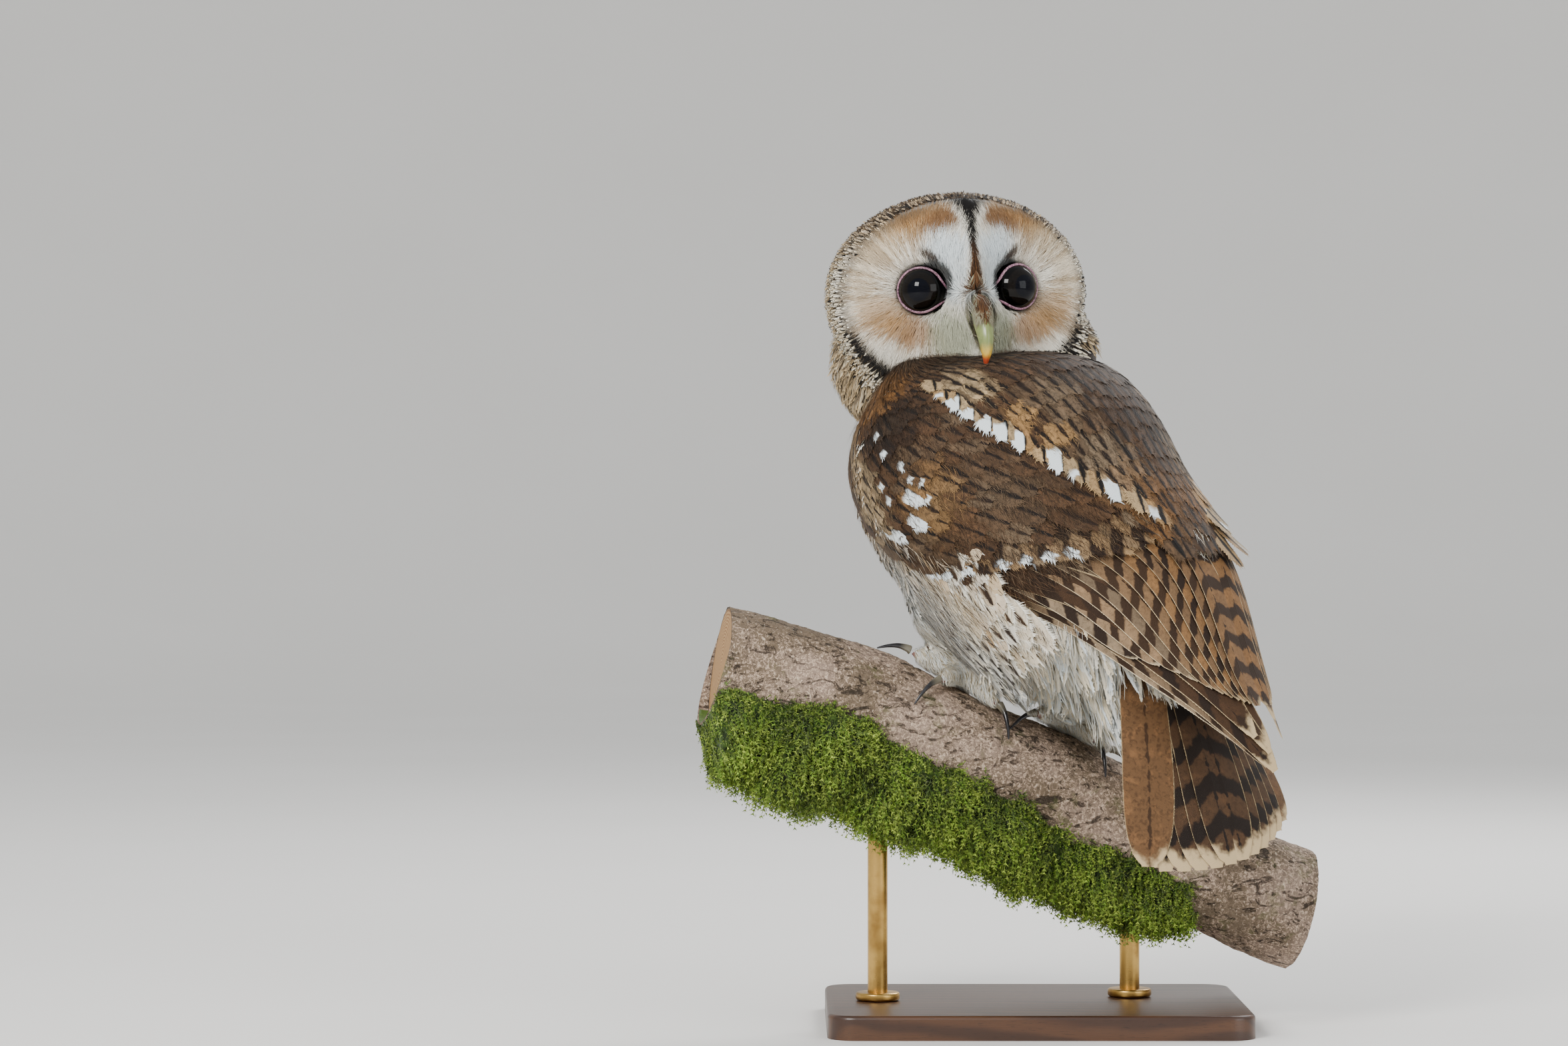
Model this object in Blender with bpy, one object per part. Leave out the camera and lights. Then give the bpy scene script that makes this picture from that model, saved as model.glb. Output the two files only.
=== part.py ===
"""Tawny owl, life size, as a still display model on a cut length of branch and a small stand.

Metres, +Z up. The origin is the centre of the stand base's underside. The owl looks back over its
left shoulder: its body heads away along +Y and to -X, and its face is turned to -Y.
"""

import math

import bmesh
import bpy
from mathutils import Matrix, Vector

MM = 0.001
GAP = 0.3 * MM  # clearance between pieces that touch

# --- stance -------------------------------------------------------------------------------------
HEADING = math.radians(52.0)  # heading of the body, from +Y towards -X
LEAN = math.radians(37.3)  # lean of the body axis from upright, towards the heading
BODY_CENTRE = Vector((-3.5, 0.0, 265.0))  # mm, middle of the body on its own axis
HEAD_CENTRE = Vector((-37.0, 10.0, 365.0))  # mm
FACE_YAW = math.radians(10.0)  # the face turns this far from -Y towards +X
FACE_ROLL = math.radians(2.5)  # and is tipped this far about its own axis

# --- body envelope: rows of (place along the axis, half width, back, belly, centre), mm --------
ENVELOPE = (
    (86.0, 28.0, 12.0, 26.0, 0.0),
    (76.0, 52.0, 21.0, 48.0, 0.0),
    (60.0, 73.0, 38.0, 64.0, 0.0),
    (45.0, 81.0, 56.0, 75.0, 0.0),
    (28.0, 85.0, 68.0, 79.0, 0.0),
    (0.0, 84.0, 73.0, 80.0, 0.0),
    (-30.0, 80.0, 71.0, 76.0, 0.0),
    (-60.0, 77.0, 69.0, 70.0, 1.0),
    (-95.0, 67.0, 62.0, 56.0, 5.0),
    (-150.0, 44.0, 37.0, 34.0, 14.0),
    (-200.0, 20.0, 17.0, 16.0, 25.0),
)
# The trunk follows the envelope down to the belly and then closes at the vent.
TRUNK_TOP = 84.0
TRUNK_VENT = -122.0
TRUNK_TAPER_FROM = -48.0
TRUNK_VENT_CENTRE = 20.0
TRUNK_STATIONS = (80.0, 66.0, 50.0, 30.0, 8.0, -16.0, -40.0, -62.0, -82.0, -98.0, -112.0)
TRUNK_SIDES = 26
SKIRT = 1.5  # mm, the trunk lies this far inside the wings' outer surface

# Loose feathers under the tail: rows of (place along the axis, half width, half depth, centre).
UNDERTAIL = ((-96.0, 30.0, 20.0, -10.0), (-112.0, 27.0, 18.0, -8.0), (-128.0, 19.0, 12.0, -10.0),
             (-142.0, 10.0, 6.0, -14.0), (-151.0, 3.0, 2.0, -18.0))
UNDERTAIL_SIDES = 12
UNDERTAIL_SHIFT = 4.0  # to the bird's left

# --- folded wings: edges as rows of (place along the axis, angle from the back's midline) ------
WING_BACK_EDGE = ((66.0, 80.0), (50.0, 67.0), (-10.0, 42.0), (-72.0, 12.0), (-110.0, 6.0), (-200.0, 9.0))
WING_FRONT_EDGE = ((66.0, 96.0), (52.0, 121.0), (20.0, 126.0), (-8.0, 119.0), (-36.0, 106.0),
                   (-74.0, 88.0), (-128.0, 71.0), (-157.0, 57.0), (-200.0, 38.0))
COVERTS_END = ((0.0, -72.0), (0.35, -77.0), (0.7, -58.0), (1.0, -34.0))  # across the wing: place
SECONDARIES_END = ((0.0, -166.0), (0.5, -152.0), (1.0, -110.0))
WING_TIP = -199.0
COVERTS_THICK = 6.0
FLIGHT_THICK = 2.6
FLIGHT_THINNER = 0.8  # the flight feathers lose this much thickness towards their tips
PRIMARIES_BELOW = FLIGHT_THICK + 0.5  # depth of the primaries under the outer surface
PRIMARIES_SPAN = 58.0  # degrees that the primaries show behind the front edge
WING_FORM_GRID = (6, 8)  # spans across and along the shape that is cut from the trunk
WING_FORM_ABOVE = 4.0
WING_FORM_MARGIN = 1.5  # degrees past the wing's edges

# --- tail ---------------------------------------------------------------------------------------
TAIL_ROOT = (-84.0, 27.0)  # along the axis, towards the back
TAIL_TIP = (-217.0, -10.0)
TAIL_ROOT_HALF = 17.0
TAIL_TIP_HALF = 49.0
TAIL_ROLL = math.radians(22.0)
TAIL_ARCH = 5.0
TAIL_FEATHERS = 12
TAIL_ROUND = 17.0
TAIL_THICK = 4.5

# --- head (face frame: x to the viewer's right, y up, z out of the face), mm ---------------------
HEAD_RINGS = (  # z, half width, up, down
    (-55.0, 20.0, 20.0, 18.0),
    (-47.0, 40.0, 35.0, 38.0),
    (-32.0, 58.0, 46.0, 52.0),
    (-12.0, 66.5, 51.0, 56.0),
    (2.0, 64.5, 50.0, 53.0),
    (10.0, 60.0, 47.5, 47.0),
)
DISC_STEPS = (0.88, 0.66, 0.42, 0.2)  # rings of the facial disc, as shares of its outline
DISC_CUT = 3.0  # z of the cut between head and facial disc
EYE_SPREAD = 22.8
EYE_HEIGHT = 1.5
EYE_DEPTH = 19.0
EYE_RADIUS = 12.5
EYE_SEGMENTS = 14
EYE_RINGS = 8
BILL_PATH = ((0.0, -3.0, 38.0), (0.0, -12.0, 49.0), (0.0, -22.0, 55.0), (0.0, -31.0, 56.5),
             (0.0, -38.5, 52.5))
BILL_HALF = ((5.2, 6.5), (5.0, 6.0), (4.2, 4.8), (2.7, 3.0), (0.5, 0.6))  # half width, half height
LOWER_BILL_PATH = ((0.0, -12.0, 36.0), (0.0, -20.0, 43.5), (0.0, -27.0, 48.0), (0.0, -32.0, 49.5))
LOWER_BILL_HALF = ((5.0, 3.4), (4.4, 3.0), (3.2, 2.4), (1.2, 1.2))
HEAD_SIDES = 24
HEAD_POLE = -58.0
LIFT_FROM = 5.0  # rings further out than this follow the face's form
LIFT_SHARE = 0.75
NECK_CENTRE = Vector((-33.0, 27.0, 331.0))
NECK_RADII = Vector((70.0, 33.0, 48.0))

# --- perch --------------------------------------------------------------------------------------
BRANCH_RADIUS = 32.0
BRANCH_TOP = ((-152.0, 210.0), (-126.0, 202.3), (-74.5, 186.3), (0.0, 151.9), (142.0, 85.6))  # x, z
BRANCH_DEPTH = (6.0, 0.14)  # y of the axis at x = 0, and its change with x
BRANCH_RINGS = 10
BRANCH_SIDES = 18
BARK_INSET = 1.6
MOSS_RINGS = 9  # the moss covers this many of the branch's spans, from its high end
MOSS_SIDES = (4, 11)  # from the viewer's side, round below, to the far side
MOSS_HANG = 34.0

# --- legs and feet ------------------------------------------------------------------------------
TOE_RADIUS = 5.6
TOE_LENGTH = 27.0
CLAW_LENGTH = 15.0
CLAW_RADIUS = 2.4
FOOT_X = {"left": -37.0, "right": 14.0}
FOOT_TURN = {"left": 2.0, "right": -10.0}  # degrees round the branch from its top, + to the viewer
TOES = {  # direction of each toe on the branch, degrees: 0 along +X, 90 towards the viewer
    "left": {"hallux": 52.0, "inner": 178.0, "middle": -78.0, "outer": 118.0},
    "right": {"hallux": 128.0, "inner": -12.0, "middle": -85.0, "outer": 58.0},
}
TOE_PROFILE = (0.9, 1.0, 1.0, 0.95, 0.6)  # thickness from the foot to the toe's end
TOE_START = 3.0
TOE_LIFT = TOE_RADIUS + 0.35
CLAW_OVERLAP = 4.0  # the claw starts this far inside the toe
CLAW_STEPS = 4
FOOT_LIFT = 7.5
ANKLE = (5.0, 17.0)  # along X from the foot, and out from the bark
LEG_PROFILE = (29.0, 28.0, 25.0, 20.0, 14.5, 9.5, 6.0)  # radii from the hip to the foot's pad
LEG_SIDES = 14
THIGH = {"left": (-28.0, 31.0, -46.0), "right": (-28.0, -31.0, -46.0)}

# --- stand --------------------------------------------------------------------------------------
BASE_SIZE = (208.0, 150.0, 12.0)
BASE_CORNER = 14.0
BASE_ROUNDING = 3.0
ROD_RADIUS = 5.0
ROD_X = (-66.0, 62.0)
ROD_INTO_BRANCH = 14.0
COLLAR_RADIUS = 11.0
COLLAR_HEIGHT = 4.0

# --- colours ------------------------------------------------------------------------------------
TAWNY = (0.33, 0.21, 0.11)
WHITE_FEATHER = (0.82, 0.80, 0.74)
DARK_EYE = (0.012, 0.010, 0.012)
HORN = (0.62, 0.60, 0.32)
CLAW = (0.05, 0.045, 0.05)
BARK = (0.36, 0.29, 0.23)
MOSS = (0.10, 0.20, 0.04)
WALNUT = (0.16, 0.08, 0.04)
BRASS = (0.55, 0.42, 0.20)


# ================================ frames ========================================================
FORWARD = Vector((-math.sin(HEADING), math.cos(HEADING), 0.0))
AXIS = FORWARD * math.sin(LEAN) + Vector((0.0, 0.0, math.cos(LEAN)))
LEFT = Vector((0.0, 0.0, 1.0)).cross(FORWARD)
DORSAL = AXIS.cross(LEFT)

FACE_OUT = Vector((math.sin(FACE_YAW), -math.cos(FACE_YAW), 0.0))
LEVEL_RIGHT = Vector((math.cos(FACE_YAW), math.sin(FACE_YAW), 0.0))
FACE_RIGHT = Matrix.Rotation(-FACE_ROLL, 3, FACE_OUT * -1.0) @ LEVEL_RIGHT
FACE_UP = FACE_OUT.cross(FACE_RIGHT)


def body(s, t, d):
    """A place on the bird: s along its axis, t to its left, d towards its back (mm)."""
    return (BODY_CENTRE + AXIS * s + LEFT * t + DORSAL * d) * MM


def face(x, y, z):
    """A place on the head: x to the viewer's right, y up, z out of the face (mm)."""
    return (HEAD_CENTRE + FACE_RIGHT * x + FACE_UP * y + FACE_OUT * z) * MM


def smooth(rows, x):
    """Values at x of a table whose first column is the place, by a cubic through its rows."""
    rows = sorted(rows)
    last = len(rows) - 1
    if x <= rows[0][0]:
        return list(rows[0][1:])
    if x >= rows[last][0]:
        return list(rows[last][1:])
    i = max(k for k in range(last) if rows[k][0] <= x)
    step = rows[i + 1][0] - rows[i][0]
    u = (x - rows[i][0]) / step

    def slope(k, c):
        lo, hi = max(k - 1, 0), min(k + 1, last)
        return (rows[hi][c] - rows[lo][c]) / (rows[hi][0] - rows[lo][0]) * step

    values = []
    for c in range(1, len(rows[0])):
        a, b = rows[i][c], rows[i + 1][c]
        ma, mb = slope(i, c), slope(i + 1, c)
        h = u * u * (3 - 2 * u)
        values.append(a + (b - a) * h + ma * u * (1 - u) ** 2 - mb * u * u * (1 - u))
    return values


# ================================ making solids =================================================
def collection(name):
    """The collection of this name, made when first asked for."""
    found = bpy.data.collections.get(name)
    if not found:
        found = bpy.data.collections.new(name)
        bpy.context.scene.collection.children.link(found)
    return found


def material(name, colour, roughness, metallic=0.0):
    """A plain material."""
    mat = bpy.data.materials.new(name)
    mat.use_nodes = True
    shader = mat.node_tree.nodes["Principled BSDF"]
    shader.inputs["Base Color"].default_value = (*colour, 1.0)
    shader.inputs["Roughness"].default_value = roughness
    shader.inputs["Metallic"].default_value = metallic
    return mat


def solid(name, bm, colour, roughness=0.8, metallic=0.0):
    """An object from a bmesh, facing out, with its own material."""
    bmesh.ops.remove_doubles(bm, verts=bm.verts, dist=0.01 * MM)
    bmesh.ops.triangulate(bm, faces=bm.faces)
    bmesh.ops.recalc_face_normals(bm, faces=bm.faces)
    if bm.calc_volume(signed=True) < 0:
        bmesh.ops.reverse_faces(bm, faces=bm.faces)
    mesh = bpy.data.meshes.new(name)
    bm.to_mesh(mesh)
    bm.free()
    mesh.shade_smooth()
    mesh.set_sharp_from_angle(angle=math.radians(50))
    piece = bpy.data.objects.new(name, mesh)
    piece.data.materials.append(material(name, colour, roughness, metallic))
    collection("tawny_owl").objects.link(piece)
    return piece


def loft(name, rings, colour, **finish):
    """A closed body through rings of equal count; a ring of one point is a pole."""
    bm = bmesh.new()
    rows = [[bm.verts.new(p) for p in ring] for ring in rings]
    for a, b in zip(rows, rows[1:]):
        count = max(len(a), len(b))
        for k in range(count):
            n = (k + 1) % count
            corners = [a[k % len(a)], a[n % len(a)], b[n % len(b)], b[k % len(b)]]
            bm.faces.new(list(dict.fromkeys(corners)))
    for end in (rows[0], rows[-1]):
        if len(end) > 1:
            bm.faces.new(end)
    return solid(name, bm, colour, **finish)


def slab(name, outer, inner, colour, **finish):
    """A closed body between two grids of points of equal size."""
    bm = bmesh.new()
    top = [[bm.verts.new(p) for p in row] for row in outer]
    low = [[bm.verts.new(p) for p in row] for row in inner]
    last, end = len(top) - 1, len(top[0]) - 1
    for i in range(last):
        for j in range(end):
            bm.faces.new((top[i][j], top[i][j + 1], top[i + 1][j + 1], top[i + 1][j]))
            bm.faces.new((low[i][j], low[i + 1][j], low[i + 1][j + 1], low[i][j + 1]))
    for i in range(last):
        bm.faces.new((top[i][0], top[i + 1][0], low[i + 1][0], low[i][0]))
        bm.faces.new((top[i][end], low[i][end], low[i + 1][end], top[i + 1][end]))
    for j in range(end):
        bm.faces.new((top[0][j], low[0][j], low[0][j + 1], top[0][j + 1]))
        bm.faces.new((top[last][j], top[last][j + 1], low[last][j + 1], low[last][j]))
    return solid(name, bm, colour, **finish)


def tube(name, path, halves, colour, across=None, sides=10, **finish):
    """A tapered round body along a path; halves are (half width, half height) at each point."""
    rings = []
    for i, point in enumerate(path):
        ahead = (path[min(i + 1, len(path) - 1)] - path[max(i - 1, 0)]).normalized()
        side = (across or Vector((0.0, 0.0, 1.0)).cross(ahead)).normalized()
        up = ahead.cross(side).normalized()
        wide, high = halves[i]
        ring = []
        for k in range(sides):
            a = 2 * math.pi * k / sides
            ring.append(point + side * (wide * MM * math.cos(a)) + up * (high * MM * math.sin(a)))
        rings.append(ring)
    return loft(name, rings, colour, **finish)


def grown(piece, remove=False):
    """A cutter the shape of a piece, larger by the gap all round; it may take the piece's place."""
    bm = bmesh.new()
    bm.from_mesh(piece.data)
    bm.normal_update()
    bmesh.ops.triangulate(bm, faces=bm.faces)
    moves = [(v, v.normal * GAP) for v in bm.verts]
    for vert, move in moves:
        vert.co += move
    mesh = bpy.data.meshes.new(piece.name + "_cutter")
    bm.to_mesh(mesh)
    bm.free()
    cutter = bpy.data.objects.new(mesh.name, mesh)
    cutter.hide_render = True
    cutter.display_type = "WIRE"
    collection("cutters").objects.link(cutter)
    if remove:
        bpy.data.objects.remove(piece)
    return cutter


def carve(piece, *neighbours):
    """Cuts a piece back where its neighbours are, one by one, and keeps its largest body."""
    for neighbour in neighbours:
        is_cutter = neighbour.name in collection("cutters").objects
        cut = piece.modifiers.new("clear_" + neighbour.name, "BOOLEAN")
        cut.operation = "DIFFERENCE"
        cut.solver = "EXACT"
        cut.object = neighbour if is_cutter else grown(neighbour)
        bpy.context.view_layer.update()
        shaped = piece.evaluated_get(bpy.context.evaluated_depsgraph_get())
        mesh = bpy.data.meshes.new_from_object(shaped)
        piece.modifiers.clear()
        piece.data = mesh
        keep_largest(mesh)
    return piece


def keep_largest(mesh):
    """Drops every loose body of a mesh but the largest."""
    bm = bmesh.new()
    bm.from_mesh(mesh)
    bmesh.ops.remove_doubles(bm, verts=bm.verts, dist=0.005 * MM)
    islands, left = [], set(bm.faces)
    while left:
        island, todo = set(), [left.pop()]
        while todo:
            current = todo.pop()
            island.add(current)
            for edge in current.edges:
                for other in edge.link_faces:
                    if other in left:
                        left.discard(other)
                        todo.append(other)
        islands.append(island)
    largest = max(islands, key=lambda faces: sum(f.calc_area() for f in faces))
    spare = [f for faces in islands if faces is not largest for f in faces]
    bmesh.ops.delete(bm, geom=spare, context="FACES")
    bm.to_mesh(mesh)
    bm.free()


# ================================ trunk =========================================================
def envelope(s, degrees, inward=0.0):
    """A place on the folded bird's outer surface; degrees from the back's midline, + to its left."""
    wide, back, belly, centre = smooth(ENVELOPE, s)
    angle = math.radians(degrees)
    deep = back if math.cos(angle) > 0 else belly
    return body(s, (wide - inward) * math.sin(angle), centre + (deep - inward) * math.cos(angle))


def make_trunk():
    """The trunk, from the shoulders to where it closes at the vent."""
    rings = [[body(TRUNK_TOP + 2.0, 0.0, -4.0)]]
    for s in TRUNK_STATIONS:
        wide, back, belly, centre = smooth(ENVELOPE, s)
        fade = max(0.0, (TRUNK_TAPER_FROM - s) / (TRUNK_TAPER_FROM - TRUNK_VENT))
        keep = math.sqrt(max(0.0, 1.0 - fade ** 2.2))
        middle = centre + (TRUNK_VENT_CENTRE - centre) * fade
        ring = []
        for k in range(TRUNK_SIDES):
            angle = 2 * math.pi * k / TRUNK_SIDES
            deep = back if math.cos(angle) > 0 else belly
            t = (wide - SKIRT) * keep * math.sin(angle)
            ring.append(body(s, t, middle + (deep - SKIRT) * keep * math.cos(angle)))
        rings.append(ring)
    rings.append([body(TRUNK_VENT, 0.0, TRUNK_VENT_CENTRE)])
    return loft("trunk", rings, TAWNY)


def make_undertail():
    """The loose white feathers under the tail."""
    rings = []
    for s, wide, deep, centre in UNDERTAIL:
        ring = []
        for k in range(UNDERTAIL_SIDES):
            a = 2 * math.pi * k / UNDERTAIL_SIDES
            ring.append(body(s, UNDERTAIL_SHIFT + wide * math.sin(a), centre + deep * math.cos(a)))
        rings.append(ring)
    return loft("undertail", rings, WHITE_FEATHER)


# ================================ wings =========================================================
def wing_grid(side, across, along, span_s, edges, inward, thick):
    """Outer and inner grids of one layer of a folded wing."""
    outer, inner = [], []
    for i in range(along + 1):
        v = i / along
        rows_out, rows_in = [], []
        for j in range(across + 1):
            u = j / across
            top, low = span_s(u)
            s = top + (low - top) * v
            back_edge, front_edge = edges(s)
            angle = side * (back_edge + (front_edge - back_edge) * u)
            rim = min(1.0, 6 * u, 6 * (1 - u), 6 * v, 6 * (1 - v))
            depth = thick(v) * (0.6 + 0.4 * rim)
            rows_out.append(envelope(s, angle, inward))
            rows_in.append(envelope(s, angle, inward + depth))
        outer.append(rows_out)
        inner.append(rows_in)
    return outer, inner


def edge_at(s):
    """The angles of the folded wing's back and front edges."""
    return smooth(WING_BACK_EDGE, s)[0], smooth(WING_FRONT_EDGE, s)[0]


def scallop(u, count, depth):
    """The stepped outline that a row of feather tips makes."""
    return depth * abs(math.sin(math.pi * u * count))


def make_wing(name, side):
    """The folded wing in three layers, and the shape that it takes from the trunk."""
    def coverts_span(u):
        top = 64.0 - 22.0 * (2 * u - 0.9) ** 2
        return top, smooth(COVERTS_END, u)[0]

    def secondaries_span(u):
        start = smooth(COVERTS_END, u)[0] - 0.4
        return start, smooth(SECONDARIES_END, u)[0] - scallop(u, 4, 3.0)

    def secondaries_edges(s):
        back, front = edge_at(s)
        return back, front - 9.0

    def primaries_span(u):
        tip = WING_TIP + 26.0 * (1.6 * u - 0.75) ** 2
        start = smooth(COVERTS_END, min(1.0, 0.35 + 0.65 * u))[0] - 0.6
        return start, tip - scallop(u, 4, 2.0)

    def primaries_edges(s):
        back, front = edge_at(s)
        return max(back, front - PRIMARIES_SPAN), front

    def flight_thick(v):
        return FLIGHT_THICK - FLIGHT_THINNER * v

    def whole_edges(s):
        back, front = edge_at(s)
        return back - WING_FORM_MARGIN, front + WING_FORM_MARGIN

    def whole_span(u):
        return coverts_span(u)[0] + 1.0, WING_TIP

    parts = (
        ("coverts", 7, 7, coverts_span, edge_at, 0.0, lambda v: COVERTS_THICK),
        ("secondaries", 8, 4, secondaries_span, secondaries_edges, 0.0, flight_thick),
        ("primaries", 8, 7, primaries_span, primaries_edges, PRIMARIES_BELOW, flight_thick),
    )
    depth = max(COVERTS_THICK, FLIGHT_THICK + PRIMARIES_BELOW) + 1.2
    outer, inner = (wing_grid(side, *WING_FORM_GRID, whole_span, whole_edges, inward, lambda v: 0.0)[0]
                    for inward in (-WING_FORM_ABOVE, depth))
    form = grown(slab(f"{name}_form", outer, inner, TAWNY), remove=True)

    made = []
    for part, across, along, span, edges, inward, thick in parts:
        outer, inner = wing_grid(side, across, along, span, edges, inward, thick)
        made.append(carve(slab(f"{name}_{part}", outer, inner, TAWNY), *made))
    return made, form


# ================================ tail ==========================================================
def make_tail():
    """A slightly spread fan of twelve feathers, rolled to the bird's left."""
    across, along = 2 * TAIL_FEATHERS, 4
    outer, inner = [], []
    for i in range(along + 1):
        v = i / along
        out_row, in_row = [], []
        for j in range(across + 1):
            w = 2 * j / across - 1
            half = TAIL_ROOT_HALF + (TAIL_TIP_HALF - TAIL_ROOT_HALF) * v ** 0.9
            tip = TAIL_TIP[0] + TAIL_ROUND * w * w - scallop((w + 1) / 2, TAIL_FEATHERS, 3.5)
            s = TAIL_ROOT[0] + (tip - TAIL_ROOT[0]) * v
            middle = TAIL_ROOT[1] + (TAIL_TIP[1] - TAIL_ROOT[1]) * (0.35 * v + 0.65 * v ** 1.7)
            roll = TAIL_ROLL * v
            t = w * half * math.cos(roll)
            d = middle - w * half * math.sin(roll) - TAIL_ARCH * w * w
            thick = (TAIL_THICK - (TAIL_THICK - 1.4) * v) * (1.0 - 0.45 * w * w)
            out_row.append(body(s, t, d))
            in_row.append(body(s, t, d - thick))
        outer.append(out_row)
        inner.append(in_row)
    return slab("tail", outer, inner, TAWNY)


# ================================ head ==========================================================
def disc_front(x, y):
    """How far the face stands out at x, y: a ridge down the middle, a shallow dish round each eye."""
    form = 35.5 - 27.5 * (abs(x) / 60.0) ** 1.35 - 12.0 * (y / 46.0) ** 2
    dish = 4.5 * math.exp(-((abs(x) - EYE_SPREAD - 2) ** 2 + (y - EYE_HEIGHT) ** 2) / (2 * 13.0 ** 2))
    ridge = 7.0 * math.exp(-(x / 6.5) ** 2) * math.exp(-((y - 4.0) / 24.0) ** 2)
    return form - dish + ridge


def head_outline(angle, wide, up, down):
    """A point of a head ring, which reaches further down than up."""
    x = wide * math.cos(angle)
    y = (up if math.sin(angle) > 0 else down) * math.sin(angle)
    return x, y


def make_head():
    """The head and the facial disc, modelled whole and parted by a thin cut."""
    angles = [2 * math.pi * k / HEAD_SIDES for k in range(HEAD_SIDES)]
    rings = [[face(0.0, 0.0, HEAD_POLE)]]
    for z, wide, up, down in HEAD_RINGS:
        ring = []
        for a in angles:
            x, y = head_outline(a, wide, up, down)
            lift = 0.0 if z < LIFT_FROM else max(0.0, disc_front(x, y) - z) * LIFT_SHARE
            ring.append(face(x, y, z + lift))
        rings.append(ring)
    rim = HEAD_RINGS[-1]
    for share in DISC_STEPS:
        ring = []
        for a in angles:
            x, y = head_outline(a, rim[1] * share, rim[2] * share, rim[3] * share)
            ring.append(face(x, y, disc_front(x, y)))
        rings.append(ring)
    rings.append([face(0.0, 0.0, disc_front(0.0, 0.0))])
    head = loft("head", rings, TAWNY)
    disc = loft("facial_disc", rings, WHITE_FEATHER)
    form = grown(head)
    halve(head, face(0.0, 0.0, DISC_CUT - GAP / MM / 2), FACE_OUT)
    halve(disc, face(0.0, 0.0, DISC_CUT + GAP / MM / 2), FACE_OUT * -1.0)
    return head, disc, form


def halve(piece, point, away):
    """Keeps the part of a piece behind a plane, with the cut closed."""
    bm = bmesh.new()
    bm.from_mesh(piece.data)
    everything = bm.verts[:] + bm.edges[:] + bm.faces[:]
    bmesh.ops.bisect_plane(bm, geom=everything, plane_co=point, plane_no=away, clear_outer=True)
    rim = [e for e in bm.edges if e.is_boundary]
    bmesh.ops.contextual_create(bm, geom=rim)
    bmesh.ops.recalc_face_normals(bm, faces=bm.faces)
    bm.to_mesh(piece.data)
    bm.free()


def ball(name, centre, radii, colour, segments, rings, **finish):
    """A sphere, stretched to its radii in mm."""
    bm = bmesh.new()
    bmesh.ops.create_uvsphere(bm, u_segments=segments, v_segments=rings, radius=1.0)
    bmesh.ops.scale(bm, verts=bm.verts, vec=radii * MM)
    bmesh.ops.translate(bm, verts=bm.verts, vec=centre)
    return solid(name, bm, colour, **finish)


def make_eyes():
    """Both eyeballs."""
    eyes = []
    for name, side in (("eye_left", 1), ("eye_right", -1)):
        centre = face(side * EYE_SPREAD, EYE_HEIGHT, EYE_DEPTH)
        radii = Vector((1.0, 1.0, 1.0)) * EYE_RADIUS
        eyes.append(ball(name, centre, radii, DARK_EYE, EYE_SEGMENTS, EYE_RINGS, roughness=0.1))
    return eyes


def make_bill():
    """The hooked upper half of the bill, and the lower half behind it."""
    path = [face(*p) for p in BILL_PATH]
    upper = tube("bill_upper", path, BILL_HALF, HORN, across=FACE_RIGHT, sides=12, roughness=0.35)
    low_path = [face(*p) for p in LOWER_BILL_PATH]
    lower = tube("bill_lower", low_path, LOWER_BILL_HALF, HORN, across=FACE_RIGHT, sides=8, roughness=0.4)
    return upper, lower


# ================================ perch =========================================================
def branch_axis(x):
    """The branch's middle at a place along X, with the direction it runs."""
    def top(at):
        return smooth(BRANCH_TOP, at)[0]

    slope = (top(x + 2.0) - top(x - 2.0)) / 4.0
    along = Vector((1.0, BRANCH_DEPTH[1], slope)).normalized()
    upward = (Vector((0.0, 0.0, 1.0)) - along * along.z).normalized()
    middle = Vector((x, BRANCH_DEPTH[0] + BRANCH_DEPTH[1] * x, top(x))) - upward * BRANCH_RADIUS
    return middle, along, upward


def on_branch(x, degrees, out=0.0):
    """A place on the bark: degrees round from the top, + towards the viewer, out from the bark."""
    middle, along, upward = branch_axis(x)
    front = upward.cross(along) * -1.0
    if front.y > 0:
        front = -front
    a = math.radians(degrees)
    return (middle + (upward * math.cos(a) + front * math.sin(a)) * (BRANCH_RADIUS + out)) * MM


def bark_swell(x, degrees):
    """Low swellings of the branch, in mm."""
    a = math.radians(degrees)
    return 0.9 * math.sin(0.045 * x + 2 * a) + 0.7 * math.sin(0.085 * x - 3 * a + 1.0)


def branch_station(i):
    """The place along X of one ring of the branch."""
    low, high = BRANCH_TOP[0][0], BRANCH_TOP[-1][0]
    return low + (high - low) * i / BRANCH_RINGS


def bark(x, degrees, out=0.0):
    """A place on the swelling bark, or this far out from it."""
    return on_branch(x, degrees, bark_swell(x, degrees) - BARK_INSET + out)


def make_branch():
    """The cut branch."""
    turn = 360.0 / BRANCH_SIDES
    rings = []
    for i in range(BRANCH_RINGS + 1):
        x = branch_station(i)
        rings.append([bark(x, turn * k) for k in range(BRANCH_SIDES)])
    return loft("perch_branch", rings, BARK)


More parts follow.
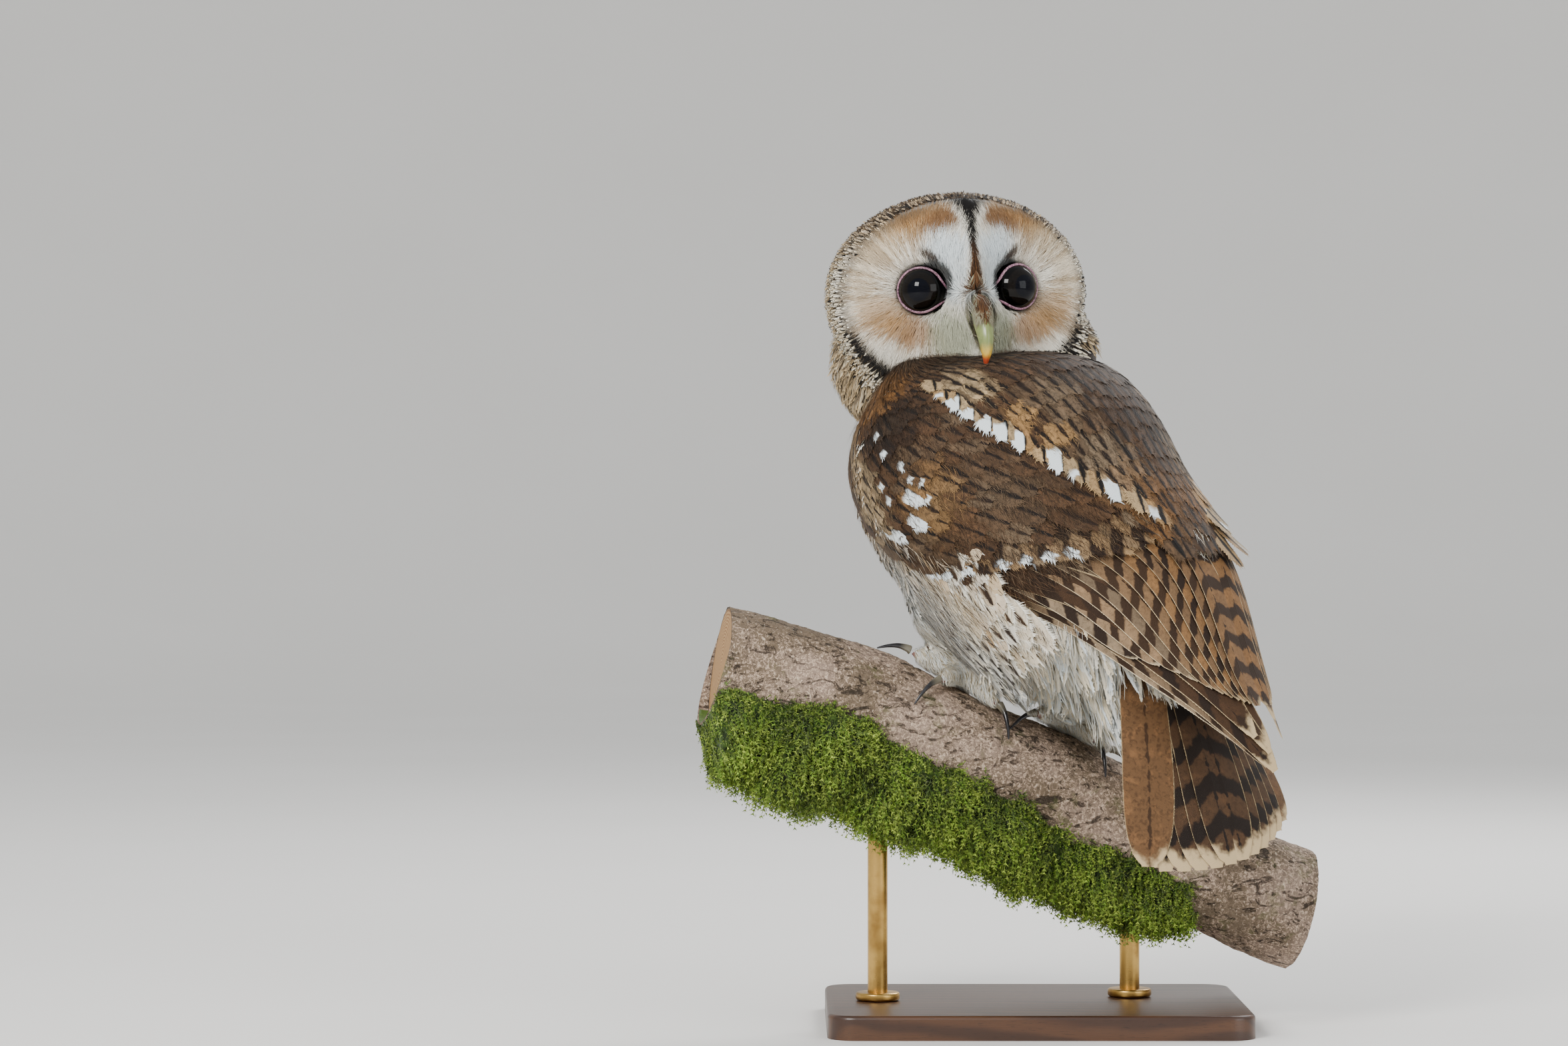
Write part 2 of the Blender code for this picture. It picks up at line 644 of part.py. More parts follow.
def make_moss():
    """A hanging cushion of moss along the branch's lower side, on the branch's own lattice of points."""
    turn = 360.0 / BRANCH_SIDES
    outer, inner = [], []
    for i in range(MOSS_RINGS + 1):
        v = i / MOSS_RINGS
        x = branch_station(i)
        out_row, in_row = [], []
        for k in range(MOSS_SIDES[0], MOSS_SIDES[1] + 1):
            u = (k - MOSS_SIDES[0]) / (MOSS_SIDES[1] - MOSS_SIDES[0])
            hang = math.sin(math.pi * (0.04 + 0.92 * u)) ** 1.3
            lump = 1.0 + 0.12 * math.sin(0.11 * x) + 0.1 * math.sin(0.23 * x + 5 * u)
            ends = math.sin(math.pi * (0.12 + 0.83 * v)) ** 0.35
            thick = 2.5 + MOSS_HANG * hang * lump * (1.0 - 0.72 * v) * ends
            out_row.append(bark(x, turn * k, thick))
            in_row.append(bark(x, turn * k, GAP / MM + 0.05))
        outer.append(out_row)
        inner.append(in_row)
    return slab("perch_moss", outer, inner, MOSS)


# ================================ legs and feet =================================================
def toe_path(side, degrees, start, length, lift):
    """Points of a toe that lies on the branch, from the foot outwards."""
    run = math.radians(degrees)
    points = []
    steps = len(TOE_PROFILE) - 1
    for i in range(steps + 1):
        reach = start + (length - start) * i / steps
        x = FOOT_X[side] + reach * math.cos(run)
        turn = FOOT_TURN[side] + math.degrees(reach * math.sin(run) / (BRANCH_RADIUS + lift))
        points.append(bark(x, turn, lift))
    return points


def make_toe(side, toe, degrees):
    """One feathered toe that lies round the bark."""
    path = toe_path(side, degrees, TOE_START, TOE_LENGTH, TOE_LIFT)
    halves = [(TOE_RADIUS * f, TOE_RADIUS * f) for f in TOE_PROFILE]
    across = (path[-1] - path[0]).cross(path[2] - branch_axis(FOOT_X[side])[0] * MM)
    return tube(f"toe_{side}_{toe}", path, halves, WHITE_FEATHER, across=across, sides=7)


def make_claw(side, toe, degrees):
    """A curved claw that leaves the toe's end and bends down to the bark."""
    run = math.radians(degrees)
    path, halves = [], []
    for i in range(CLAW_STEPS + 1):
        u = i / CLAW_STEPS
        reach = TOE_LENGTH - CLAW_OVERLAP + (CLAW_LENGTH + CLAW_OVERLAP) * u
        x = FOOT_X[side] + reach * math.cos(run)
        arc = math.sin(math.pi * (0.18 + 0.78 * u))
        lift = TOE_RADIUS * 0.35 + 6.2 * arc * (1 - 0.55 * u) - 2.0 * u
        lift = max(lift, 1.0 + 2.0 * (1 - u))
        turn = FOOT_TURN[side] + math.degrees(reach * math.sin(run) / (BRANCH_RADIUS + lift))
        path.append(bark(x, turn, lift))
        radius = CLAW_RADIUS * (1 - u) ** 0.75 + 0.3
        halves.append((radius * 0.85, radius))
    across = (path[-1] - path[0]).cross(path[2] - branch_axis(FOOT_X[side])[0] * MM)
    return tube(f"claw_{side}_{toe}", path, halves, CLAW, across=across, sides=5, roughness=0.3)


def make_leg(side):
    """The feathered thigh and shank, down to the foot's pad."""
    foot = on_branch(FOOT_X[side], FOOT_TURN[side], FOOT_LIFT)
    ankle = on_branch(FOOT_X[side] + ANKLE[0], FOOT_TURN[side], ANKLE[1])
    hip = body(*THIGH[side])
    knee = hip.lerp(ankle, 0.5) + FORWARD * 4.0 * MM
    path = [hip, hip.lerp(knee, 0.5), knee, knee.lerp(ankle, 0.55), ankle, foot, foot.lerp(ankle, -0.7)]
    halves = [(r, r) for r in LEG_PROFILE]
    return tube(f"leg_{side}", path, halves, WHITE_FEATHER, across=LEFT, sides=LEG_SIDES)


# ================================ stand =========================================================
def make_base():
    """The flat base, with round corners and a softened rim."""
    bm = bmesh.new()
    bmesh.ops.create_cube(bm, size=1.0)
    bmesh.ops.scale(bm, verts=bm.verts, vec=Vector(BASE_SIZE) * MM)
    bmesh.ops.translate(bm, verts=bm.verts, vec=(0.0, 0.0, BASE_SIZE[2] * MM / 2))
    uprights = [e for e in bm.edges if abs(e.verts[0].co.z - e.verts[1].co.z) > BASE_SIZE[2] * MM / 2]
    bmesh.ops.bevel(bm, geom=uprights, offset=BASE_CORNER * MM, segments=4, affect="EDGES", profile=0.5)
    rim = [e for e in bm.edges if all(v.co.z > BASE_SIZE[2] * MM * 0.9 for v in e.verts)]
    bmesh.ops.bevel(bm, geom=rim, offset=BASE_ROUNDING * MM, segments=2, affect="EDGES", profile=0.5)
    return solid("stand_base", bm, WALNUT, roughness=0.4)


def cylinder(name, centre, radius, low, high, colour, segments=12, **finish):
    """An upright round bar between two heights, in mm."""
    bm = bmesh.new()
    bmesh.ops.create_cone(bm, cap_ends=True, segments=segments, radius1=radius * MM, radius2=radius * MM,
                          depth=(high - low) * MM)
    bmesh.ops.translate(bm, verts=bm.verts, vec=(centre[0] * MM, centre[1] * MM, (low + high) / 2 * MM))
    return solid(name, bm, colour, **finish)


def make_rods():
    """The two rods under the branch, and their collars on the base."""
    rods, collars = [], []
    for name, x in zip(("left", "right"), ROD_X):
        middle = branch_axis(x)[0]
        low = BASE_SIZE[2] + GAP / MM
        high = middle.z - BRANCH_RADIUS + ROD_INTO_BRANCH
        place = (middle.x, middle.y)
        rods.append(cylinder(f"stand_rod_{name}", place, ROD_RADIUS, low, high, BRASS,
                             roughness=0.3, metallic=1.0))
        collars.append(cylinder(f"stand_collar_{name}", place, COLLAR_RADIUS, low, low + COLLAR_HEIGHT,
                                BRASS, roughness=0.3, metallic=1.0))
    return rods, collars


# ================================ assembly ======================================================
def main():
    """Makes every piece, and cuts each back where an earlier one is."""
    for leftover in list(bpy.data.objects):
        bpy.data.objects.remove(leftover)

    eyes = make_eyes()
    upper, lower = make_bill()
    head, disc, head_form = make_head()
    carve(lower, upper)
    carve(disc, *eyes, upper, lower)

    neck = ball("neck", NECK_CENTRE * MM, NECK_RADII, TAWNY, segments=16, rings=9)
    neck_form = grown(neck)
    carve(neck, head_form)

    left_wing, left_form = make_wing("wing_left", 1)
    right_wing, right_form = make_wing("wing_right", -1)
    tail = make_tail()
    undertail = make_undertail()
    trunk = make_trunk()
    carve(trunk, left_form, right_form)
    carve(trunk, neck_form)
    carve(trunk, head_form, lower, upper)
    carve(tail, *left_wing[1:], *right_wing[1:])
    carve(tail, trunk)
    carve(undertail, tail, trunk)

    rods, collars = make_rods()
    branch = make_branch()
    carve(branch, *rods)
    moss = make_moss()
    carve(moss, *rods)
    for collar, rod in zip(collars, rods):
        carve(collar, rod)
    make_base()

    for side in ("left", "right"):
        leg = make_leg(side)
        carve(leg, trunk, branch, undertail)
        toes = []
        for toe, degrees in TOES[side].items():
            toes.append(carve(make_toe(side, toe, degrees), leg, branch, *toes))
            carve(make_claw(side, toe, degrees), toes[-1], branch)


main()
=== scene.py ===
"""The looks of a life-size tawny owl display model, on a cut branch and a plain stand.

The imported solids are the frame. One skin replaces the nodes of flesh, and the plumage is laid over
it as solid vanes, tufts and bristles. Eyes, bill, claws, bark, moss and stand are pieces of their own.
"""

import logging
import math
from contextlib import contextmanager
from dataclasses import dataclass, field, replace
from enum import Enum
from typing import Callable, Iterator, Optional, Sequence

import bmesh
import bpy
import numpy as np
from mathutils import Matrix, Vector, noise
from mathutils.bvhtree import BVHTree
from mathutils.kdtree import KDTree


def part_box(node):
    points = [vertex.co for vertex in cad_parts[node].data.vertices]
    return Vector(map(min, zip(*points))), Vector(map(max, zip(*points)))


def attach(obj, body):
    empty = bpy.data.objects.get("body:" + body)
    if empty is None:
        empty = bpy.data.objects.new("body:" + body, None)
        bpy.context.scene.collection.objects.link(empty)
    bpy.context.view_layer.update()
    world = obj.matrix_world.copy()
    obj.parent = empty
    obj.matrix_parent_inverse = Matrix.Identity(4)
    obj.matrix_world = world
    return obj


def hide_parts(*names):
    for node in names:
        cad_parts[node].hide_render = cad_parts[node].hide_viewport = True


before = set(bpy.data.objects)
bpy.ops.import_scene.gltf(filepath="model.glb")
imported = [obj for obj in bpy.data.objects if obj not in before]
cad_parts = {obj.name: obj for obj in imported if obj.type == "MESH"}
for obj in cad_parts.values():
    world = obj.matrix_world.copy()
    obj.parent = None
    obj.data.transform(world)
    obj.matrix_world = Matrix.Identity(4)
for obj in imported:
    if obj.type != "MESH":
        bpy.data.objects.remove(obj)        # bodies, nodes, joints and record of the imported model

Array = np.ndarray
Chance = np.random.Generator
Object = bpy.types.Object
Material = bpy.types.Material
Table = Sequence[tuple[float, ...]]
LOG = logging.getLogger("tawny_owl")
MM = 0.001
PATCH = 0.003  # width of one tuft's patch on the skin's unwrap
SIDES = {"left": 1, "right": -1}


# ================================ numbers =======================================================
def unit(vectors: Array) -> Array:
    """Vectors of length one."""
    return vectors / np.maximum(np.linalg.norm(vectors, axis=-1, keepdims=True), 1e-12)


def dot(a: Array, b: Array) -> Array:
    """Dot products over the last axis, kept as a column."""
    return np.sum(a * b, axis=-1, keepdims=True)


def step(low: float, high: float, value: Array) -> Array:
    """A smooth rise from 0 at low to 1 at high."""
    share = np.clip((np.asarray(value, float) - low) / (high - low), 0.0, 1.0)
    return share * share * (3.0 - 2.0 * share)


def between(rows: Table, place: Array) -> Array:
    """Values of a table at the given places, by a smooth curve through its rows.

    Args:
        rows: rows of (place, value, ...).
        place: the places to read, of any shape.

    Returns:
        An array of the places' shape with one more axis, for the columns of values.
    """
    table = np.array(sorted(rows), float)
    keys, values = table[:, 0], table[:, 1:]
    last = len(keys) - 1
    low = np.maximum(np.arange(last + 1) - 1, 0)
    high = np.minimum(np.arange(last + 1) + 1, last)
    slopes = (values[high] - values[low]) / (keys[high] - keys[low])[:, None]
    place = np.clip(np.asarray(place, float), keys[0], keys[-1])
    i = np.clip(np.searchsorted(keys, place, side="right") - 1, 0, last - 1)
    span = (keys[i + 1] - keys[i])[..., None]
    u = (place - keys[i])[..., None] / span
    a, b = values[i], values[i + 1]
    rise = a + (b - a) * u * u * (3.0 - 2.0 * u)
    return rise + slopes[i] * span * u * (1.0 - u) ** 2 - slopes[i + 1] * span * u * u * (1.0 - u)


def pairs(a: Array, b: Array) -> Array:
    """Two arrays of one shape as rows of two."""
    return np.stack((a, b), axis=-1).reshape(-1, 2)


def wander(points: Array, scale: float, seed: float = 0.0) -> Array:
    """Smooth noise from -1 to 1 at each point."""
    shift = Vector((seed * 7.1, seed * 3.3, seed * 5.7))
    return np.array([noise.noise(Vector(p) * scale + shift) for p in points.tolist()])


# ================================ colours =======================================================
def linear(code: str) -> Array:
    """Linear red, green and blue of a hex code."""
    parts = np.array([int(code[i:i + 2], 16) / 255.0 for i in (0, 2, 4)])
    return np.where(parts <= 0.04045, parts / 12.92, ((parts + 0.055) / 1.055) ** 2.4)


class Dye(Enum):
    """The colours of the plumage, skin and horn."""

    SOOT = "0f0b09"
    UMBER = "22160e"
    PEAT = "3b2818"
    TAWNY = "5d442e"
    RUST = "6f4a2b"
    OCHRE = "a3733f"
    BUFF = "b78f5c"
    SAND = "c6ae86"
    ASH = "85735c"
    DRAB = "665744"
    CREAM = "e6d8ba"
    WHITE = "f0ebdd"
    ICE = "e6eff2"
    SAGE = "a3a88c"

    @property
    def rgb(self) -> Array:
        """The colour as linear values."""
        return linear(self.value)


def blend(a: Array, b: Array, share: Array) -> Array:
    """Colours mixed row by row."""
    share = np.asarray(share, float)
    share = share[..., None] if share.ndim else share
    return a + (b - a) * share


@dataclass
class Dyes:
    """The colours and marks of a batch of feathers, one row each.

    tone is the ground colour and the mottling, mark the dark marks and the width of the shaft
    streak, trim the colour and width of the edge, and plan the bars, the tip, the pale web and a
    number of the feather's own.
    """

    tone: Array
    mark: Array
    trim: Array
    plan: Array
    rows = ("tone", "mark", "trim", "plan")

    @classmethod
    def of(cls, rng: Chance, count: int, tone: Array, mark: Array, trim: Array,
           mottle: Array = 0.0, streak: Array = 0.0, edge: Array = 0.0, bars: Array = 0.0,
           tip: Array = 0.0, web: Array = 0.5) -> "Dyes":
        """Joins colours and amounts, given once or for each feather, into rows.

        Args:
            rng: the source of each feather's own number.
            count: how many feathers there are.
            tone: ground colour.
            mark: colour of streaks, bars and mottling.
            trim: colour of the edge and tip.
            mottle: strength of the mottling.
            streak: half width of the shaft streak, as a share of the vane's.
            edge: width of the edge, as a share of the half vane.
            bars: number of bars over 20.
            tip: length of the pale tip, as a share of the feather.
            web: 0 or 1 for a pale web on one side, 0.5 for none.

        Returns:
            The rows.
        """
        def rows(colour: Array, amount: Array) -> Array:
            """Rows of a colour and an amount."""
            made = np.empty((count, 4))
            made[:, :3] = colour
            made[:, 3] = amount
            return made

        plan = np.empty((count, 4))
        plan[:, 0], plan[:, 1], plan[:, 2], plan[:, 3] = bars, tip, web, rng.random(count)
        return cls(rows(tone, mottle), rows(mark, streak), rows(trim, edge), plan)

    def calm(self) -> "Dyes":
        """The same rows, with less difference between one feather and the next."""
        self.plan[:, 3] *= 0.3
        return self


# ================================ the bird's frames =============================================
@dataclass(frozen=True)
class Stance:
    """How the bird stands: its body axis and where its face looks; sizes in mm."""

    heading: float = math.radians(52.0)
    lean: float = math.radians(37.3)
    body_centre: tuple[float, float, float] = (-3.5, 0.0, 265.0)
    head_centre: tuple[float, float, float] = (-37.0, 10.0, 365.0)
    face_yaw: float = math.radians(10.0)
    face_roll: float = math.radians(2.5)


class Bird:
    """Turns places on the body and the face into places in the room, and back."""

    envelope: Table = (
        (86, 28, 12, 26, 0), (76, 52, 21, 48, 0), (60, 73, 38, 64, 0), (45, 81, 56, 75, 0),
        (28, 85, 68, 79, 0), (0, 84, 73, 80, 0), (-30, 80, 71, 76, 0), (-60, 77, 69, 70, 1),
        (-95, 67, 62, 56, 5), (-150, 44, 37, 34, 14), (-200, 20, 17, 16, 25),
    )  # place along the axis, half width, back, belly, centre
    eye_spread: float = 22.8
    eye_height: float = 1.5

    def __init__(self, stance: Stance) -> None:
        """Works out the axes of the body and the face.

        Args:
            stance: how the bird sits and looks.
        """
        up = np.array((0.0, 0.0, 1.0))
        self.forward = np.array((-math.sin(stance.heading), math.cos(stance.heading), 0.0))
        self.axis = self.forward * math.sin(stance.lean) + up * math.cos(stance.lean)
        self.left = np.cross(up, self.forward)
        self.dorsal = np.cross(self.axis, self.left)
        self.middle = np.array(stance.body_centre)
        yaw, roll = stance.face_yaw, stance.face_roll
        self.out = np.array((math.sin(yaw), -math.cos(yaw), 0.0))
        level = np.array((math.cos(yaw), math.sin(yaw), 0.0))
        self.right = level * math.cos(roll) + np.cross(self.out, level) * math.sin(roll)
        self.up = np.cross(self.out, self.right)
        self.head = np.array(stance.head_centre)

    def body(self, s: Array, t: Array, d: Array) -> Array:
        """Places s along the axis, t to the bird's left and d towards its back, in mm."""
        s, t, d = (np.asarray(v, float)[..., None] for v in (s, t, d))
        return (self.middle + self.axis * s + self.left * t + self.dorsal * d) * MM

    def face(self, x: Array, y: Array, z: Array) -> Array:
        """Places x to the viewer's right, y up and z out of the face, in mm."""
        x, y, z = (np.asarray(v, float)[..., None] for v in (x, y, z))
        return (self.head + self.right * x + self.up * y + self.out * z) * MM

    def on_face(self, points: Array) -> tuple[Array, Array, Array]:
        """x, y and z on the face of places in the room, in mm."""
        away = points / MM - self.head
        return away @ self.right, away @ self.up, away @ self.out

    def on_body(self, points: Array) -> tuple[Array, Array]:
        """Place along the axis (mm) and angle from the back's midline (degrees, + to the left).

        Args:
            points: the places.

        Returns:
            The places along the axis and the angles.
        """
        away = points / MM - self.middle
        s, t, d = away @ self.axis, away @ self.left, away @ self.dorsal
        wide, back, belly, centre = np.moveaxis(between(self.envelope, s), -1, 0)
        deep = np.where(d > centre, back, belly)
        return s, np.degrees(np.arctan2(t / wide, (d - centre) / deep))

    def shell(self, s: Array, degrees: Array, rise: Array = 0.0) -> Array:
        """Places on the folded bird's outer surface, or this many mm out from it."""
        wide, back, belly, centre = np.moveaxis(between(self.envelope, s), -1, 0)
        angle = np.radians(degrees)
        deep = np.where(np.cos(angle) > 0, back, belly)
        return self.body(s, (wide + rise) * np.sin(angle), centre + (deep + rise) * np.cos(angle))


# ================================ surfaces to lay feathers on ===================================
def heights(rng: Chance, count: int, stations: Sequence[float], low: float, high: float) -> Array:
    """Heights of stations in mm as metres, times a factor drawn for each feather."""
    return np.array(stations) * MM * rng.uniform(low, high, (count, 1))


@dataclass
class Lay:
    """Where a batch of feathers runs: middle lines, and the ways across them and out."""

    middle: Array
    side: Array
    out: Array

    @classmethod
    def along(cls, middle: Array, out: Array) -> "Lay":
        """A lay from middle lines and rough outward directions."""
        ahead = unit(np.gradient(middle, axis=1))
        side = unit(np.cross(out, ahead))
        return cls(middle, side, unit(np.cross(ahead, side)))


class Form:
    """A mesh surface that answers where its nearest place is and which way is out."""

    def __init__(self, obj: Object) -> None:
        """Reads the mesh of an object once.

        Args:
            obj: the object whose surface it is.
        """
        self.co, normals = read(obj), read(obj, "normal")
        self.faces = [list(p.vertices) for p in obj.data.polygons]
        self.tree = BVHTree.FromPolygons(self.co.tolist(), self.faces)
        self.out = unit(np.array([normals[f].sum(axis=0) for f in self.faces]))
        self.centre = np.array([self.co[f].mean(axis=0) for f in self.faces])
        self.area = np.empty(len(self.faces))
        obj.data.polygons.foreach_get("area", self.area)

    def settle(self, points: Array) -> tuple[Array, Array, Array]:
        """Nearest places on the surface, the outward directions there, and the faces' numbers."""
        found = [self.tree.find_nearest(p) for p in points.tolist()]
        face = np.array([f[2] for f in found])
        return np.array([tuple(f[0]) for f in found]), self.out[face], face

    def scatter(self, spacing: Callable[[Array], Array], rng: Chance, even: bool = False) -> Array:
        """Places spread over the surface.

        Args:
            spacing: gives the distance wanted between neighbours at each place in mm, 0 for none.
            rng: the source of chance.
            even: whether places keep their distance, as feathers do, or fall at random, as hairs do.

        Returns:
            The places.
        """
        wanted = spacing(self.centre) * MM
        weight = np.where(wanted > 0, self.area / np.maximum(wanted, 1e-5) ** 2, 0.0)
        count = int(weight.sum() * (3.0 if even else 1.0))
        face = rng.choice(len(weight), size=count, p=weight / weight.sum())
        corners = np.array([self.co[self.faces[f][:3] + self.faces[f][-1:]] for f in face])
        u, v = rng.random((2, count, 1))
        points = ((corners[:, 0] * (1 - u) + corners[:, 1] * u) * (1 - v)
                  + (corners[:, 3] * (1 - u) + corners[:, 2] * u) * v)
        gaps = spacing(points) * MM
        points, gaps = points[gaps > 0], gaps[gaps > 0]
        return self.thinned(points, gaps) if even else points

    @staticmethod
    def thinned(points: Array, gaps: Array) -> Array:
        """Drops each place that is nearer to an earlier one than its gap.

        Args:
            points: the places.
            gaps: the least distance to keep at each place, in metres.

        Returns:
            The places kept.
        """
        tree = KDTree(len(points))
        for index, point in enumerate(points.tolist()):
            tree.insert(point, index)
        tree.balance()
        kept = np.ones(len(points), bool)
        for index, (point, gap) in enumerate(zip(points.tolist(), gaps.tolist())):
            if kept[index]:
                for _, other, _ in tree.find_range(point, gap):
                    if other > index:
                        kept[other] = False
        return points[kept]

    def run(self, roots: Array, ahead: Array, length: Array, shares: Array, rise: Array,
            bend: Array = 0.0) -> Lay:
        """Runs feathers along the surface.

        Args:
            roots: where they start.
            ahead: the directions they take.
            length: their lengths in metres.
            shares: the stations along each, from 0 to 1.
            rise: the height of each station over the surface in metres, per feather or for all.
            bend: how far each turns to its side over its length, in radians.

        Returns:
            The lay of the batch.
        """
        foot, out, _ = self.settle(roots)
        heights = np.broadcast_to(rise, (len(roots), len(shares)))
        length = np.broadcast_to(length, (len(roots),))
        bend = np.broadcast_to(bend, (len(roots),))[:, None]
        ahead = unit(ahead - out * dot(ahead, out))
        middle = np.empty((len(roots), len(shares), 3))
        outs = np.empty_like(middle)
        for k, share in enumerate(shares):
            if k:
                reach = share - shares[k - 1]
                foot, out, _ = self.settle(foot + ahead * (length * reach)[:, None])
                ahead = ahead + np.cross(out, ahead) * bend * reach
                ahead = unit(ahead - out * dot(ahead, out))
            middle[:, k] = foot + out * heights[:, k:k + 1]
            outs[:, k] = out
        return Lay.along(middle, outs)


# ================================ making meshes =================================================
def only(obj: Object | None) -> None:
    """Makes an object the only one selected, or leaves none selected, in object mode.

    Args:
        obj: the object, or none to leave nothing selected.
    """
    if bpy.context.object and bpy.context.object.mode != "OBJECT":
        bpy.ops.object.mode_set(mode="OBJECT")
    bpy.ops.object.select_all(action="DESELECT")
    if obj:
        obj.select_set(True)
        bpy.context.view_layer.objects.active = obj


@contextmanager
def editing(obj: Object, select: str = "SELECT", mode: str = "VERT") -> Iterator[None]:
    """Edit mode on one object, with all or nothing of its mesh selected.

Args:
    obj: the object.
    select: SELECT for all, DESELECT for nothing.
    mode: VERT, EDGE or FACE.

    Yields:
        The object, in edit mode.
    """
    only(obj)
    bpy.ops.object.mode_set(mode="EDIT")
    bpy.ops.mesh.select_mode(type=mode)
    bpy.ops.mesh.select_all(action=select)
    yield
    bpy.ops.object.mode_set(mode="OBJECT")


def pick(obj: Object, kind: str, wanted: Callable[[object], bool]) -> None:
    """Selects edges or faces of the mesh in edit mode by a rule of their place or shape.

    Args:
        obj: the object in edit mode.
        kind: edges or faces.
        wanted: tells whether one is selected.
    """
    mesh = bmesh.from_edit_mesh(obj.data)
    for part in getattr(mesh, kind):
        part.select_set(bool(wanted(part)))
    bmesh.update_edit_mesh(obj.data)


def quads_of(grid: Array) -> Array:
    """The faces of grids of vertices, given by their numbers as (grid, row, column)."""
    corners = (grid[:, :-1, :-1], grid[:, 1:, :-1], grid[:, 1:, 1:], grid[:, :-1, 1:])
    return np.stack([corner.ravel() for corner in corners], axis=1)


def mesh_of(name: str, points: Array, quads: list[Array], tris: list[Array]) -> bpy.types.Mesh:
    """A mesh from its vertices and batches of faces."""
    mesh = bpy.data.meshes.new(name)
    mesh.from_pydata(points.tolist(), [], [face for part in quads + tris for face in part.tolist()])
    return mesh


def linked(name: str, data: bpy.types.ID) -> Object:
    """A new object of the scene with this mesh, light or camera."""
    obj = bpy.data.objects.new(name, data)
    bpy.context.scene.collection.objects.link(obj)
    return obj


def primitive(kind: str, name: str, **sizes: object) -> Object:
    """Adds a primitive of bpy.ops.mesh, with its place in its mesh.

    Args:
        kind: its kind in the operator's name.
        name: the piece's name.
        sizes: the operator's settings.

    Returns:
        The object.
    """
    only(None)
    getattr(bpy.ops.mesh, f"primitive_{kind}_add")(**sizes)
    obj = bpy.context.object
    obj.name = obj.data.name = name
    bpy.ops.object.transform_apply(location=True, rotation=True, scale=True)
    return obj


def sheet(name: str, across: int, along: int) -> tuple[Object, Array, Array]:
    """A flat grid to be shaped, with its vertices' places from -1 to 1 both ways."""
    obj = primitive("grid", name, x_subdivisions=across, y_subdivisions=along, size=2.0)
    co = read(obj)
    return obj, co[:, 0], co[:, 1]


def modify(obj: Object, kind: str, **settings: object) -> Object:
    """Adds a modifier with these settings and applies it.

    Args:
        obj: the object.
        kind: the modifier's type.
        settings: its settings.

    Returns:
        The same object.
    """
    only(obj)
    modifier = obj.modifiers.new(kind.lower(), kind)
    for key, value in settings.items():
        setattr(modifier, key, value)
    bpy.ops.object.modifier_apply(modifier=modifier.name)
    return obj


def read(obj: Object, what: str = "co") -> Array:
    """The places (co) or outward directions (normal) of the object's vertices, as rows."""
    values = np.empty(len(obj.data.vertices) * 3)
    obj.data.vertices.foreach_get(what, values)
    return values.reshape(-1, 3)


def move_to(obj: Object, co: Array) -> Object:
    """Gives the object's vertices new places."""
    obj.data.vertices.foreach_set("co", np.ascontiguousarray(co, np.float32).ravel())
    obj.data.update()
    return obj


def box(node: str) -> tuple[Array, Array]:
    """The middle and the size of a CAD node's box."""
    low, high = (np.array(corner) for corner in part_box(node))
    return (low + high) / 2, high - low


def face_out(obj: Object) -> Object:
    """Merges doubles and turns all faces outwards, with smooth shading.

    Args:
        obj: the object.

    Returns:
        The object.
    """
    with editing(obj):
        bpy.ops.mesh.remove_doubles(threshold=1e-6)
        bpy.ops.mesh.normals_make_consistent(inside=False)
    obj.data.shade_smooth()
    return obj


def smooth_by(obj: Object, degrees: float) -> None:
    """Smooth shading, with edges sharper than this many degrees kept sharp."""
    only(obj)
    bpy.ops.object.shade_smooth_by_angle(angle=math.radians(degrees))


def copy_of(name: str, nodes: Sequence[str]) -> Object:
    """One object with merged copies of the meshes of several CAD nodes.

    Args:
        name: the piece's name.
        nodes: the nodes to copy.

    Returns:
        The object.
    """
    merged = bmesh.new()
    for node in nodes:
        merged.from_mesh(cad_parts[node].data)
    bmesh.ops.remove_doubles(merged, verts=merged.verts, dist=1e-6)
    mesh = bpy.data.meshes.new(name)
    merged.to_mesh(mesh)
    merged.free()
    mesh.materials.clear()
    return linked(name, mesh)


def unwrap(obj: Object) -> None:
    """Gives the mesh an OFBake map by its own shape."""
    obj.data.uv_layers.new(name="OFBake")
    with editing(obj):
        bpy.ops.uv.smart_project(angle_limit=math.radians(66.0), island_margin=0.002)


def add_map(mesh: bpy.types.Mesh, name: str, places: Array) -> None:
    """Gives the mesh a UV map from a place for each vertex."""
    layer = mesh.uv_layers.new(name=name)
    corners = np.empty(len(mesh.loops), np.int32)
    mesh.loops.foreach_get("vertex_index", corners)
    layer.uv.foreach_set("vector", places[corners].astype(np.float32).ravel())


def dye_vertices(mesh: bpy.types.Mesh, name: str, colours: Array) -> None:
    """Stores colours on the vertices under a name."""
    data = np.ones((len(colours), 4), np.float32)
    data[:, :colours.shape[1]] = colours
    mesh.attributes.new(name, "FLOAT_COLOR", "POINT").data.foreach_set("color", data.ravel())


def claw_bases() -> list[Array]:
    """The middle of each claw's root.

    Returns:
        One place for each claw.
    """
    bases = []
    for node in [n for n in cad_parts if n.startswith("claw_")]:
        co = read(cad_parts[node])
        away = np.linalg.norm(co - box(node.replace("claw", "toe"))[0], axis=1)
        bases.append(co[away <= np.quantile(away, 0.12)].mean(axis=0))
    return bases


def hand_in(obj: Object, material: Material, nodes: Sequence[str] = ()) -> Object:
    """Dresses a finished piece and ties it to the frame.

    Args:
        obj: the piece.
        material: its finish.
        nodes: the CAD nodes that it stands for.

    Returns:
        The same object.
    """
    obj.data.materials.clear()
    obj.data.materials.append(material)
    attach(obj, "root")
    if nodes:
        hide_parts(*nodes)
    LOG.info("%s: %d faces", obj.name, len(obj.data.polygons))
    return obj


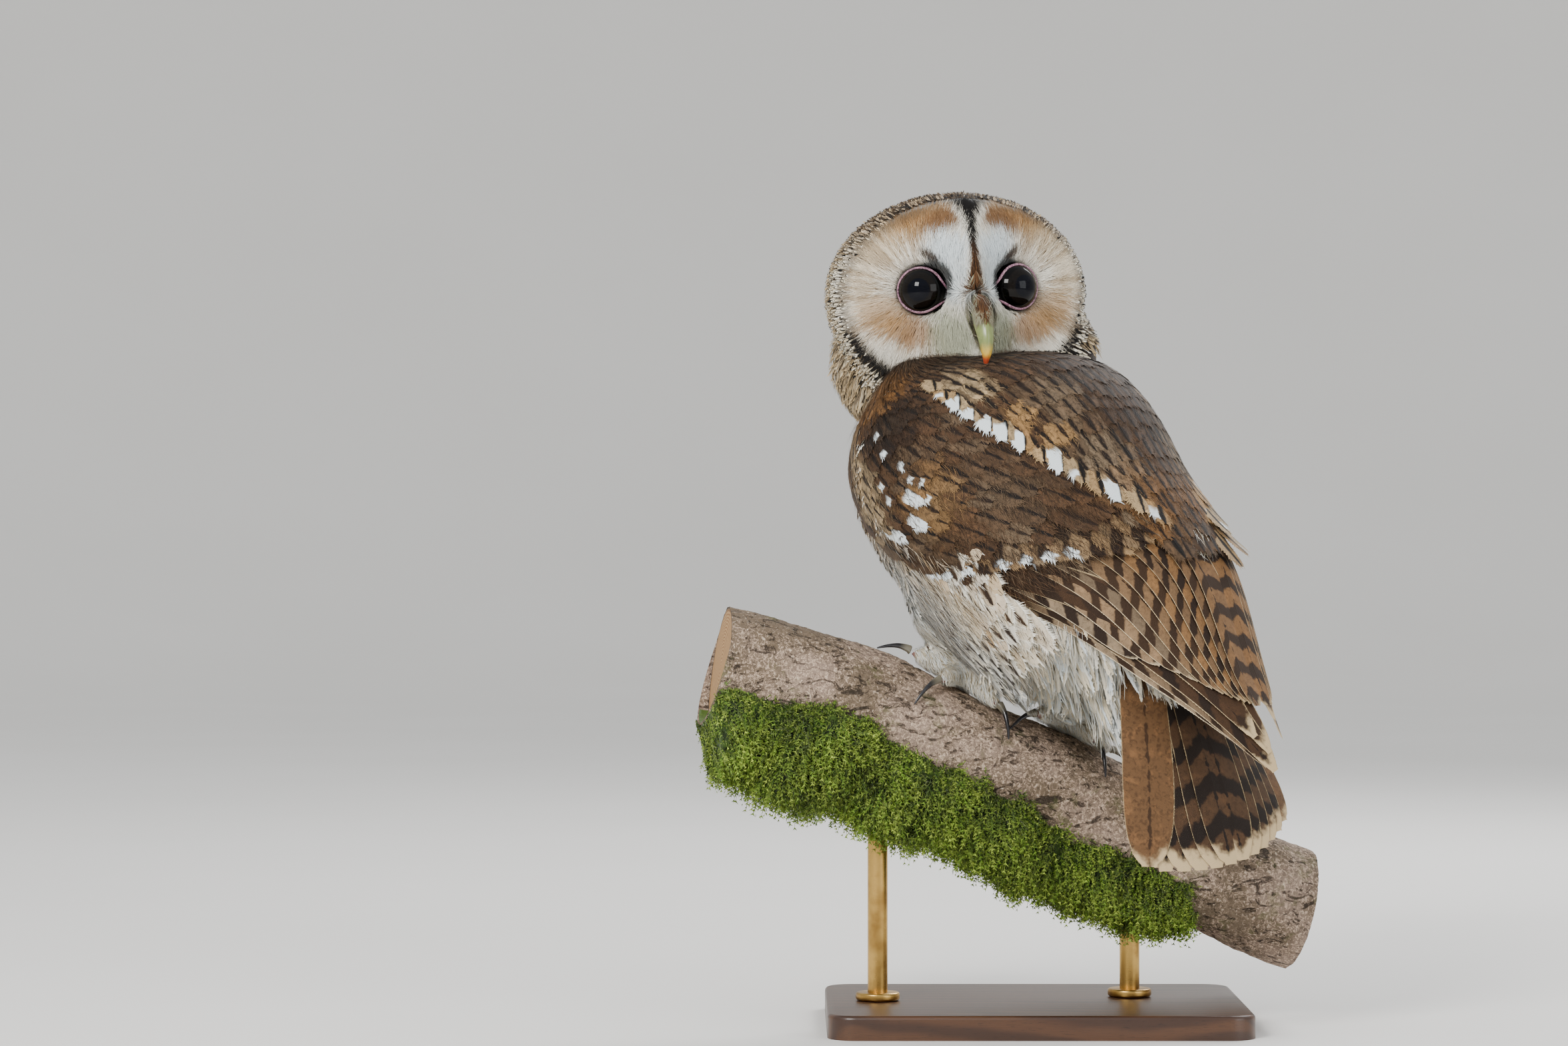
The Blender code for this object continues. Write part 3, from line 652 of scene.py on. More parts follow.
# ================================ feathers ======================================================
@dataclass(frozen=True)
class Vane:
    """The shape of one kind of feather, or of a bristle when it has two columns."""

    rows: int = 8
    columns: int = 5
    blunt: float = 4.0  # higher is a squarer tip
    waist: float = 0.45  # lower is a broader base
    camber: float = 0.10  # drop of the edges, as a share of the half width
    fringe: float = 0.0  # reach of the loose barbs at the edge, as a share of the half width
    barbs: int = 3  # loose barbs on each stretch of the edge
    ragged: float = 0.04  # unevenness of the edge, as a share of the length

    @property
    def shares(self) -> Array:
        """Stations along the feather, closer together towards the tip."""
        t = np.linspace(0.0, 1.0, self.rows)
        return 1.0 - (1.0 - t) ** (1.0 if self.columns == 2 else 1.5)

    @property
    def half(self) -> Array:
        """Half width at each station, as a share of the widest.

        Returns:
            Half widths, as shares of the greatest.
        """
        v = np.clip(self.shares, 0.02, 0.992)
        if self.columns == 2:
            return np.clip(v / 0.08, 0.6, 1.0) * (1.04 - v) ** 0.75
        form = v ** self.waist * np.sqrt(1.0 - v ** self.blunt)
        return form / form.max()

    def back(self, length: Array) -> Array:
        """How far each station lies back from the tip, for each length."""
        return np.reshape(length, (-1, 1)) * (1.0 - self.shares[None])


BRISTLE = Vane(rows=4, columns=2, ragged=0.0)
FINE = Vane(rows=3, columns=2, ragged=0.0)


class Layout(Enum):
    """How a coat's feathers are laid out on its bake map."""

    SKIN = "a small patch at each root's place on the skin's unwrap"
    CELLS = "a cell of its own for each feather, in the order of the rows on the body"


class Coat:
    """One joined mesh of many feathers, with their maps and colours."""

    def __init__(self, name: str, layout: Layout, rng: Chance, skin: Optional["Skin"] = None) -> None:
        """Starts an empty coat.

        Args:
            name: the piece's name.
            layout: how its bake map is laid out.
            rng: the source of chance.
            skin: the skin whose unwrap places the patches, for Layout.SKIN.
        """
        self.name, self.layout, self.rng, self.skin = name, layout, rng, skin
        self.parts: dict[str, list[Array]] = {
            key: [] for key in ("points", "Vane", "Barb", "owner", *Dyes.rows)}
        self.quads: list[Array] = []
        self.tris: list[Array] = []
        self.roots: list[Array] = []
        self.vertices = self.feathers = 0

    def _take(self, points: Array, vane: Array, barb: Array, owner: Array, dyes: Dyes) -> None:
        """Keeps a batch of vertices.

        Args:
            points: their places.
            vane: places on the vane, 0 to 1 across and along.
            barb: places on the vane in cm.
            owner: the number of each one's feather in the batch.
            dyes: the batch's colours.
        """
        made = {"points": points, "Vane": vane, "Barb": barb / (10 * MM), "owner": owner + self.feathers}
        for key in Dyes.rows:
            made[key] = getattr(dyes, key)[owner]
        for key, rows in made.items():
            self.parts[key].append(rows)
        self.vertices += len(points)

    def add(self, vane: Vane, lay: Lay, width: Array, length: Array, dyes: Dyes,
            tilt: Array = 0.0, lean: float = 0.0) -> None:
        """Adds a batch of feathers.

        Args:
            vane: their shape.
            lay: where they run, at the shape's own stations.
            width: half of each one's greatest width, in metres.
            length: their lengths in metres.
            dyes: their colours and marks.
            tilt: rise of the positive side's edge, as a share of the half width.
            lean: how much narrower the positive side is than the other, as a share.
        """
        count, rows, columns = shape = (len(lay.middle), vane.rows, vane.columns)
        width, length = (np.broadcast_to(size, (count,)) for size in (width, length))
        u = np.linspace(-1.0, 1.0, columns)
        reach = np.where(u > 0, u * (1.0 - lean), u * (1.0 + lean))
        half = width[:, None] * vane.half
        across = half[:, :, None] * reach
        lift = half[:, :, None] * (np.reshape(tilt, (-1, 1, 1)) * u - vane.camber * np.abs(u) ** 1.6)
        points = (lay.middle[:, :, None] + lay.side[:, :, None] * across[..., None]
                  + lay.out[:, :, None] * lift[..., None])
        if vane.ragged:
            ahead = np.cross(lay.side, lay.out) * -1.0
            notch = self.rng.normal(0.0, vane.ragged, shape) * np.abs(u) ** 3
            notch *= length[:, None, None] * vane.shares[None, :, None]
            points = points - ahead[:, :, None] * notch[..., None]
        grid = np.arange(count * rows * columns).reshape(shape) + self.vertices
        self.quads.append(quads_of(grid))
        shares = np.broadcast_to(vane.shares[None, :, None], shape)
        owner = np.repeat(np.arange(count), rows * columns)
        self._take(points.reshape(-1, 3), pairs(np.broadcast_to((u + 1.0) / 2.0, shape), shares),
                   pairs(across, shares * length[:, None, None]), owner, dyes)
        if vane.fringe:
            self._fringe(vane, points, half, length, dyes)
        self.roots.append(lay.middle[:, 0])
        self.feathers += count

    def lay_on(self, form: Form, vane: Vane, roots: Array, ahead: Array, length: Array, rise: Array,
               bend: Array, half: Array, dyes: Dyes) -> None:
        """Runs a batch of feathers along a surface and adds them.

        Args:
            form: the surface.
            vane: their shape.
            roots: where they start.
            ahead: the directions they take.
            length: their lengths in metres.
            rise: the stations' heights over the surface in metres.
            bend: how far each turns to its side, in radians.
            half: half of each one's greatest width, in mm.
            dyes: their colours and marks.
        """
        self.add(vane, form.run(roots, ahead, length, vane.shares, rise, bend), half * MM, length, dyes)

    def filled(self, *steps: Callable[["Coat"], None]) -> "Coat":
        """The coat after each of these steps has added its feathers."""
        for add in steps:
            add(self)
        return self

    def _fringe(self, vane: Vane, points: Array, half: Array, length: Array, dyes: Dyes) -> None:
        """Adds loose barbs round the outer half of each vane, as slim triangles off its edge.

        Args:
            vane: the feathers' shape.
            points: their vertices, by feather, row and column.
            half: their half widths, by feather and row.
            length: their lengths in metres.
            dyes: their colours.
        """
        count, rows, columns = points.shape[:3]
        first, stretches = rows // 3, rows - 1 - rows // 3
        for column, sign in ((0, -1.0), (columns - 1, 1.0)):
            low, high = points[:, first:-1, column], points[:, first + 1:, column]
            inner = points[:, first:-1, column - int(sign)]
            outward = unit(unit(low - inner) * 0.8 + unit(high - low))
            tuck = (inner - low) * 0.15
            for barb in range(vane.barbs):
                start, stop = barb / vane.barbs, (barb + 1.25) / vane.barbs
                loose = self.rng.uniform(0.15, 1.0, low.shape[:2])[..., None]
                reach = vane.fringe * half.max(axis=1)[:, None, None] * loose
                a, b = low + (high - low) * start, low + (high - low) * stop
                apex = (a + b) / 2 + outward * reach
                order = (a + tuck, apex, b + tuck) if sign > 0 else (a + tuck, b + tuck, apex)
                shares = vane.shares[first:-1] + np.diff(vane.shares[first:]) * (start + 0.5 / vane.barbs)
                share = np.repeat(np.broadcast_to(shares, (count, stretches)), 3)
                owner = np.repeat(np.arange(count), stretches * 3)
                self.tris.append(np.arange(len(owner)).reshape(-1, 3) + self.vertices)
                self._take(np.stack(order, axis=2).reshape(-1, 3),
                           pairs(np.full_like(share, (sign + 1.0) / 2.0), share),
                           pairs(sign * np.repeat(half[:, first:-1], 3), share * length[owner]), owner, dyes)

    def _bake_map(self, vane: Array, owner: Array) -> Array:
        """Each vertex's place on the bake map.

        Args:
            vane: its place on its vane.
            owner: its feather's number.

        Returns:
            The places.
        """
        if self.layout is Layout.SKIN:
            corner = self.skin.place_on_map(np.concatenate(self.roots))
            corner = corner + self.rng.uniform(-PATCH / 2, PATCH / 2, corner.shape)
            return corner[owner] + (vane - 0.5) * PATCH
        columns = math.ceil(math.sqrt(self.feathers * 1.6))
        rows = math.ceil(self.feathers / columns)
        cell = np.stack((owner % columns, owner // columns), axis=1)
        return (cell + 0.08 + vane * 0.84) / np.array((columns, rows))

    def finish(self, material: Material, slot: str, nodes: Sequence[str] = ()) -> Object:
        """Makes the mesh, dresses it and ties it to the frame.

        Args:
            material: its finish.
            slot: the record's material slot; not used.
            nodes: the CAD nodes that it stands for.

        Returns:
            The piece.
        """
        rows = {key: np.concatenate(parts) for key, parts in self.parts.items()}
        mesh = mesh_of(self.name, rows["points"], self.quads, self.tris)
        mesh.shade_smooth()
        rows["OFBake"] = self._bake_map(rows["Vane"], rows["owner"])
        for key in ("OFBake", "Vane", "Barb"):
            add_map(mesh, key, rows[key])
        for key in Dyes.rows:
            dye_vertices(mesh, key, rows[key])
        return hand_in(linked(self.name, mesh), material, nodes)


# ================================ shader graphs =================================================
class Value:
    """What a node gives, with arithmetic: each operation adds one Math node."""

    def __init__(self, graph: "Graph", socket: bpy.types.NodeSocket) -> None:
        """Wraps an output of one of the graph's nodes."""
        self.graph, self.socket = graph, socket

    def __add__(self, other: object) -> "Value":
        """The sum with a value or number."""
        return self.graph.math("ADD", self, other)

    def __sub__(self, other: object) -> "Value":
        """The difference from this to a value or number."""
        return self.graph.math("SUBTRACT", self, other)

    def __rsub__(self, other: float) -> "Value":
        """The difference from a number to this."""
        return self.graph.math("SUBTRACT", other, self)

    def __mul__(self, other: object) -> "Value":
        """The product with a value or number."""
        return self.graph.math("MULTIPLY", self, other)

    def __abs__(self) -> "Value":
        """The value without its sign."""
        return self.graph.math("ABSOLUTE", self)


class Graph:
    """Adds nodes to a shader tree or group, one short call for each."""

    def __init__(self, tree: bpy.types.NodeTree) -> None:
        """Works on this tree."""
        self.tree = tree

    def feed(self, socket: bpy.types.NodeSocket, value: object) -> None:
        """Links a value into an input, or sets the input's constant.

        Args:
            socket: the input.
            value: a value, a number, a vector or a linear colour.
        """
        if isinstance(value, Value):
            self.tree.links.new(value.socket, socket)
        elif isinstance(value, (tuple, np.ndarray)) and socket.type == "RGBA":
            socket.default_value = (*[float(c) for c in value[:3]], 1.0)
        else:
            socket.default_value = value

    def node(self, kind: str, inputs: dict, output: object = 0, **settings: object) -> Value:
        """Adds a node.

        Args:
            kind: its type's name after the word ShaderNode.
            inputs: what feeds it, by the inputs' numbers or names.
            output: the number or name of the output to use.
            settings: its other settings.

        Returns:
            What it gives.
        """
        made = self.tree.nodes.new("ShaderNode" + kind)
        for key, value in settings.items():
            setattr(made, key, value)
        for key, value in inputs.items():
            self.feed(made.inputs[key], value)
        return Value(self, made.outputs[output])

    def math(self, operation: str, *values: object) -> Value:
        """The value of a Math node."""
        return self.node("Math", dict(enumerate(values)), operation=operation)

    def sine(self, value: Value) -> Value:
        """The sine of a value."""
        return self.math("SINE", value)

    def most(self, first: Value, *others: Value) -> Value:
        """The greatest of several values."""
        return first if not others else self.math("MAXIMUM", first, self.most(*others))

    def step(self, low: object, high: object, value: Value) -> Value:
        """A smooth rise from 0 at low to 1 at high."""
        inputs = {"Value": value, "From Min": low, "From Max": high}
        return self.node("MapRange", inputs, interpolation_type="SMOOTHSTEP")

    def mix(self, share: object, a: object, b: object, kind: str = "MIX") -> Value:
        """Two colours mixed by a share of the second."""
        return self.node("Mix", {0: share, 6: a, 7: b}, 2, data_type="RGBA", blend_type=kind)

    def tint(self, share: object, a: str, b: str) -> Value:
        """A colour between two hex codes."""
        return self.mix(share, linear(a), linear(b))

    def over(self, colour: object, *coats: tuple[Value, str]) -> Value:
        """A colour with others laid over it.

        Args:
            colour: the ground.
            coats: the share and hex code of each colour, in the order in which they are laid.

        Returns:
            The last colour.
        """
        for share, code in coats:
            colour = self.mix(share, colour, linear(code))
        return colour

    def shaded(self, colour: Value, shade: Value) -> Value:
        """A colour made darker or lighter by a value."""
        return self.mix(1.0, colour, self.join(shade, shade, shade), "MULTIPLY")

    def noise(self, place: Value, scale: float, detail: float = 2.0, rough: float = 0.5,
              twist: float = 0.0) -> Value:
        """Noise from 0 to 1 at a place."""
        inputs = {"Vector": place, "Scale": scale, "Detail": detail, "Roughness": rough, "Distortion": twist}
        return self.node("TexNoise", inputs, "Fac")

    def split(self, vector: Value) -> tuple[Value, ...]:
        """The three parts of a vector."""
        first = self.node("SeparateXYZ", {0: vector})
        return tuple(Value(self, socket) for socket in first.socket.node.outputs)

    def join(self, x: Value, y: object, z: object = 0.0) -> Value:
        """A vector from three parts."""
        return self.node("CombineXYZ", {0: x, 1: y, 2: z})

    def place(self, *scale: float) -> Value:
        """Object coordinates, stretched where three factors are given."""
        return self.node("Mapping", {"Vector": self.node("TexCoord", {}, "Object"),
                                     "Scale": scale or (1.0, 1.0, 1.0)})

    def map(self, name: str) -> tuple[Value, ...]:
        """The parts of a place on a UV map."""
        return self.split(self.node("UVMap", {}, uv_map=name))

    def stored(self, name: str) -> tuple[Value, Value]:
        """A stored colour and its fourth value."""
        colour = self.node("Attribute", {}, "Color", attribute_name=name)
        return colour, Value(self, colour.socket.node.outputs["Alpha"])

    def bump(self, height: Value, strength: float, distance: float) -> Value:
        """A normal bumped by a height."""
        return self.node("Bump", {"Height": height, "Strength": strength, "Distance": distance})


def vane_markings() -> bpy.types.NodeTree:
    """The group that paints a feather: shaft streak, bars, mottling, pale edge, tip and web, and painted shade
    over its lower half.

    Returns:
        The group. It gives the colour and the height of the barbs.
    """
    tree = bpy.data.node_groups.new("vane_markings", "ShaderNodeTree")
    for kind, names in (("Vector", ("Vane", "Barb", "Plan")), ("Color", ("Tone", "Mark", "Trim")),
                        ("Float", ("Mottle", "Streak", "Edge", "Own", "Depth"))):
        for name in names:
            tree.interface.new_socket(name=name, in_out="INPUT", socket_type="NodeSocket" + kind)
    for name, kind in (("Colour", "Color"), ("Height", "Float")):
        tree.interface.new_socket(name=name, in_out="OUTPUT", socket_type="NodeSocket" + kind)
    g, end = Graph(tree), tree.nodes.new("NodeGroupOutput")
    given = {socket.name: Value(g, socket) for socket in tree.nodes.new("NodeGroupInput").outputs}
    mark, own, mottle, edge = (given[name] for name in ("Mark", "Own", "Mottle", "Edge"))
    (u, v, _), (bu, bv, _), (bars, tip, web) = (g.split(given[name]) for name in ("Vane", "Barb", "Plan"))
    x = u * 2.0 - 1.0
    side = abs(x)
    shift = own * 91.0
    spot = g.join(bu + shift, bv + own * 37.0, shift)
    broad = g.noise(spot, 1.7, 3.0, 0.6) - 0.5
    # mottling runs on from one feather to the next
    fine = g.noise(g.place(), 520.0, 4.0, 0.72, 0.6)
    patch = g.noise(g.place(), 150.0, 3.0, 0.6, 0.4)
    ground = g.mix(own * 0.25, given["Tone"], g.mix(0.75, given["Tone"], mark))
    light = g.mix(1.0, ground, (1.55, 1.5, 1.45), "MULTIPLY")
    ground = g.mix(g.step(0.50, 0.68, patch) * mottle, ground, light)
    # the streak along the shaft
    swell = given["Streak"] * (v * 0.3 + 0.8)
    streak = 1.0 - g.step(swell * 0.45, swell * 1.5 + 0.03, side + broad * 0.55)
    # bars run back a little from the shaft
    phase = side * -0.05 + v + broad * 0.055
    wave = g.sine(phase * (bars * (20.0 * math.tau)) + own * 3.0)
    bar = g.step(-0.2, 0.5, wave) * g.math("GREATER_THAN", bars, 0.01)
    grain, patchy = g.step(0.48, 0.62, fine) * mottle, g.step(0.12, 0.3, broad) * mottle
    colour = g.mix(g.most(streak, bar, grain * 0.62, patchy * 0.5), ground, mark)
    # the pale edge, tip and web
    rim = g.step(1.0 - edge, 1.08 - edge, side + broad * 0.10) * g.step(0.0, 0.02, edge)
    round_tip = v + (side * 0.05 + broad * 0.12)
    end_tip = g.step(1.0 - tip, 1.05 - tip, round_tip) * g.step(0.0, 0.02, tip)
    lean = web * 2.0 - 1.0
    full = g.step(0.6, 0.9, abs(lean))
    along, stop = v + broad * 0.22, full * 0.4 + 0.9
    outer = g.step(full * -0.40 + 0.22, full * -0.40 + 0.4, x * g.math("SIGN", lean) + broad * 0.4)
    reach = g.step(full * -0.14 + 0.72, full * -0.14 + 0.82, along) * (1.0 - g.step(stop - 0.05, stop, along))
    pale_web = outer * reach * g.step(0.1, 0.3, abs(lean))
    colour = g.mix(g.most(rim, end_tip, pale_web), colour, given["Trim"])
    # barbs: fine lines that run out and forward from the shaft
    line = abs(bu) * -0.9 + bv + g.noise(spot, 3.0, 1.0) * 0.12
    barbs = g.sine(line * 82.0) * 0.5 + 0.5
    # painted shade: the group's shade input darkens the lower half of the vane, as if the feathers over it
    # shaded it
    shade = (barbs * 0.18 + 0.88) * (1.0 - (1.0 - g.step(0.0, 0.5, v)) * given["Depth"])
    g.feed(end.inputs["Colour"], g.shaded(colour, shade))
    g.feed(end.inputs["Height"], (1.0 - g.step(0.0, 0.07, side)) * 1.2 + barbs)
    return tree


class Finish:
    """A finish: the constants of its shader, and what it paints on it."""

    name: str
    shader: dict[str, object]

    def paint(self, g: Graph) -> dict[str, Value]:
        """What feeds the shader's inputs, by their names."""
        raise NotImplementedError

    def build(self) -> Material:
        """Makes the material and connects what the finish paints to its shader.

        Returns:
            The material.
        """
        material = bpy.data.materials.new(self.name)
        material.use_nodes = True
        graph = Graph(material.node_tree)
        sockets = {socket.name.lower().replace(" ", "_"): socket
                   for socket in material.node_tree.nodes["Principled BSDF"].inputs}
        for key, value in {**self.shader, **self.paint(graph)}.items():
            graph.feed(sockets[key], value)
        return material


@dataclass(frozen=True)
class FeatherFinish(Finish):
    """Feathers, painted by their own stored colours through the shared group."""

    name: str
    markings: bpy.types.NodeTree
    roughness: float = 0.72
    sheen: float = 0.03
    relief: float = 0.25
    # depth: how strongly painted shade darkens the lower half of each feather
    depth: float = 0.35

    @property
    def shader(self) -> dict[str, object]:
        """The constants of the shader."""
        return {"roughness": self.roughness, "sheen_weight": self.sheen, "sheen_roughness": 0.5,
                "specular_ior_level": 0.22}

    def paint(self, g: Graph) -> dict[str, Value]:
        """Colour and barbs from the shared group.

        Args:
            g: the graph of the finish.

        Returns:
            What each input of the shader takes.
        """
        made = g.tree.nodes.new("ShaderNodeGroup")
        made.node_tree = self.markings
        for name in ("Vane", "Barb"):
            g.feed(made.inputs[name], g.node("UVMap", {}, uv_map=name))
        for pair in (("Tone", "Mottle"), ("Mark", "Streak"), ("Trim", "Edge"), ("Plan", "Own")):
            for name, value in zip(pair, g.stored(pair[0].lower())):
                g.feed(made.inputs[name], value)
        g.feed(made.inputs["Depth"], self.depth)
        colour, height = (Value(g, socket) for socket in made.outputs)
        return {"base_color": colour, "normal": g.bump(height, self.relief, 0.0003)}


class SkinFinish(Finish):
    """The skin and its down under the feathers, dyed as the coat over it."""

    name = "skin_and_down"
    shader = {"roughness": 0.85, "sheen_weight": 0.2}

    def paint(self, g: Graph) -> dict[str, Value]:
        """Its stored colour, with the shade and relief of down."""
        down = g.noise(g.place(), 900.0, 4.0, 0.65)
        shade = (down * 0.7 + 0.35) * (g.noise(g.place(), 160.0, 2.0) * 0.5 + 0.6)
        return {"base_color": g.shaded(g.stored("tone")[0], shade), "normal": g.bump(down, 0.5, 0.0008)}


class EyeFinish(Finish):
    """A dark eye: black pupil with a painted blue reflection, brown-black iris with fine rings, under a clear
    cornea.
    """

    name = "eye"
    shader = {"roughness": 0.03, "specular_ior_level": 0.13, "coat_weight": 0.07, "coat_roughness": 0.01}
    pupil = 0.47
    iris = 0.80

    def paint(self, g: Graph) -> dict[str, Value]:
        """Rings by the map Gaze, whose first value is the angle from the eye's axis.

        Args:
            g: the graph of the finish.

        Returns:
            What each input of the shader takes.
        """
        away, turn, _ = g.map("Gaze")
        rays = g.noise(g.join(away * 4.0, turn * 60.0), 1.0, 3.0)
        iris = g.mix(rays, (0.002, 0.0016, 0.0013), (0.008, 0.0055, 0.0042))
        # the pupil's faint blue is a painted reflection from inside the eye
        colour = g.mix(g.step(self.pupil - 0.015, self.pupil + 0.015, away), (0.0006, 0.0010, 0.0035), iris)
        edge = g.step(self.iris - 0.05, self.iris + 0.02, away)
        return {"base_color": g.mix(edge, colour, (0.0008, 0.0006, 0.0006))}


class LidFinish(Finish):
    """The bare rims of the lids, dusky pink with small wrinkles."""

    name = "eyelid_rim"
    shader = {"roughness": 0.45, "subsurface_weight": 0.1, "subsurface_radius": (0.002, 0.0008, 0.0006)}

    def paint(self, g: Graph) -> dict[str, Value]:
        """Two pinks and pale grains."""
        grain = g.noise(g.place(), 1500.0, 3.0)
        colour = g.tint(g.step(0.35, 0.65, g.noise(g.place(), 260.0, 2.0)), "8a5a72", "4c2a3e")
        return {"base_color": g.over(colour, (g.step(0.4, 0.7, grain), "c49aa6")),
                "normal": g.bump(grain, 0.6, 0.0003)}


class BillFinish(Finish):
    """Pale green-yellow horn, darker olive towards the bottom of its sides, and orange-red at the hooked tip.
    """

    name = "bill_horn"
    shader = {"roughness": 0.32, "coat_weight": 0.25, "coat_roughness": 0.2, "subsurface_weight": 0.06,
              "subsurface_radius": (0.002, 0.0015, 0.0008)}

    def paint(self, g: Graph) -> dict[str, Value]:
        """Horn by the map Ridge: along the bill, and up from its sides to its ridge.

        Args:
            g: the graph of the finish.

        Returns:
            What each input of the shader takes.
        """
        along, up, _ = g.map("Ridge")
        cloud = g.noise(g.place(1.0, 1.0, 0.35), 420.0, 4.0, 0.6)
        scratch = g.noise(g.place(1.0, 1.0, 0.12), 1500.0, 2.0)
        warped = along + (cloud * 0.10 - 0.05)
        # darker olive towards the bottom, paler up to the ridge
        colour = g.mix(g.step(0.25, 0.95, up), g.tint(cloud, "66723f", "8e9a5c"),
                       g.tint(cloud, "b7c478", "d8dca0"))
        colour = g.over(colour, (g.step(0.62, 0.78, warped), "d9b23e"), (g.step(0.76, 0.86, warped), "b8482a"),
                        (g.step(0.55, 0.75, scratch) * 0.25, "4c4a2c"))
        return {"base_color": colour, "normal": g.bump(scratch, 0.15, 0.0003)}


class ClawFinish(Finish):
    """Black claws, grey-horn at the base, with fine lengthwise lines."""

    name = "claw_horn"
    shader = {"roughness": 0.25, "coat_weight": 0.3, "coat_roughness": 0.12}

    def paint(self, g: Graph) -> dict[str, Value]:
        """Horn by the map Ridge, whose first value runs from base to point.

        Args:
            g: the graph of the finish.

        Returns:
            What each input of the shader takes.
        """
        along, round_, _ = g.map("Ridge")
        lines = g.noise(g.join(along * 1.5, round_ * 24.0), 1.0, 3.0)
        colour = g.mix(g.step(0.12, 0.42, along), g.tint(lines, "8c8674", "5b564c"),
                       g.tint(lines, "0e0d0f", "242329"))
        return {"base_color": colour, "normal": g.bump(lines, 0.12, 0.0002)}


class BarkFinish(Finish):
    """Grey-brown bark with pinkish-cream lichen grains, cracks darkened with painted shade, and a little green.
    """

    name = "bark"
    shader = {"roughness": 0.86, "specular_ior_level": 0.3}

    def paint(self, g: Graph) -> dict[str, Value]:
        """Layers of grain, lichen, painted shade in the cracks, and green.

        Args:
            g: the graph of the finish.

        Returns:
            What each input of the shader takes.
        """
        broad = g.noise(g.place(), 26.0, 3.0, 0.6)
        grain = g.noise(g.place(), 520.0, 5.0, 0.7)
        flake = g.node("TexVoronoi", {"Vector": g.place(1.0, 1.0, 1.3), "Scale": 480.0}, "Distance")
        speck = g.noise(g.place(), 620.0, 3.0, 0.75, 0.8)
        crack = g.noise(g.place(0.5, 1.0, 1.0), 190.0, 4.0, 0.7, 1.2)
        # the cracks: near-black painted shade where the bark is split
        dark = 1.0 - g.step(0.36, 0.46, crack)
        colour = g.mix(g.step(0.42, 0.62, broad), g.tint(grain, "41352a", "93806a"),
                       g.tint(grain, "63534a", "bda592"))
        colour = g.over(colour, (g.step(0.49, 0.58, speck) * g.step(0.25, 0.55, broad) * 0.85, "d2b7a0"),
                        (g.step(0.62, 0.68, speck) * 0.7, "e8dcc6"), (dark * 0.8, "17110c"),
                        (g.step(0.56, 0.66, g.noise(g.place(), 70.0, 4.0, 0.7)) * 0.35, "4f5a26"))
        return {"base_color": colour, "normal": g.bump(flake * 0.6 + (dark * -0.8 + grain), 0.8, 0.0012)}


class CutWoodFinish(Finish):
    """The sawn ends of the branch, with rings, fine cracks drawn as painted shade, and a darker rim."""

    name = "cut_wood"
    shader = {"roughness": 0.75}

    def paint(self, g: Graph) -> dict[str, Value]:
        """Rings by the map Rings, whose first value runs from heart to bark.

        Args:
            g: the graph of the finish.

        Returns:
            What each input of the shader takes.
        """
        away, turn, _ = g.map("Rings")
        ring = g.sine((g.noise(g.place(), 120.0, 3.0) * 0.10 + away) * 120.0)
        grain = g.noise(g.place(), 900.0, 3.0)
        # fine radial cracks, painted near-black as the shade inside them
        split = g.step(0.70, 0.74, g.noise(g.join(turn * 9.0, 0.0), 2.0, 1.0)) * g.step(0.1, 0.3, away)
        colour = g.over(g.tint(g.step(-0.4, 0.9, ring), "c29c6a", "93683c"), (grain * 0.5, "6d4c2c"),
                        (g.step(0.88, 0.95, away), "2f241b"), (split, "1c130c"))
        return {"base_color": colour, "normal": g.bump(ring, 0.2, 0.0004)}


class MossFinish(Finish):
    """Moss, from bright yellow-green tips to dark green depths."""

    name = "moss"
    shader = {"roughness": 0.7, "sheen_weight": 0.15, "specular_ior_level": 0.25}

    def paint(self, g: Graph) -> dict[str, Value]:
        """Each shoot's stored colour, flecked."""
        fleck = g.noise(g.place(), 700.0, 2.0)
        return {"base_color": g.shaded(g.stored("tone")[0], fleck * 0.8 + 0.6),
                "normal": g.bump(fleck, 0.3, 0.0004)}


class WalnutFinish(Finish):
    """Oiled walnut with long grain and fine pores."""

    name = "base_walnut"
    shader = {"roughness": 0.36, "coat_weight": 0.15, "coat_roughness": 0.3}

    def paint(self, g: Graph) -> dict[str, Value]:
        """Warped rings cut lengthwise, under grain and pores.

        Args:
            g: the graph of the finish.

        Returns:
            What each input of the shader takes.
        """
        warp = g.noise(g.place(0.6, 3.0, 3.0), 9.0, 3.0)
        _, y, z = g.split(g.place())
        rings = g.sine((y + z * 0.6) * 620.0 + warp * 26.0)
        grain = g.noise(g.place(1.0, 26.0, 26.0), 60.0, 4.0, 0.6)
        pore = g.step(0.62, 0.72, g.noise(g.place(1.0, 18.0, 18.0), 190.0, 2.0, 0.5))
        colour = g.over(g.tint(g.step(-0.9, 0.9, rings), "40281a", "5a3a23"), (grain * 0.6, "2a170d"),
                        (pore * 0.6, "150b06"))
        return {"base_color": colour, "normal": g.bump(grain - pore, 0.12, 0.0004)}


class BrassFinish(Finish):
    """Satin brass, turned, with a faint tarnish."""

    name = "stand_brass"
    shader = {"metallic": 1.0}

    def paint(self, g: Graph) -> dict[str, Value]:
        """Tarnish in patches, and turned lines in gloss and relief."""
        lines = g.noise(g.place(1.0, 1.0, 30.0), 220.0, 2.0)
        return {"base_color": g.tint(g.step(0.45, 0.75, g.noise(g.place(), 60.0, 3.0)), "c9a35c", "94703a"),
                "roughness": lines * 0.22 + 0.2, "normal": g.bump(lines, 0.06, 0.0002)}


class FloorFinish(Finish):
    """The plain pale floor."""

    name = "pale_floor"
    shader = {"roughness": 0.9}

    def paint(self, g: Graph) -> dict[str, Value]:
        """Two pale greys in very broad clouds."""
        return {"base_color": g.tint(g.noise(g.place(), 3.0, 2.0), "efede9", "f5f3f0")}


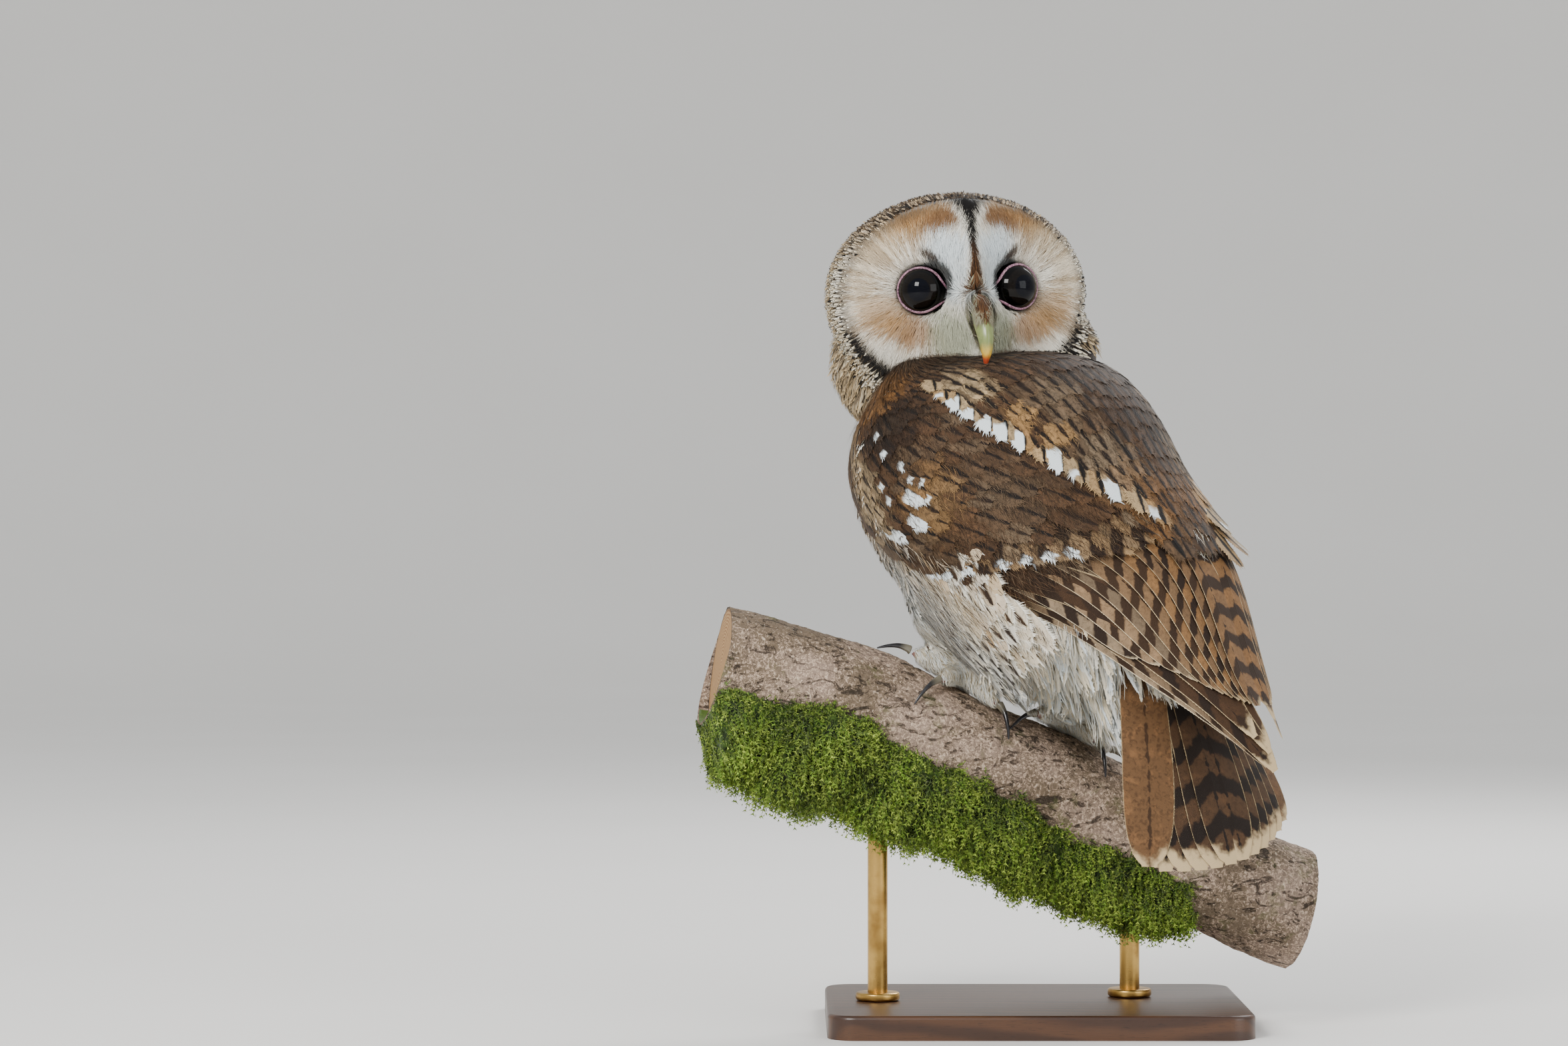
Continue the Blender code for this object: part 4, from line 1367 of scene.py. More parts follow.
# ================================ markings ======================================================
@dataclass(frozen=True)
class Patch:
    """A soft patch of colour on a chart: its middle, reach each way, dye, strength and turn."""

    x: float
    y: float
    wide: float
    high: float
    dye: Dye
    strength: float = 1.0
    turn: float = 0.0

    def over(self, colour: Array, x: Array, y: Array, chance: Array) -> Array:
        """The colours with this patch laid over them.

        Args:
            colour: the colours so far.
            x: first place on the chart.
            y: second place on the chart.
            chance: a number from 0 to 1 for each, that breaks up the patch's edge.

        Returns:
            The new colours.
        """
        angle = math.radians(self.turn)
        dx, dy = x - self.x, y - self.y
        a = (dx * math.cos(angle) + dy * math.sin(angle)) / self.wide
        b = (dy * math.cos(angle) - dx * math.sin(angle)) / self.high
        reach = 1.0 - step(0.55, 1.25, np.hypot(a, b) + (chance - 0.5) * 0.5)
        return blend(colour, self.dye.rgb, reach * self.strength)


class FaceMarks:
    """The colours of the facial disc, in mm from the middle of the face."""

    patches: tuple[Patch, ...] = (
        Patch(24, 32, 21, 10, Dye.BUFF, 0.9, -14),
        Patch(16, 31, 11, 7, Dye.RUST, 0.8, -20),
        Patch(32, 33, 13, 6, Dye.OCHRE, 0.7, -22),
        Patch(40, 22, 10, 10, Dye.SAND, 0.5),
        Patch(30, -15, 15, 7, Dye.OCHRE, 0.75, 14),
        Patch(40, -8, 13, 9, Dye.BUFF, 0.7, 10),
        Patch(48, 8, 7, 12, Dye.SAND, 0.45),
        Patch(13, 17, 11, 8, Dye.ICE, 1.0, 35),
        Patch(9, 4, 6, 9, Dye.ICE, 0.85),
        Patch(38, -29, 13, 8, Dye.WHITE, 0.95, 25),
        Patch(11, -19, 11, 13, Dye.SAGE, 0.8, -10),
        Patch(13, -30, 14, 3.4, Dye.RUST, 0.75, 10),
        Patch(20.5, 16.2, 5.5, 1.6, Dye.PEAT, 0.95, 29),
        Patch(7.0, 35, 3.0, 8, Dye.WHITE, 0.9, -24),
    )
    stripe: Table = ((-6, 1.4), (4, 2.6), (14, 3.7), (24, 3.9), (32, 5.0),
                     (38, 9.0), (42, 14.0), (46, 20.0), (52, 30.0))
    radii: tuple[float, float] = (60.0, 47.0)
    top_drop: float = 0.085

    def colour(self, x: Array, y: Array, chance: Array) -> Array:
        """The disc's colour at places on the face, with the ruff's painted shadow.

        Args:
            x: mm to the viewer's right.
            y: mm up.
            chance: a number from 0 to 1 for each, that breaks the patches up.

        Returns:
            Linear colours.
        """
        x = x - 1.6 * step(-5.0, 35.0, y)
        side = np.abs(x)
        colour = np.tile(Dye.WHITE.rgb, (len(x), 1))
        turn = np.arctan2(y - Bird.eye_height, side - Bird.eye_spread)
        rays = 0.5 + 0.5 * np.sin(turn * 31.0 + 4.0 * np.sin(turn * 7.0 + np.sign(x)) + chance * 2.2)
        far = np.hypot(side - Bird.eye_spread, y)
        outer = step(11.0, 20.0, far) * step(-8.0, 18.0, side - 14.0)
        colour = blend(colour, Dye.BUFF.rgb, 0.62 * rays ** 1.5 * outer)
        for patch in self.patches:
            colour = patch.over(colour, side, y, chance)
        low_white = step(-12.0, -24.0, y) * step(20.0, 34.0, side)
        grain = (rays - 0.5) * 0.35 * outer * (1.0 - low_white)
        colour = colour * (1.0 - grain[:, None])
        # dark line round the inner and upper lid
        inward = np.cos(turn - math.radians(148.0))
        line = (1.0 - step(12.6, 14.2, np.hypot(side - Bird.eye_spread, y - Bird.eye_height)))
        colour = blend(colour, Dye.SOOT.rgb, 0.92 * line * step(0.45, 0.8, inward))
        # painted shadow of the ruff: a dusky line just inside it; black below
        share = np.hypot(x / self.radii[0], y / self.radii[1]) + (chance - 0.5) * 0.03
        ring = step(0.88, 0.93, share + self.top_drop * step(12.0, 38.0, y)) * step(8.0, 26.0, side)
        colour = blend(colour, Dye.DRAB.rgb, 0.65 * ring)
        colour = blend(colour, Dye.SOOT.rgb, 0.95 * step(0.91, 0.95, share) * step(-12.0, -20.0, y))
        half = between(self.stripe, y)[..., 0]
        stripe = 1.0 - step(0.75, 1.25, side / half + (chance - 0.5) * 0.5)
        stripe *= step(-12.0, -6.0, y)
        warm = blend(Dye.RUST.rgb, Dye.UMBER.rgb, 0.2 + 0.8 * chance)
        warm = blend(warm, Dye.SOOT.rgb, step(10.0, 22.0, y))
        return blend(colour, warm, stripe)


@dataclass
class BodyMarks:
    """The colours and marks of the body's feathers, by their place on the bird.

    The patches' places are mm along the body's axis and degrees from the back's midline.
    """

    rng: np.random.Generator
    upper_depth: float = 0.86
    upper: tuple[Patch, ...] = (
        Patch(20, 6, 62, 16, Dye.PEAT, 0.55),
        # painted shade under the head: the dark umber patch at the top of the mantle
        Patch(78, 0, 12, 70, Dye.UMBER, 0.6),
        Patch(38, 88, 22, 20, Dye.UMBER, 0.8),
        Patch(58, 96, 10, 30, Dye.OCHRE, 0.45),
        Patch(24, 116, 26, 9, Dye.SAND, 0.5),
        Patch(-8, 88, 16, 14, Dye.BUFF, 0.35),
        Patch(-30, 64, 20, 16, Dye.DRAB, 0.4),
        Patch(37, 50, 8, 8, Dye.SAND, 0.5),
        Patch(22, 49, 7, 6, Dye.SAND, 0.5),
        Patch(4, 45, 9, 7, Dye.BUFF, 0.75),
        Patch(-14, 37, 9, 7, Dye.BUFF, 0.7),
        Patch(-34, 24, 22, 12, Dye.ASH, 0.7),
        Patch(6, 28, 16, 9, Dye.ASH, 0.5),
        Patch(-60, 14, 24, 14, Dye.OCHRE, 0.3),
    )
    lower: tuple[Patch, ...] = (
        Patch(30, 128, 40, 22, Dye.BUFF, 0.6),
        Patch(-30, 118, 26, 22, Dye.BUFF, 0.65),
        Patch(-18, 140, 30, 14, Dye.ICE, 0.7),
        Patch(-58, 102, 24, 18, Dye.CREAM, 0.95),
        Patch(-66, 112, 10, 8, Dye.BUFF, 0.4),
        Patch(-112, 150, 34, 70, Dye.WHITE, 0.9),
    )
    white_coverts: Table = ((34, 96, 0.5), (21, 103, 0.5), (15.5, 91, 0.5), (-5, 96, 1.0), (4, 84, 0.5))
    white_greater: Table = ((-31, 99, 1.0), (-36, 95, 1.0), (-34, 84, 1.0), (-45, 91, 1.0), (-51, 75, 0.5),
                            (-58, 66, 0.5), (-67, 58, 0.5), (-71, 48, 0.5))
    white_scapulars: Table = ((41, 60, 0.5), (32, 61, 1.0), (23, 60, 1.0), (14, 57, 1.0), (3, 55, 1.0),
                              (-9, 51, 1.0), (-24, 44, 1.0), (-31, 40, 0.5), (-51, 30, 1.0), (-68, 20, 0.5))

    def tuned(self, count: int, *dyes: Dye, share: Array | None = None) -> Array:
        """A colour for each feather from along a row of dyes, at its share or drawn by chance."""
        place = (self.rng.random(count) if share is None else share) * (len(dyes) - 1)
        low = np.minimum(place.astype(int), len(dyes) - 2)
        table = np.array([d.rgb for d in dyes])
        return blend(table[low], table[low + 1], place - low)

    def ground(self, s: Array, degrees: Array) -> Array:
        """The ground colour of the upper parts' feathers at places on the chart, with painted shade under the
        head.

        Args:
            s: places along the axis.
            degrees: angles from the back's midline.

        Returns:
            Linear colours.
        """
        chance = self.rng.random(len(s))
        chart = np.stack((s, np.abs(degrees), np.sign(degrees) * 9.0), axis=1) * MM
        share = np.clip(0.5 + 0.45 * wander(chart, 85.0, 5.0) + self.rng.normal(0, 0.10, len(s)), 0.0, 0.999)
        colour = self.tuned(len(s), Dye.RUST, Dye.TAWNY, Dye.PEAT, Dye.DRAB, Dye.ASH, share=share)
        colour = blend(colour, Dye.TAWNY.rgb, 0.45) * self.upper_depth
        for patch in self.upper:
            colour = patch.over(colour, s, np.abs(degrees), chance)
        return colour

    def webs(self, s: Array, degrees: Array, wanted: Table, reach: float = 10.0) -> Array:
        """Which feathers have a pale web: those whose ends lie nearest to the wanted places.

        Args:
            s: places of the tips along the axis.
            degrees: their angles.
            wanted: rows of place, angle and strength, 1 for a web pale to its tip, 0.5 for a spot.
            reach: how far a feather may be from the place, in mm.

        Returns:
            The pale web of each feather: 0 or 1 for the front web, 0.5 for none.
        """
        front = np.where(degrees > 0, -1.0, 1.0)
        web = np.full(len(s), 0.5)
        for place, angle, strength in wanted:
            for sign in (1.0, -1.0):
                away = np.hypot(s + 4.0 - place, (degrees * sign - angle) * 1.3)
                nearest = int(np.argmin(away))
                if away[nearest] < reach:
                    web[nearest] = 0.5 + 0.5 * strength * front[nearest]
        return web

    def mantle(self, s: Array, degrees: Array) -> Dyes:
        """Brown feathers with dark shaft streaks and mottled sides."""
        count = len(s)
        mark = blend(Dye.UMBER.rgb, Dye.SOOT.rgb, self.rng.random(count))
        return Dyes.of(self.rng, count, self.ground(s, degrees), mark, Dye.ICE.rgb,
                       mottle=self.rng.uniform(0.75, 1.0, count), streak=self.rng.uniform(0.14, 0.34, count))

    def scapular(self, s: Array, degrees: Array) -> Dyes:
        """The edge row of the scapulars, with white outer webs and black-barred cream inner ones.

        Args:
            s: places along the axis.
            degrees: angles from the back's midline.

        Returns:
            Their colours and marks.
        """
        count = len(s)
        web = self.webs(s, degrees, self.white_scapulars)
        tone = blend(self.ground(s, degrees), self.tuned(count, Dye.SAND, Dye.BUFF), 0.7)
        return Dyes.of(self.rng, count, tone, Dye.SOOT.rgb, Dye.ICE.rgb, mottle=0.7,
                       streak=self.rng.uniform(0.16, 0.3, count), web=web)

    def covert(self, s: Array, degrees: Array) -> Dyes:
        """Wing coverts: dark shafts, mottled sides and here and there a pale web."""
        dyes = self.mantle(s, degrees)
        dyes.plan[:, 2] = self.webs(s, degrees, self.white_coverts)
        dyes.mark[:, 3] *= 0.75
        return dyes

    def greater(self, s: Array, degrees: Array) -> Dyes:
        """Greater coverts: barred, with a white spot on the outer web.

        Args:
            s: places along the axis.
            degrees: angles from the back's midline.

        Returns:
            Their colours and marks.
        """
        count = len(s)
        tone = blend(self.tuned(count, Dye.ASH, Dye.BUFF), Dye.DRAB.rgb, 0.45)
        return Dyes.of(self.rng, count, tone, Dye.UMBER.rgb, Dye.ICE.rgb, mottle=0.6, streak=0.06,
                       bars=self.rng.uniform(0.12, 0.15, count),
                       web=self.webs(s, degrees, self.white_greater))

    def flight(self, count: int, bars: Array, pale: Array) -> Dyes:
        """Secondaries and primaries: dark bars on brown, with cream edges.

        Args:
            count: how many feathers.
            bars: the bars' spacing along each.
            pale: how far each turns to cream.

        Returns:
            Their colours and marks.
        """
        tone = blend(self.tuned(count, Dye.DRAB, Dye.OCHRE), Dye.TAWNY.rgb, 0.45)
        tone = blend(tone, Dye.CREAM.rgb, pale)
        edge = blend(Dye.SAND.rgb, Dye.CREAM.rgb, np.minimum(pale * 3.0, 1.0))
        return Dyes.of(self.rng, count, tone, blend(Dye.UMBER.rgb, Dye.PEAT.rgb, self.rng.random(count)),
                       edge, mottle=0.5, edge=0.075, bars=bars, tip=0.012)

    def under(self, s: Array, degrees: Array) -> Dyes:
        """Breast, flank and belly: cream and buff with dark streaks that thin out to the rear.

        Args:
            s: places along the axis.
            degrees: angles from the back's midline.

        Returns:
            Their colours and marks.
        """
        count = len(s)
        rear = step(-66.0, -92.0, s)
        calm = np.exp(-((s + 58.0) / 22.0) ** 2 - ((np.abs(degrees) - 100.0) / 16.0) ** 2)
        tone = self.tuned(count, Dye.SAND, Dye.CREAM, Dye.ICE)
        chance = self.rng.random(count)
        for patch in self.lower:
            tone = patch.over(tone, s, np.abs(degrees), chance)
        plain = self.rng.random(count) < 0.12 + 0.7 * np.maximum(rear, calm)
        streak = np.where(plain, 0.0, self.rng.uniform(0.2, 0.5, count))
        bars = np.where(self.rng.random(count) < 0.45 * (1 - rear) * (1 - calm), 0.08, 0.0)
        mark = blend(Dye.PEAT.rgb, Dye.SOOT.rgb, self.rng.random(count))
        return Dyes.of(self.rng, count, tone, mark, Dye.WHITE.rgb, mottle=0.35 * (1 - rear), streak=streak,
                       edge=0.1, bars=bars)

    def flank(self, s: Array, degrees: Array) -> Dyes:
        """Flank feathers: cream and buff with long dark streaks, ice-white at the front edge.

        Args:
            s: places along the axis.
            degrees: angles from the back's midline.

        Returns:
            Their colours and marks.
        """
        count = len(s)
        front = step(112.0, 126.0, degrees)
        tone = blend(self.tuned(count, Dye.CREAM, Dye.WHITE, Dye.SAND), Dye.BUFF.rgb,
                     self.rng.choice((0.0, 0.2, 0.5), count, p=(0.5, 0.3, 0.2)))
        tone = blend(tone, Dye.ICE.rgb, 0.6 * front * (self.rng.random(count) < 0.7))
        mark = blend(self.tuned(count, Dye.PEAT, Dye.UMBER), Dye.SOOT.rgb, 0.6 * front)
        streaked = self.rng.random(count) < 0.35 + 0.5 * front - 0.25 * step(-84.0, -98.0, s)
        return Dyes.of(self.rng, count, tone, mark, Dye.WHITE.rgb, mottle=0.3, edge=0.08,
                       streak=np.where(streaked, self.rng.uniform(0.2, 0.5, count), 0.0),
                       bars=np.where(self.rng.random(count) < 0.35 * front, 0.09, 0.0))

    def crown(self, top: Array, back: Array) -> Dyes:
        """Crown, nape and sides of the head: streaked brown, buff and white, darker towards the crown, partly
        its own colour and partly painted shade.

        Args:
            top: how near each is to the top of the head.
            back: how near each is to the nape.

        Returns:
            Their colours and marks.
        """
        count = len(top)
        tone = self.tuned(count, Dye.DRAB, Dye.SAND, Dye.ASH, Dye.CREAM)
        # darker towards the crown: partly the crown's own dark brown, partly painted shade
        tone = blend(tone, blend(Dye.TAWNY.rgb, Dye.PEAT.rgb, 0.7), 0.85 * top)
        tone = blend(tone, Dye.DRAB.rgb, 0.35 * back)
        mark = blend(Dye.UMBER.rgb, Dye.SOOT.rgb, top)
        streak = self.rng.uniform(0.0, 0.45, count) * (0.5 + 0.8 * top)
        return Dyes.of(self.rng, count, tone, mark, Dye.SAND.rgb, mottle=0.6, streak=streak * 0.8,
                       edge=0.1 * (1.0 - top), tip=np.where(self.rng.random(count) < 0.25, 0.12, 0.0),
                       bars=np.where(self.rng.random(count) < 0.3, 0.08, 0.0))


# ================================ skin ==========================================================
@dataclass
class Skin:
    """The bird's skin: one smooth surface, inside the solids of flesh by the coat's depth."""

    bird: Bird
    voxel: float = 2.4 * MM
    brow_voxel: float = 1.3 * MM
    depth: float = 3.4 * MM
    face_depth: float = 1.5 * MM
    foot_depth: float = 0.8 * MM

    def __post_init__(self) -> None:
        """Builds the outer form that feathers follow, and the finer one of brow and bill."""
        self.flesh = [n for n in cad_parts
                      if n in ("head", "facial_disc", "neck", "trunk", "undertail")
                      or n.startswith(("leg_", "toe_")) or n.endswith("_coverts")]
        self.outer = self.melted("outer_form", self.flesh, self.voxel, 8)
        self.form = Form(self.outer)
        brow = self.melted("brow_form", ("head", "facial_disc", "bill_upper"), self.brow_voxel, 6)
        self.brow = Form(brow)
        bpy.data.objects.remove(brow)

    def melted(self, name: str, nodes: Sequence[str], voxel: float, smooth: int) -> Object:
        """Copies of several nodes run together into one smooth skin."""
        obj = modify(copy_of(name, nodes), "REMESH", mode="VOXEL", voxel_size=voxel)
        return modify(obj, "SMOOTH", factor=0.5, iterations=smooth)

    def depths(self, points: Array) -> Array:
        """How deep the skin lies under the coat at each place.

        Args:
            points: the places.

        Returns:
            Depths in metres.
        """
        _, y, z = self.bird.on_face(points)
        near_face = step(-20.0, 5.0, z) * step(-78.0, -60.0, y)
        feet = 1.0 - step(0.196, 0.215, points[:, 2])
        deep = self.depth + (self.face_depth - self.depth) * near_face
        return deep + (self.foot_depth - deep) * feet

    def build(self, material: Material, colour: Callable[[Array], Array]) -> None:
        """Shrinks, unwraps and dyes the skin, dresses it and ties it to the frame in place of the nodes of
        flesh.

        Args:
            material: its finish.
            colour: gives the colour of the coat over each place.
        """
        obj = self.outer
        obj.name = obj.data.name = "skin"
        co = read(obj)
        move_to(obj, co - read(obj, "normal") * self.depths(co)[:, None])
        modify(obj, "SMOOTH", factor=0.5, iterations=3)
        unwrap(obj)
        dye_vertices(obj.data, "tone", colour(co))
        layer = np.empty(len(obj.data.loops) * 2)
        obj.data.uv_layers["OFBake"].uv.foreach_get("vector", layer)
        layer = layer.reshape(-1, 2)
        self.map_places = np.array([layer[list(p.loop_indices)].mean(axis=0) for p in obj.data.polygons])
        self.surface = Form(obj)
        obj.data.shade_smooth()
        hand_in(obj, material, self.flesh)

    def place_on_map(self, points: Array) -> Array:
        """Where the skin under each place lies on the skin's unwrap."""
        return self.map_places[self.surface.settle(points)[2]]


# ================================ the coat of the head ==========================================
@dataclass
class HeadCoat:
    """Facial disc, lores, ruff, crown and nape; sizes in mm."""

    bird: Bird
    skin: Skin
    marks: BodyMarks
    rng: Chance
    face_marks: FaceMarks = field(default_factory=FaceMarks)
    barb_gap: float = 0.56
    lore_bristles: int = 3000
    bridge_tufts: int = 1700
    ruff_rings: tuple[float, ...] = (0.94, 0.972, 1.004, 1.036, 1.068, 1.10)
    ruff_pitch: float = 1.25
    ruff_radius: float = 53.0
    ruff_vane: Vane = Vane(rows=6, columns=3, blunt=1.7, camber=0.2, fringe=0.9, ragged=0.05, barbs=2)
    crown_vane: Vane = Vane(rows=6, columns=3, blunt=2.2, camber=0.3, fringe=1.0, ragged=0.05, barbs=1)
    crown_gap: float = 1.7
    nape_barbs: int = 2

    def disc_share(self, x: Array, y: Array) -> Array:
        """How far out a place is on the disc, 1 at its outline."""
        return np.hypot(x / self.face_marks.radii[0], y / self.face_marks.radii[1])

    def top_drop(self, y: Array) -> Array:
        """How much lower the disc's outline lies at its top, as a share."""
        return self.face_marks.top_drop * step(12.0, 38.0, y)

    def eye_away(self, x: Array, y: Array) -> Array:
        """Distance from the nearer eye's middle, in mm."""
        return np.hypot(np.abs(x) - self.bird.eye_spread, y - self.bird.eye_height)

    def across_face(self, x: Array, y: Array) -> Array:
        """Directions in the face's plane."""
        return self.bird.right * x[:, None] + self.bird.up * y[:, None]

    def disc_flow(self, x: Array, y: Array) -> Array:
        """Directions of the disc's feathers: out from each eye, and out from beside the bill.

        Args:
            x: mm to the viewer's right.
            y: mm up.

        Returns:
            The directions.
        """
        side = np.abs(x)
        fx, fy = side - self.bird.eye_spread, y - self.bird.eye_height
        size = np.maximum(np.hypot(fx, fy), 1.0)
        lx, ly = side - 5.0, y + 1.0
        far = np.maximum(np.hypot(lx, ly), 1.0)
        pull = 2.4 * np.exp(-(far / 17.0) ** 2) + 1.2 * np.exp(-(side / 9.0) ** 2)
        fx, fy = fx / size + pull * np.abs(lx) / far, fy / size + pull * ly / far
        return self.across_face(fx * np.where(x < 0, -1.0, 1.0), fy)

    def disc(self, coat: Coat) -> None:
        """Adds the fine radial feathers of the facial disc.

        Args:
            coat: the piece that they join.
        """
        def spacing(p: Array) -> Array:
            """The gap in mm between roots of feathers."""
            x, y, z = self.bird.on_face(p)
            near = self.eye_away(x, y)
            inside = (z > 4.0) & (self.disc_share(x, y) < 0.985 - self.top_drop(y)) & (near > 11.4)
            return np.where(inside, np.where(near < 18.0, 0.88, 1.0) * self.barb_gap, 0.0)

        rng, roots = self.rng, self.skin.form.scatter(spacing, self.rng)
        x, y, _ = self.bird.on_face(roots)
        count = len(roots)
        length = 3.2 + 5.0 * step(12.0, 24.0, self.eye_away(x, y)) + rng.normal(0, 0.9, count)
        length = np.maximum(length, 2.2) * MM
        ahead = self.disc_flow(x, y) + rng.normal(0, 0.13, (count, 3))
        rise = heights(rng, count, (-0.5, 0.35, 0.5), 0.5, 1.5)
        tone = self.face_marks.colour(x, y, rng.random(count)) * rng.uniform(0.86, 1.06, (count, 1))
        dyes = Dyes.of(rng, count, tone, tone * 0.7, tone).calm()
        coat.lay_on(self.skin.form, FINE, roots, ahead, length, rise, rng.normal(0, 0.3, count),
                    rng.uniform(0.13, 0.22, count), dyes)

    def lores(self, coat: Coat) -> None:
        """Adds bristles that sweep from beside the bill, out and down over its base and the disc.

        Args:
            coat: the piece that they join.
        """
        rng, count = self.rng, self.lore_bristles
        side = rng.choice((-1.0, 1.0), count)
        x = side * rng.uniform(2.5, 9.5, count)
        y = 3.5 - 23.5 * rng.random(count) ** 0.8
        outer = step(3.0, 8.0, np.abs(x))
        fan = np.radians(-86.0 + (14.0 + 60.0 * step(-10.0, 9.0, y)) * outer + rng.normal(0, 11.0, count))
        length = rng.uniform(8.0, 17.0, count) * MM
        rise = heights(rng, count, (-0.4, 1.0, 1.6, 1.3), 0.6, 1.4) * (1.8 - 0.8 * outer)[:, None]
        tone = self.marks.tuned(count, Dye.SAGE, Dye.ASH, Dye.CREAM)
        tone = blend(tone, Dye.ICE.rgb, 0.6 * step(-4.0, 4.0, y))
        tone = blend(tone, Dye.SOOT.rgb, (rng.random(count) < 0.25) * 0.8)
        coat.lay_on(self.skin.brow, BRISTLE, self.bird.face(x, y, np.full(count, 46.0)),
                    self.across_face(side * np.cos(fan), np.sin(fan)), length, rise, side * -0.6,
                    rng.uniform(0.09, 0.17, count), Dyes.of(rng, count, tone, tone * 0.5, tone * 0.7))

    def bridge(self, coat: Coat) -> None:
        """Adds short feathers of the stripe between the eyes, down over the base of the bill.

        Args:
            coat: the piece that they join.
        """
        rng, count = self.rng, self.bridge_tufts
        x = rng.normal(0.0, 2.6, count)
        y = rng.uniform(-13.5, 13.0, count) - np.abs(x) * 0.3
        ahead = self.across_face(x * 0.12 + rng.normal(0, 0.15, count), np.full(count, -1.0))
        length = (rng.uniform(3.5, 6.5, count) + 4.5 * step(-9.0, -3.0, y)) * MM
        rise = heights(rng, count, (-0.4, 0.7, 1.0, 0.7), 0.5, 1.3)
        thin = 0.4 + 1.5 * step(-10.0, 4.0, y)
        tone = blend(self.marks.tuned(count, Dye.UMBER, Dye.RUST, Dye.PEAT),
                     self.marks.tuned(count, Dye.SAGE, Dye.ASH, Dye.SAGE), step(thin, thin + 1.0, np.abs(x)))
        coat.lay_on(self.skin.brow, BRISTLE, self.bird.face(x, y, np.full(count, 58.0)), ahead, length, rise,
                    0.0, rng.uniform(0.16, 0.28, count), Dyes.of(rng, count, tone, tone * 0.5, tone))

    def ruff(self, coat: Coat) -> None:
        """Adds rings of small stiff feathers round the disc, cream with black edges.

        Args:
            coat: the piece that they join.
        """
        rng, radii = self.rng, self.face_marks.radii
        for number, share in enumerate(self.ruff_rings):
            reach = self.ruff_radius * share
            around = np.arange(0.0, math.tau * reach, self.ruff_pitch) / reach
            around = around + (0.5 * self.ruff_pitch / self.ruff_radius if number % 2 else 0.0)
            around = around + rng.normal(0, 0.014, len(around))
            reach = share + rng.normal(0, 0.009, len(around))
            reach = reach - self.top_drop(radii[1] * np.sin(around))
            x, y = radii[0] * reach * np.cos(around), radii[1] * reach * np.sin(around)
            open_ = (y > -45.0) & (np.abs(x - 1.6) > between(self.face_marks.stripe, y)[..., 0] * 0.8)
            x, y = x[open_], y[open_]
            count = len(x)
            foot, _, _ = self.skin.form.settle(self.bird.face(x, y, np.full(count, 7.0 - 2.8 * number)))
            ahead = self.across_face(x / radii[0], y / radii[1]) - self.bird.out * 0.45
            top, low = step(10.0, 34.0, y), step(-10.0, -22.0, y)
            tone = blend(self.marks.tuned(count, Dye.CREAM, Dye.WHITE), Dye.BUFF.rgb, top * 0.6)
            black = rng.random(count) < 0.07 + 0.16 * top + (0.8 * low if number < 2 else 0.12 * low)
            tone = np.where(black[:, None], Dye.SOOT.rgb, tone)
            dyes = Dyes.of(rng, count, tone, Dye.SOOT.rgb, Dye.SOOT.rgb, mottle=0.15,
                           edge=rng.uniform(0.04, 0.24, count), tip=0.06).calm()
            length = rng.uniform(3.6, 6.4, count) * MM
            rise = heights(rng, count, np.linspace(-0.6, 1.1, self.ruff_vane.rows), 0.5, 1.3)
            coat.lay_on(self.skin.form, self.ruff_vane, foot, ahead, length, rise, 0.0,
                        rng.uniform(0.35, 0.85, count), dyes)

    def crown_flow(self, points: Array) -> Array:
        """Directions of the feathers behind the face: back over the head and down the nape."""
        x, y, z = self.bird.on_face(points)
        down = step(20.0, -40.0, z) + step(10.0, -40.0, y)
        spread = self.bird.right * (x / 60.0)[:, None] * 0.25
        return unit(-self.bird.out + spread - self.bird.up * (1.3 * down)[:, None])

    def crown(self, coat: Coat) -> None:
        """Adds slim soft feathers of the crown, nape and sides of the head, longer down the neck.

        Args:
            coat: the piece that they join.
        """
        def spacing(p: Array) -> Array:
            """The gap in mm between roots of feathers."""
            x, y, z = self.bird.on_face(p)
            s, _ = self.bird.on_body(p)
            behind = (self.disc_share(x, y) > 1.06 - self.top_drop(y)) | (z < 0.0)
            gap = self.crown_gap * (1.0 + 0.5 * step(0.0, -55.0, y))
            return np.where(behind & (z < 12.0) & (s > 54.0) & (y > -66.0), gap, 0.0)

        rng, form = self.rng, self.skin.form
        roots = form.scatter(spacing, rng, even=True)
        _, y, z = self.bird.on_face(roots)
        count = len(roots)
        low = step(0.0, -55.0, y)
        length = (9.5 + 8.0 * low + rng.normal(0, 1.3, count)) * MM
        rise = heights(rng, count, np.linspace(-1.8, 0.9, self.crown_vane.rows), 0.6, 1.5)
        ahead = self.crown_flow(roots) + rng.normal(0, 0.16, (count, 3))
        bend = rng.normal(0, 0.25, count)
        dyes = self.marks.crown(step(8.0, 40.0, y + rng.normal(0, 4.0, count)), step(-10.0, -50.0, z))
        coat.lay_on(form, self.crown_vane, roots, ahead, length, rise, bend,
                    rng.uniform(0.5, 0.95, count) * (1.0 + 0.3 * low), dyes)
        # loose barbs over them
        pick = np.repeat(np.arange(count), self.nape_barbs)
        count = len(pick)
        ahead = ahead[pick] + rng.normal(0, 0.2, (count, 3))
        length = length[pick] * rng.uniform(0.6, 1.1, count)
        rise = heights(rng, count, (0.1, 0.9, 1.2), 0.6, 1.6)
        near = roots[pick] + rng.normal(0, 1.2 * MM, (count, 3))
        bend = rng.normal(0, 0.3, count)
        tone = dyes.tone[pick, :3] * rng.choice((0.35, 0.8, 1.3), count)[:, None]
        coat.lay_on(form, FINE, near, ahead, length, rise, bend, rng.uniform(0.08, 0.18, count),
                    Dyes.of(rng, count, np.minimum(tone, 0.85), tone * 0.5, tone))

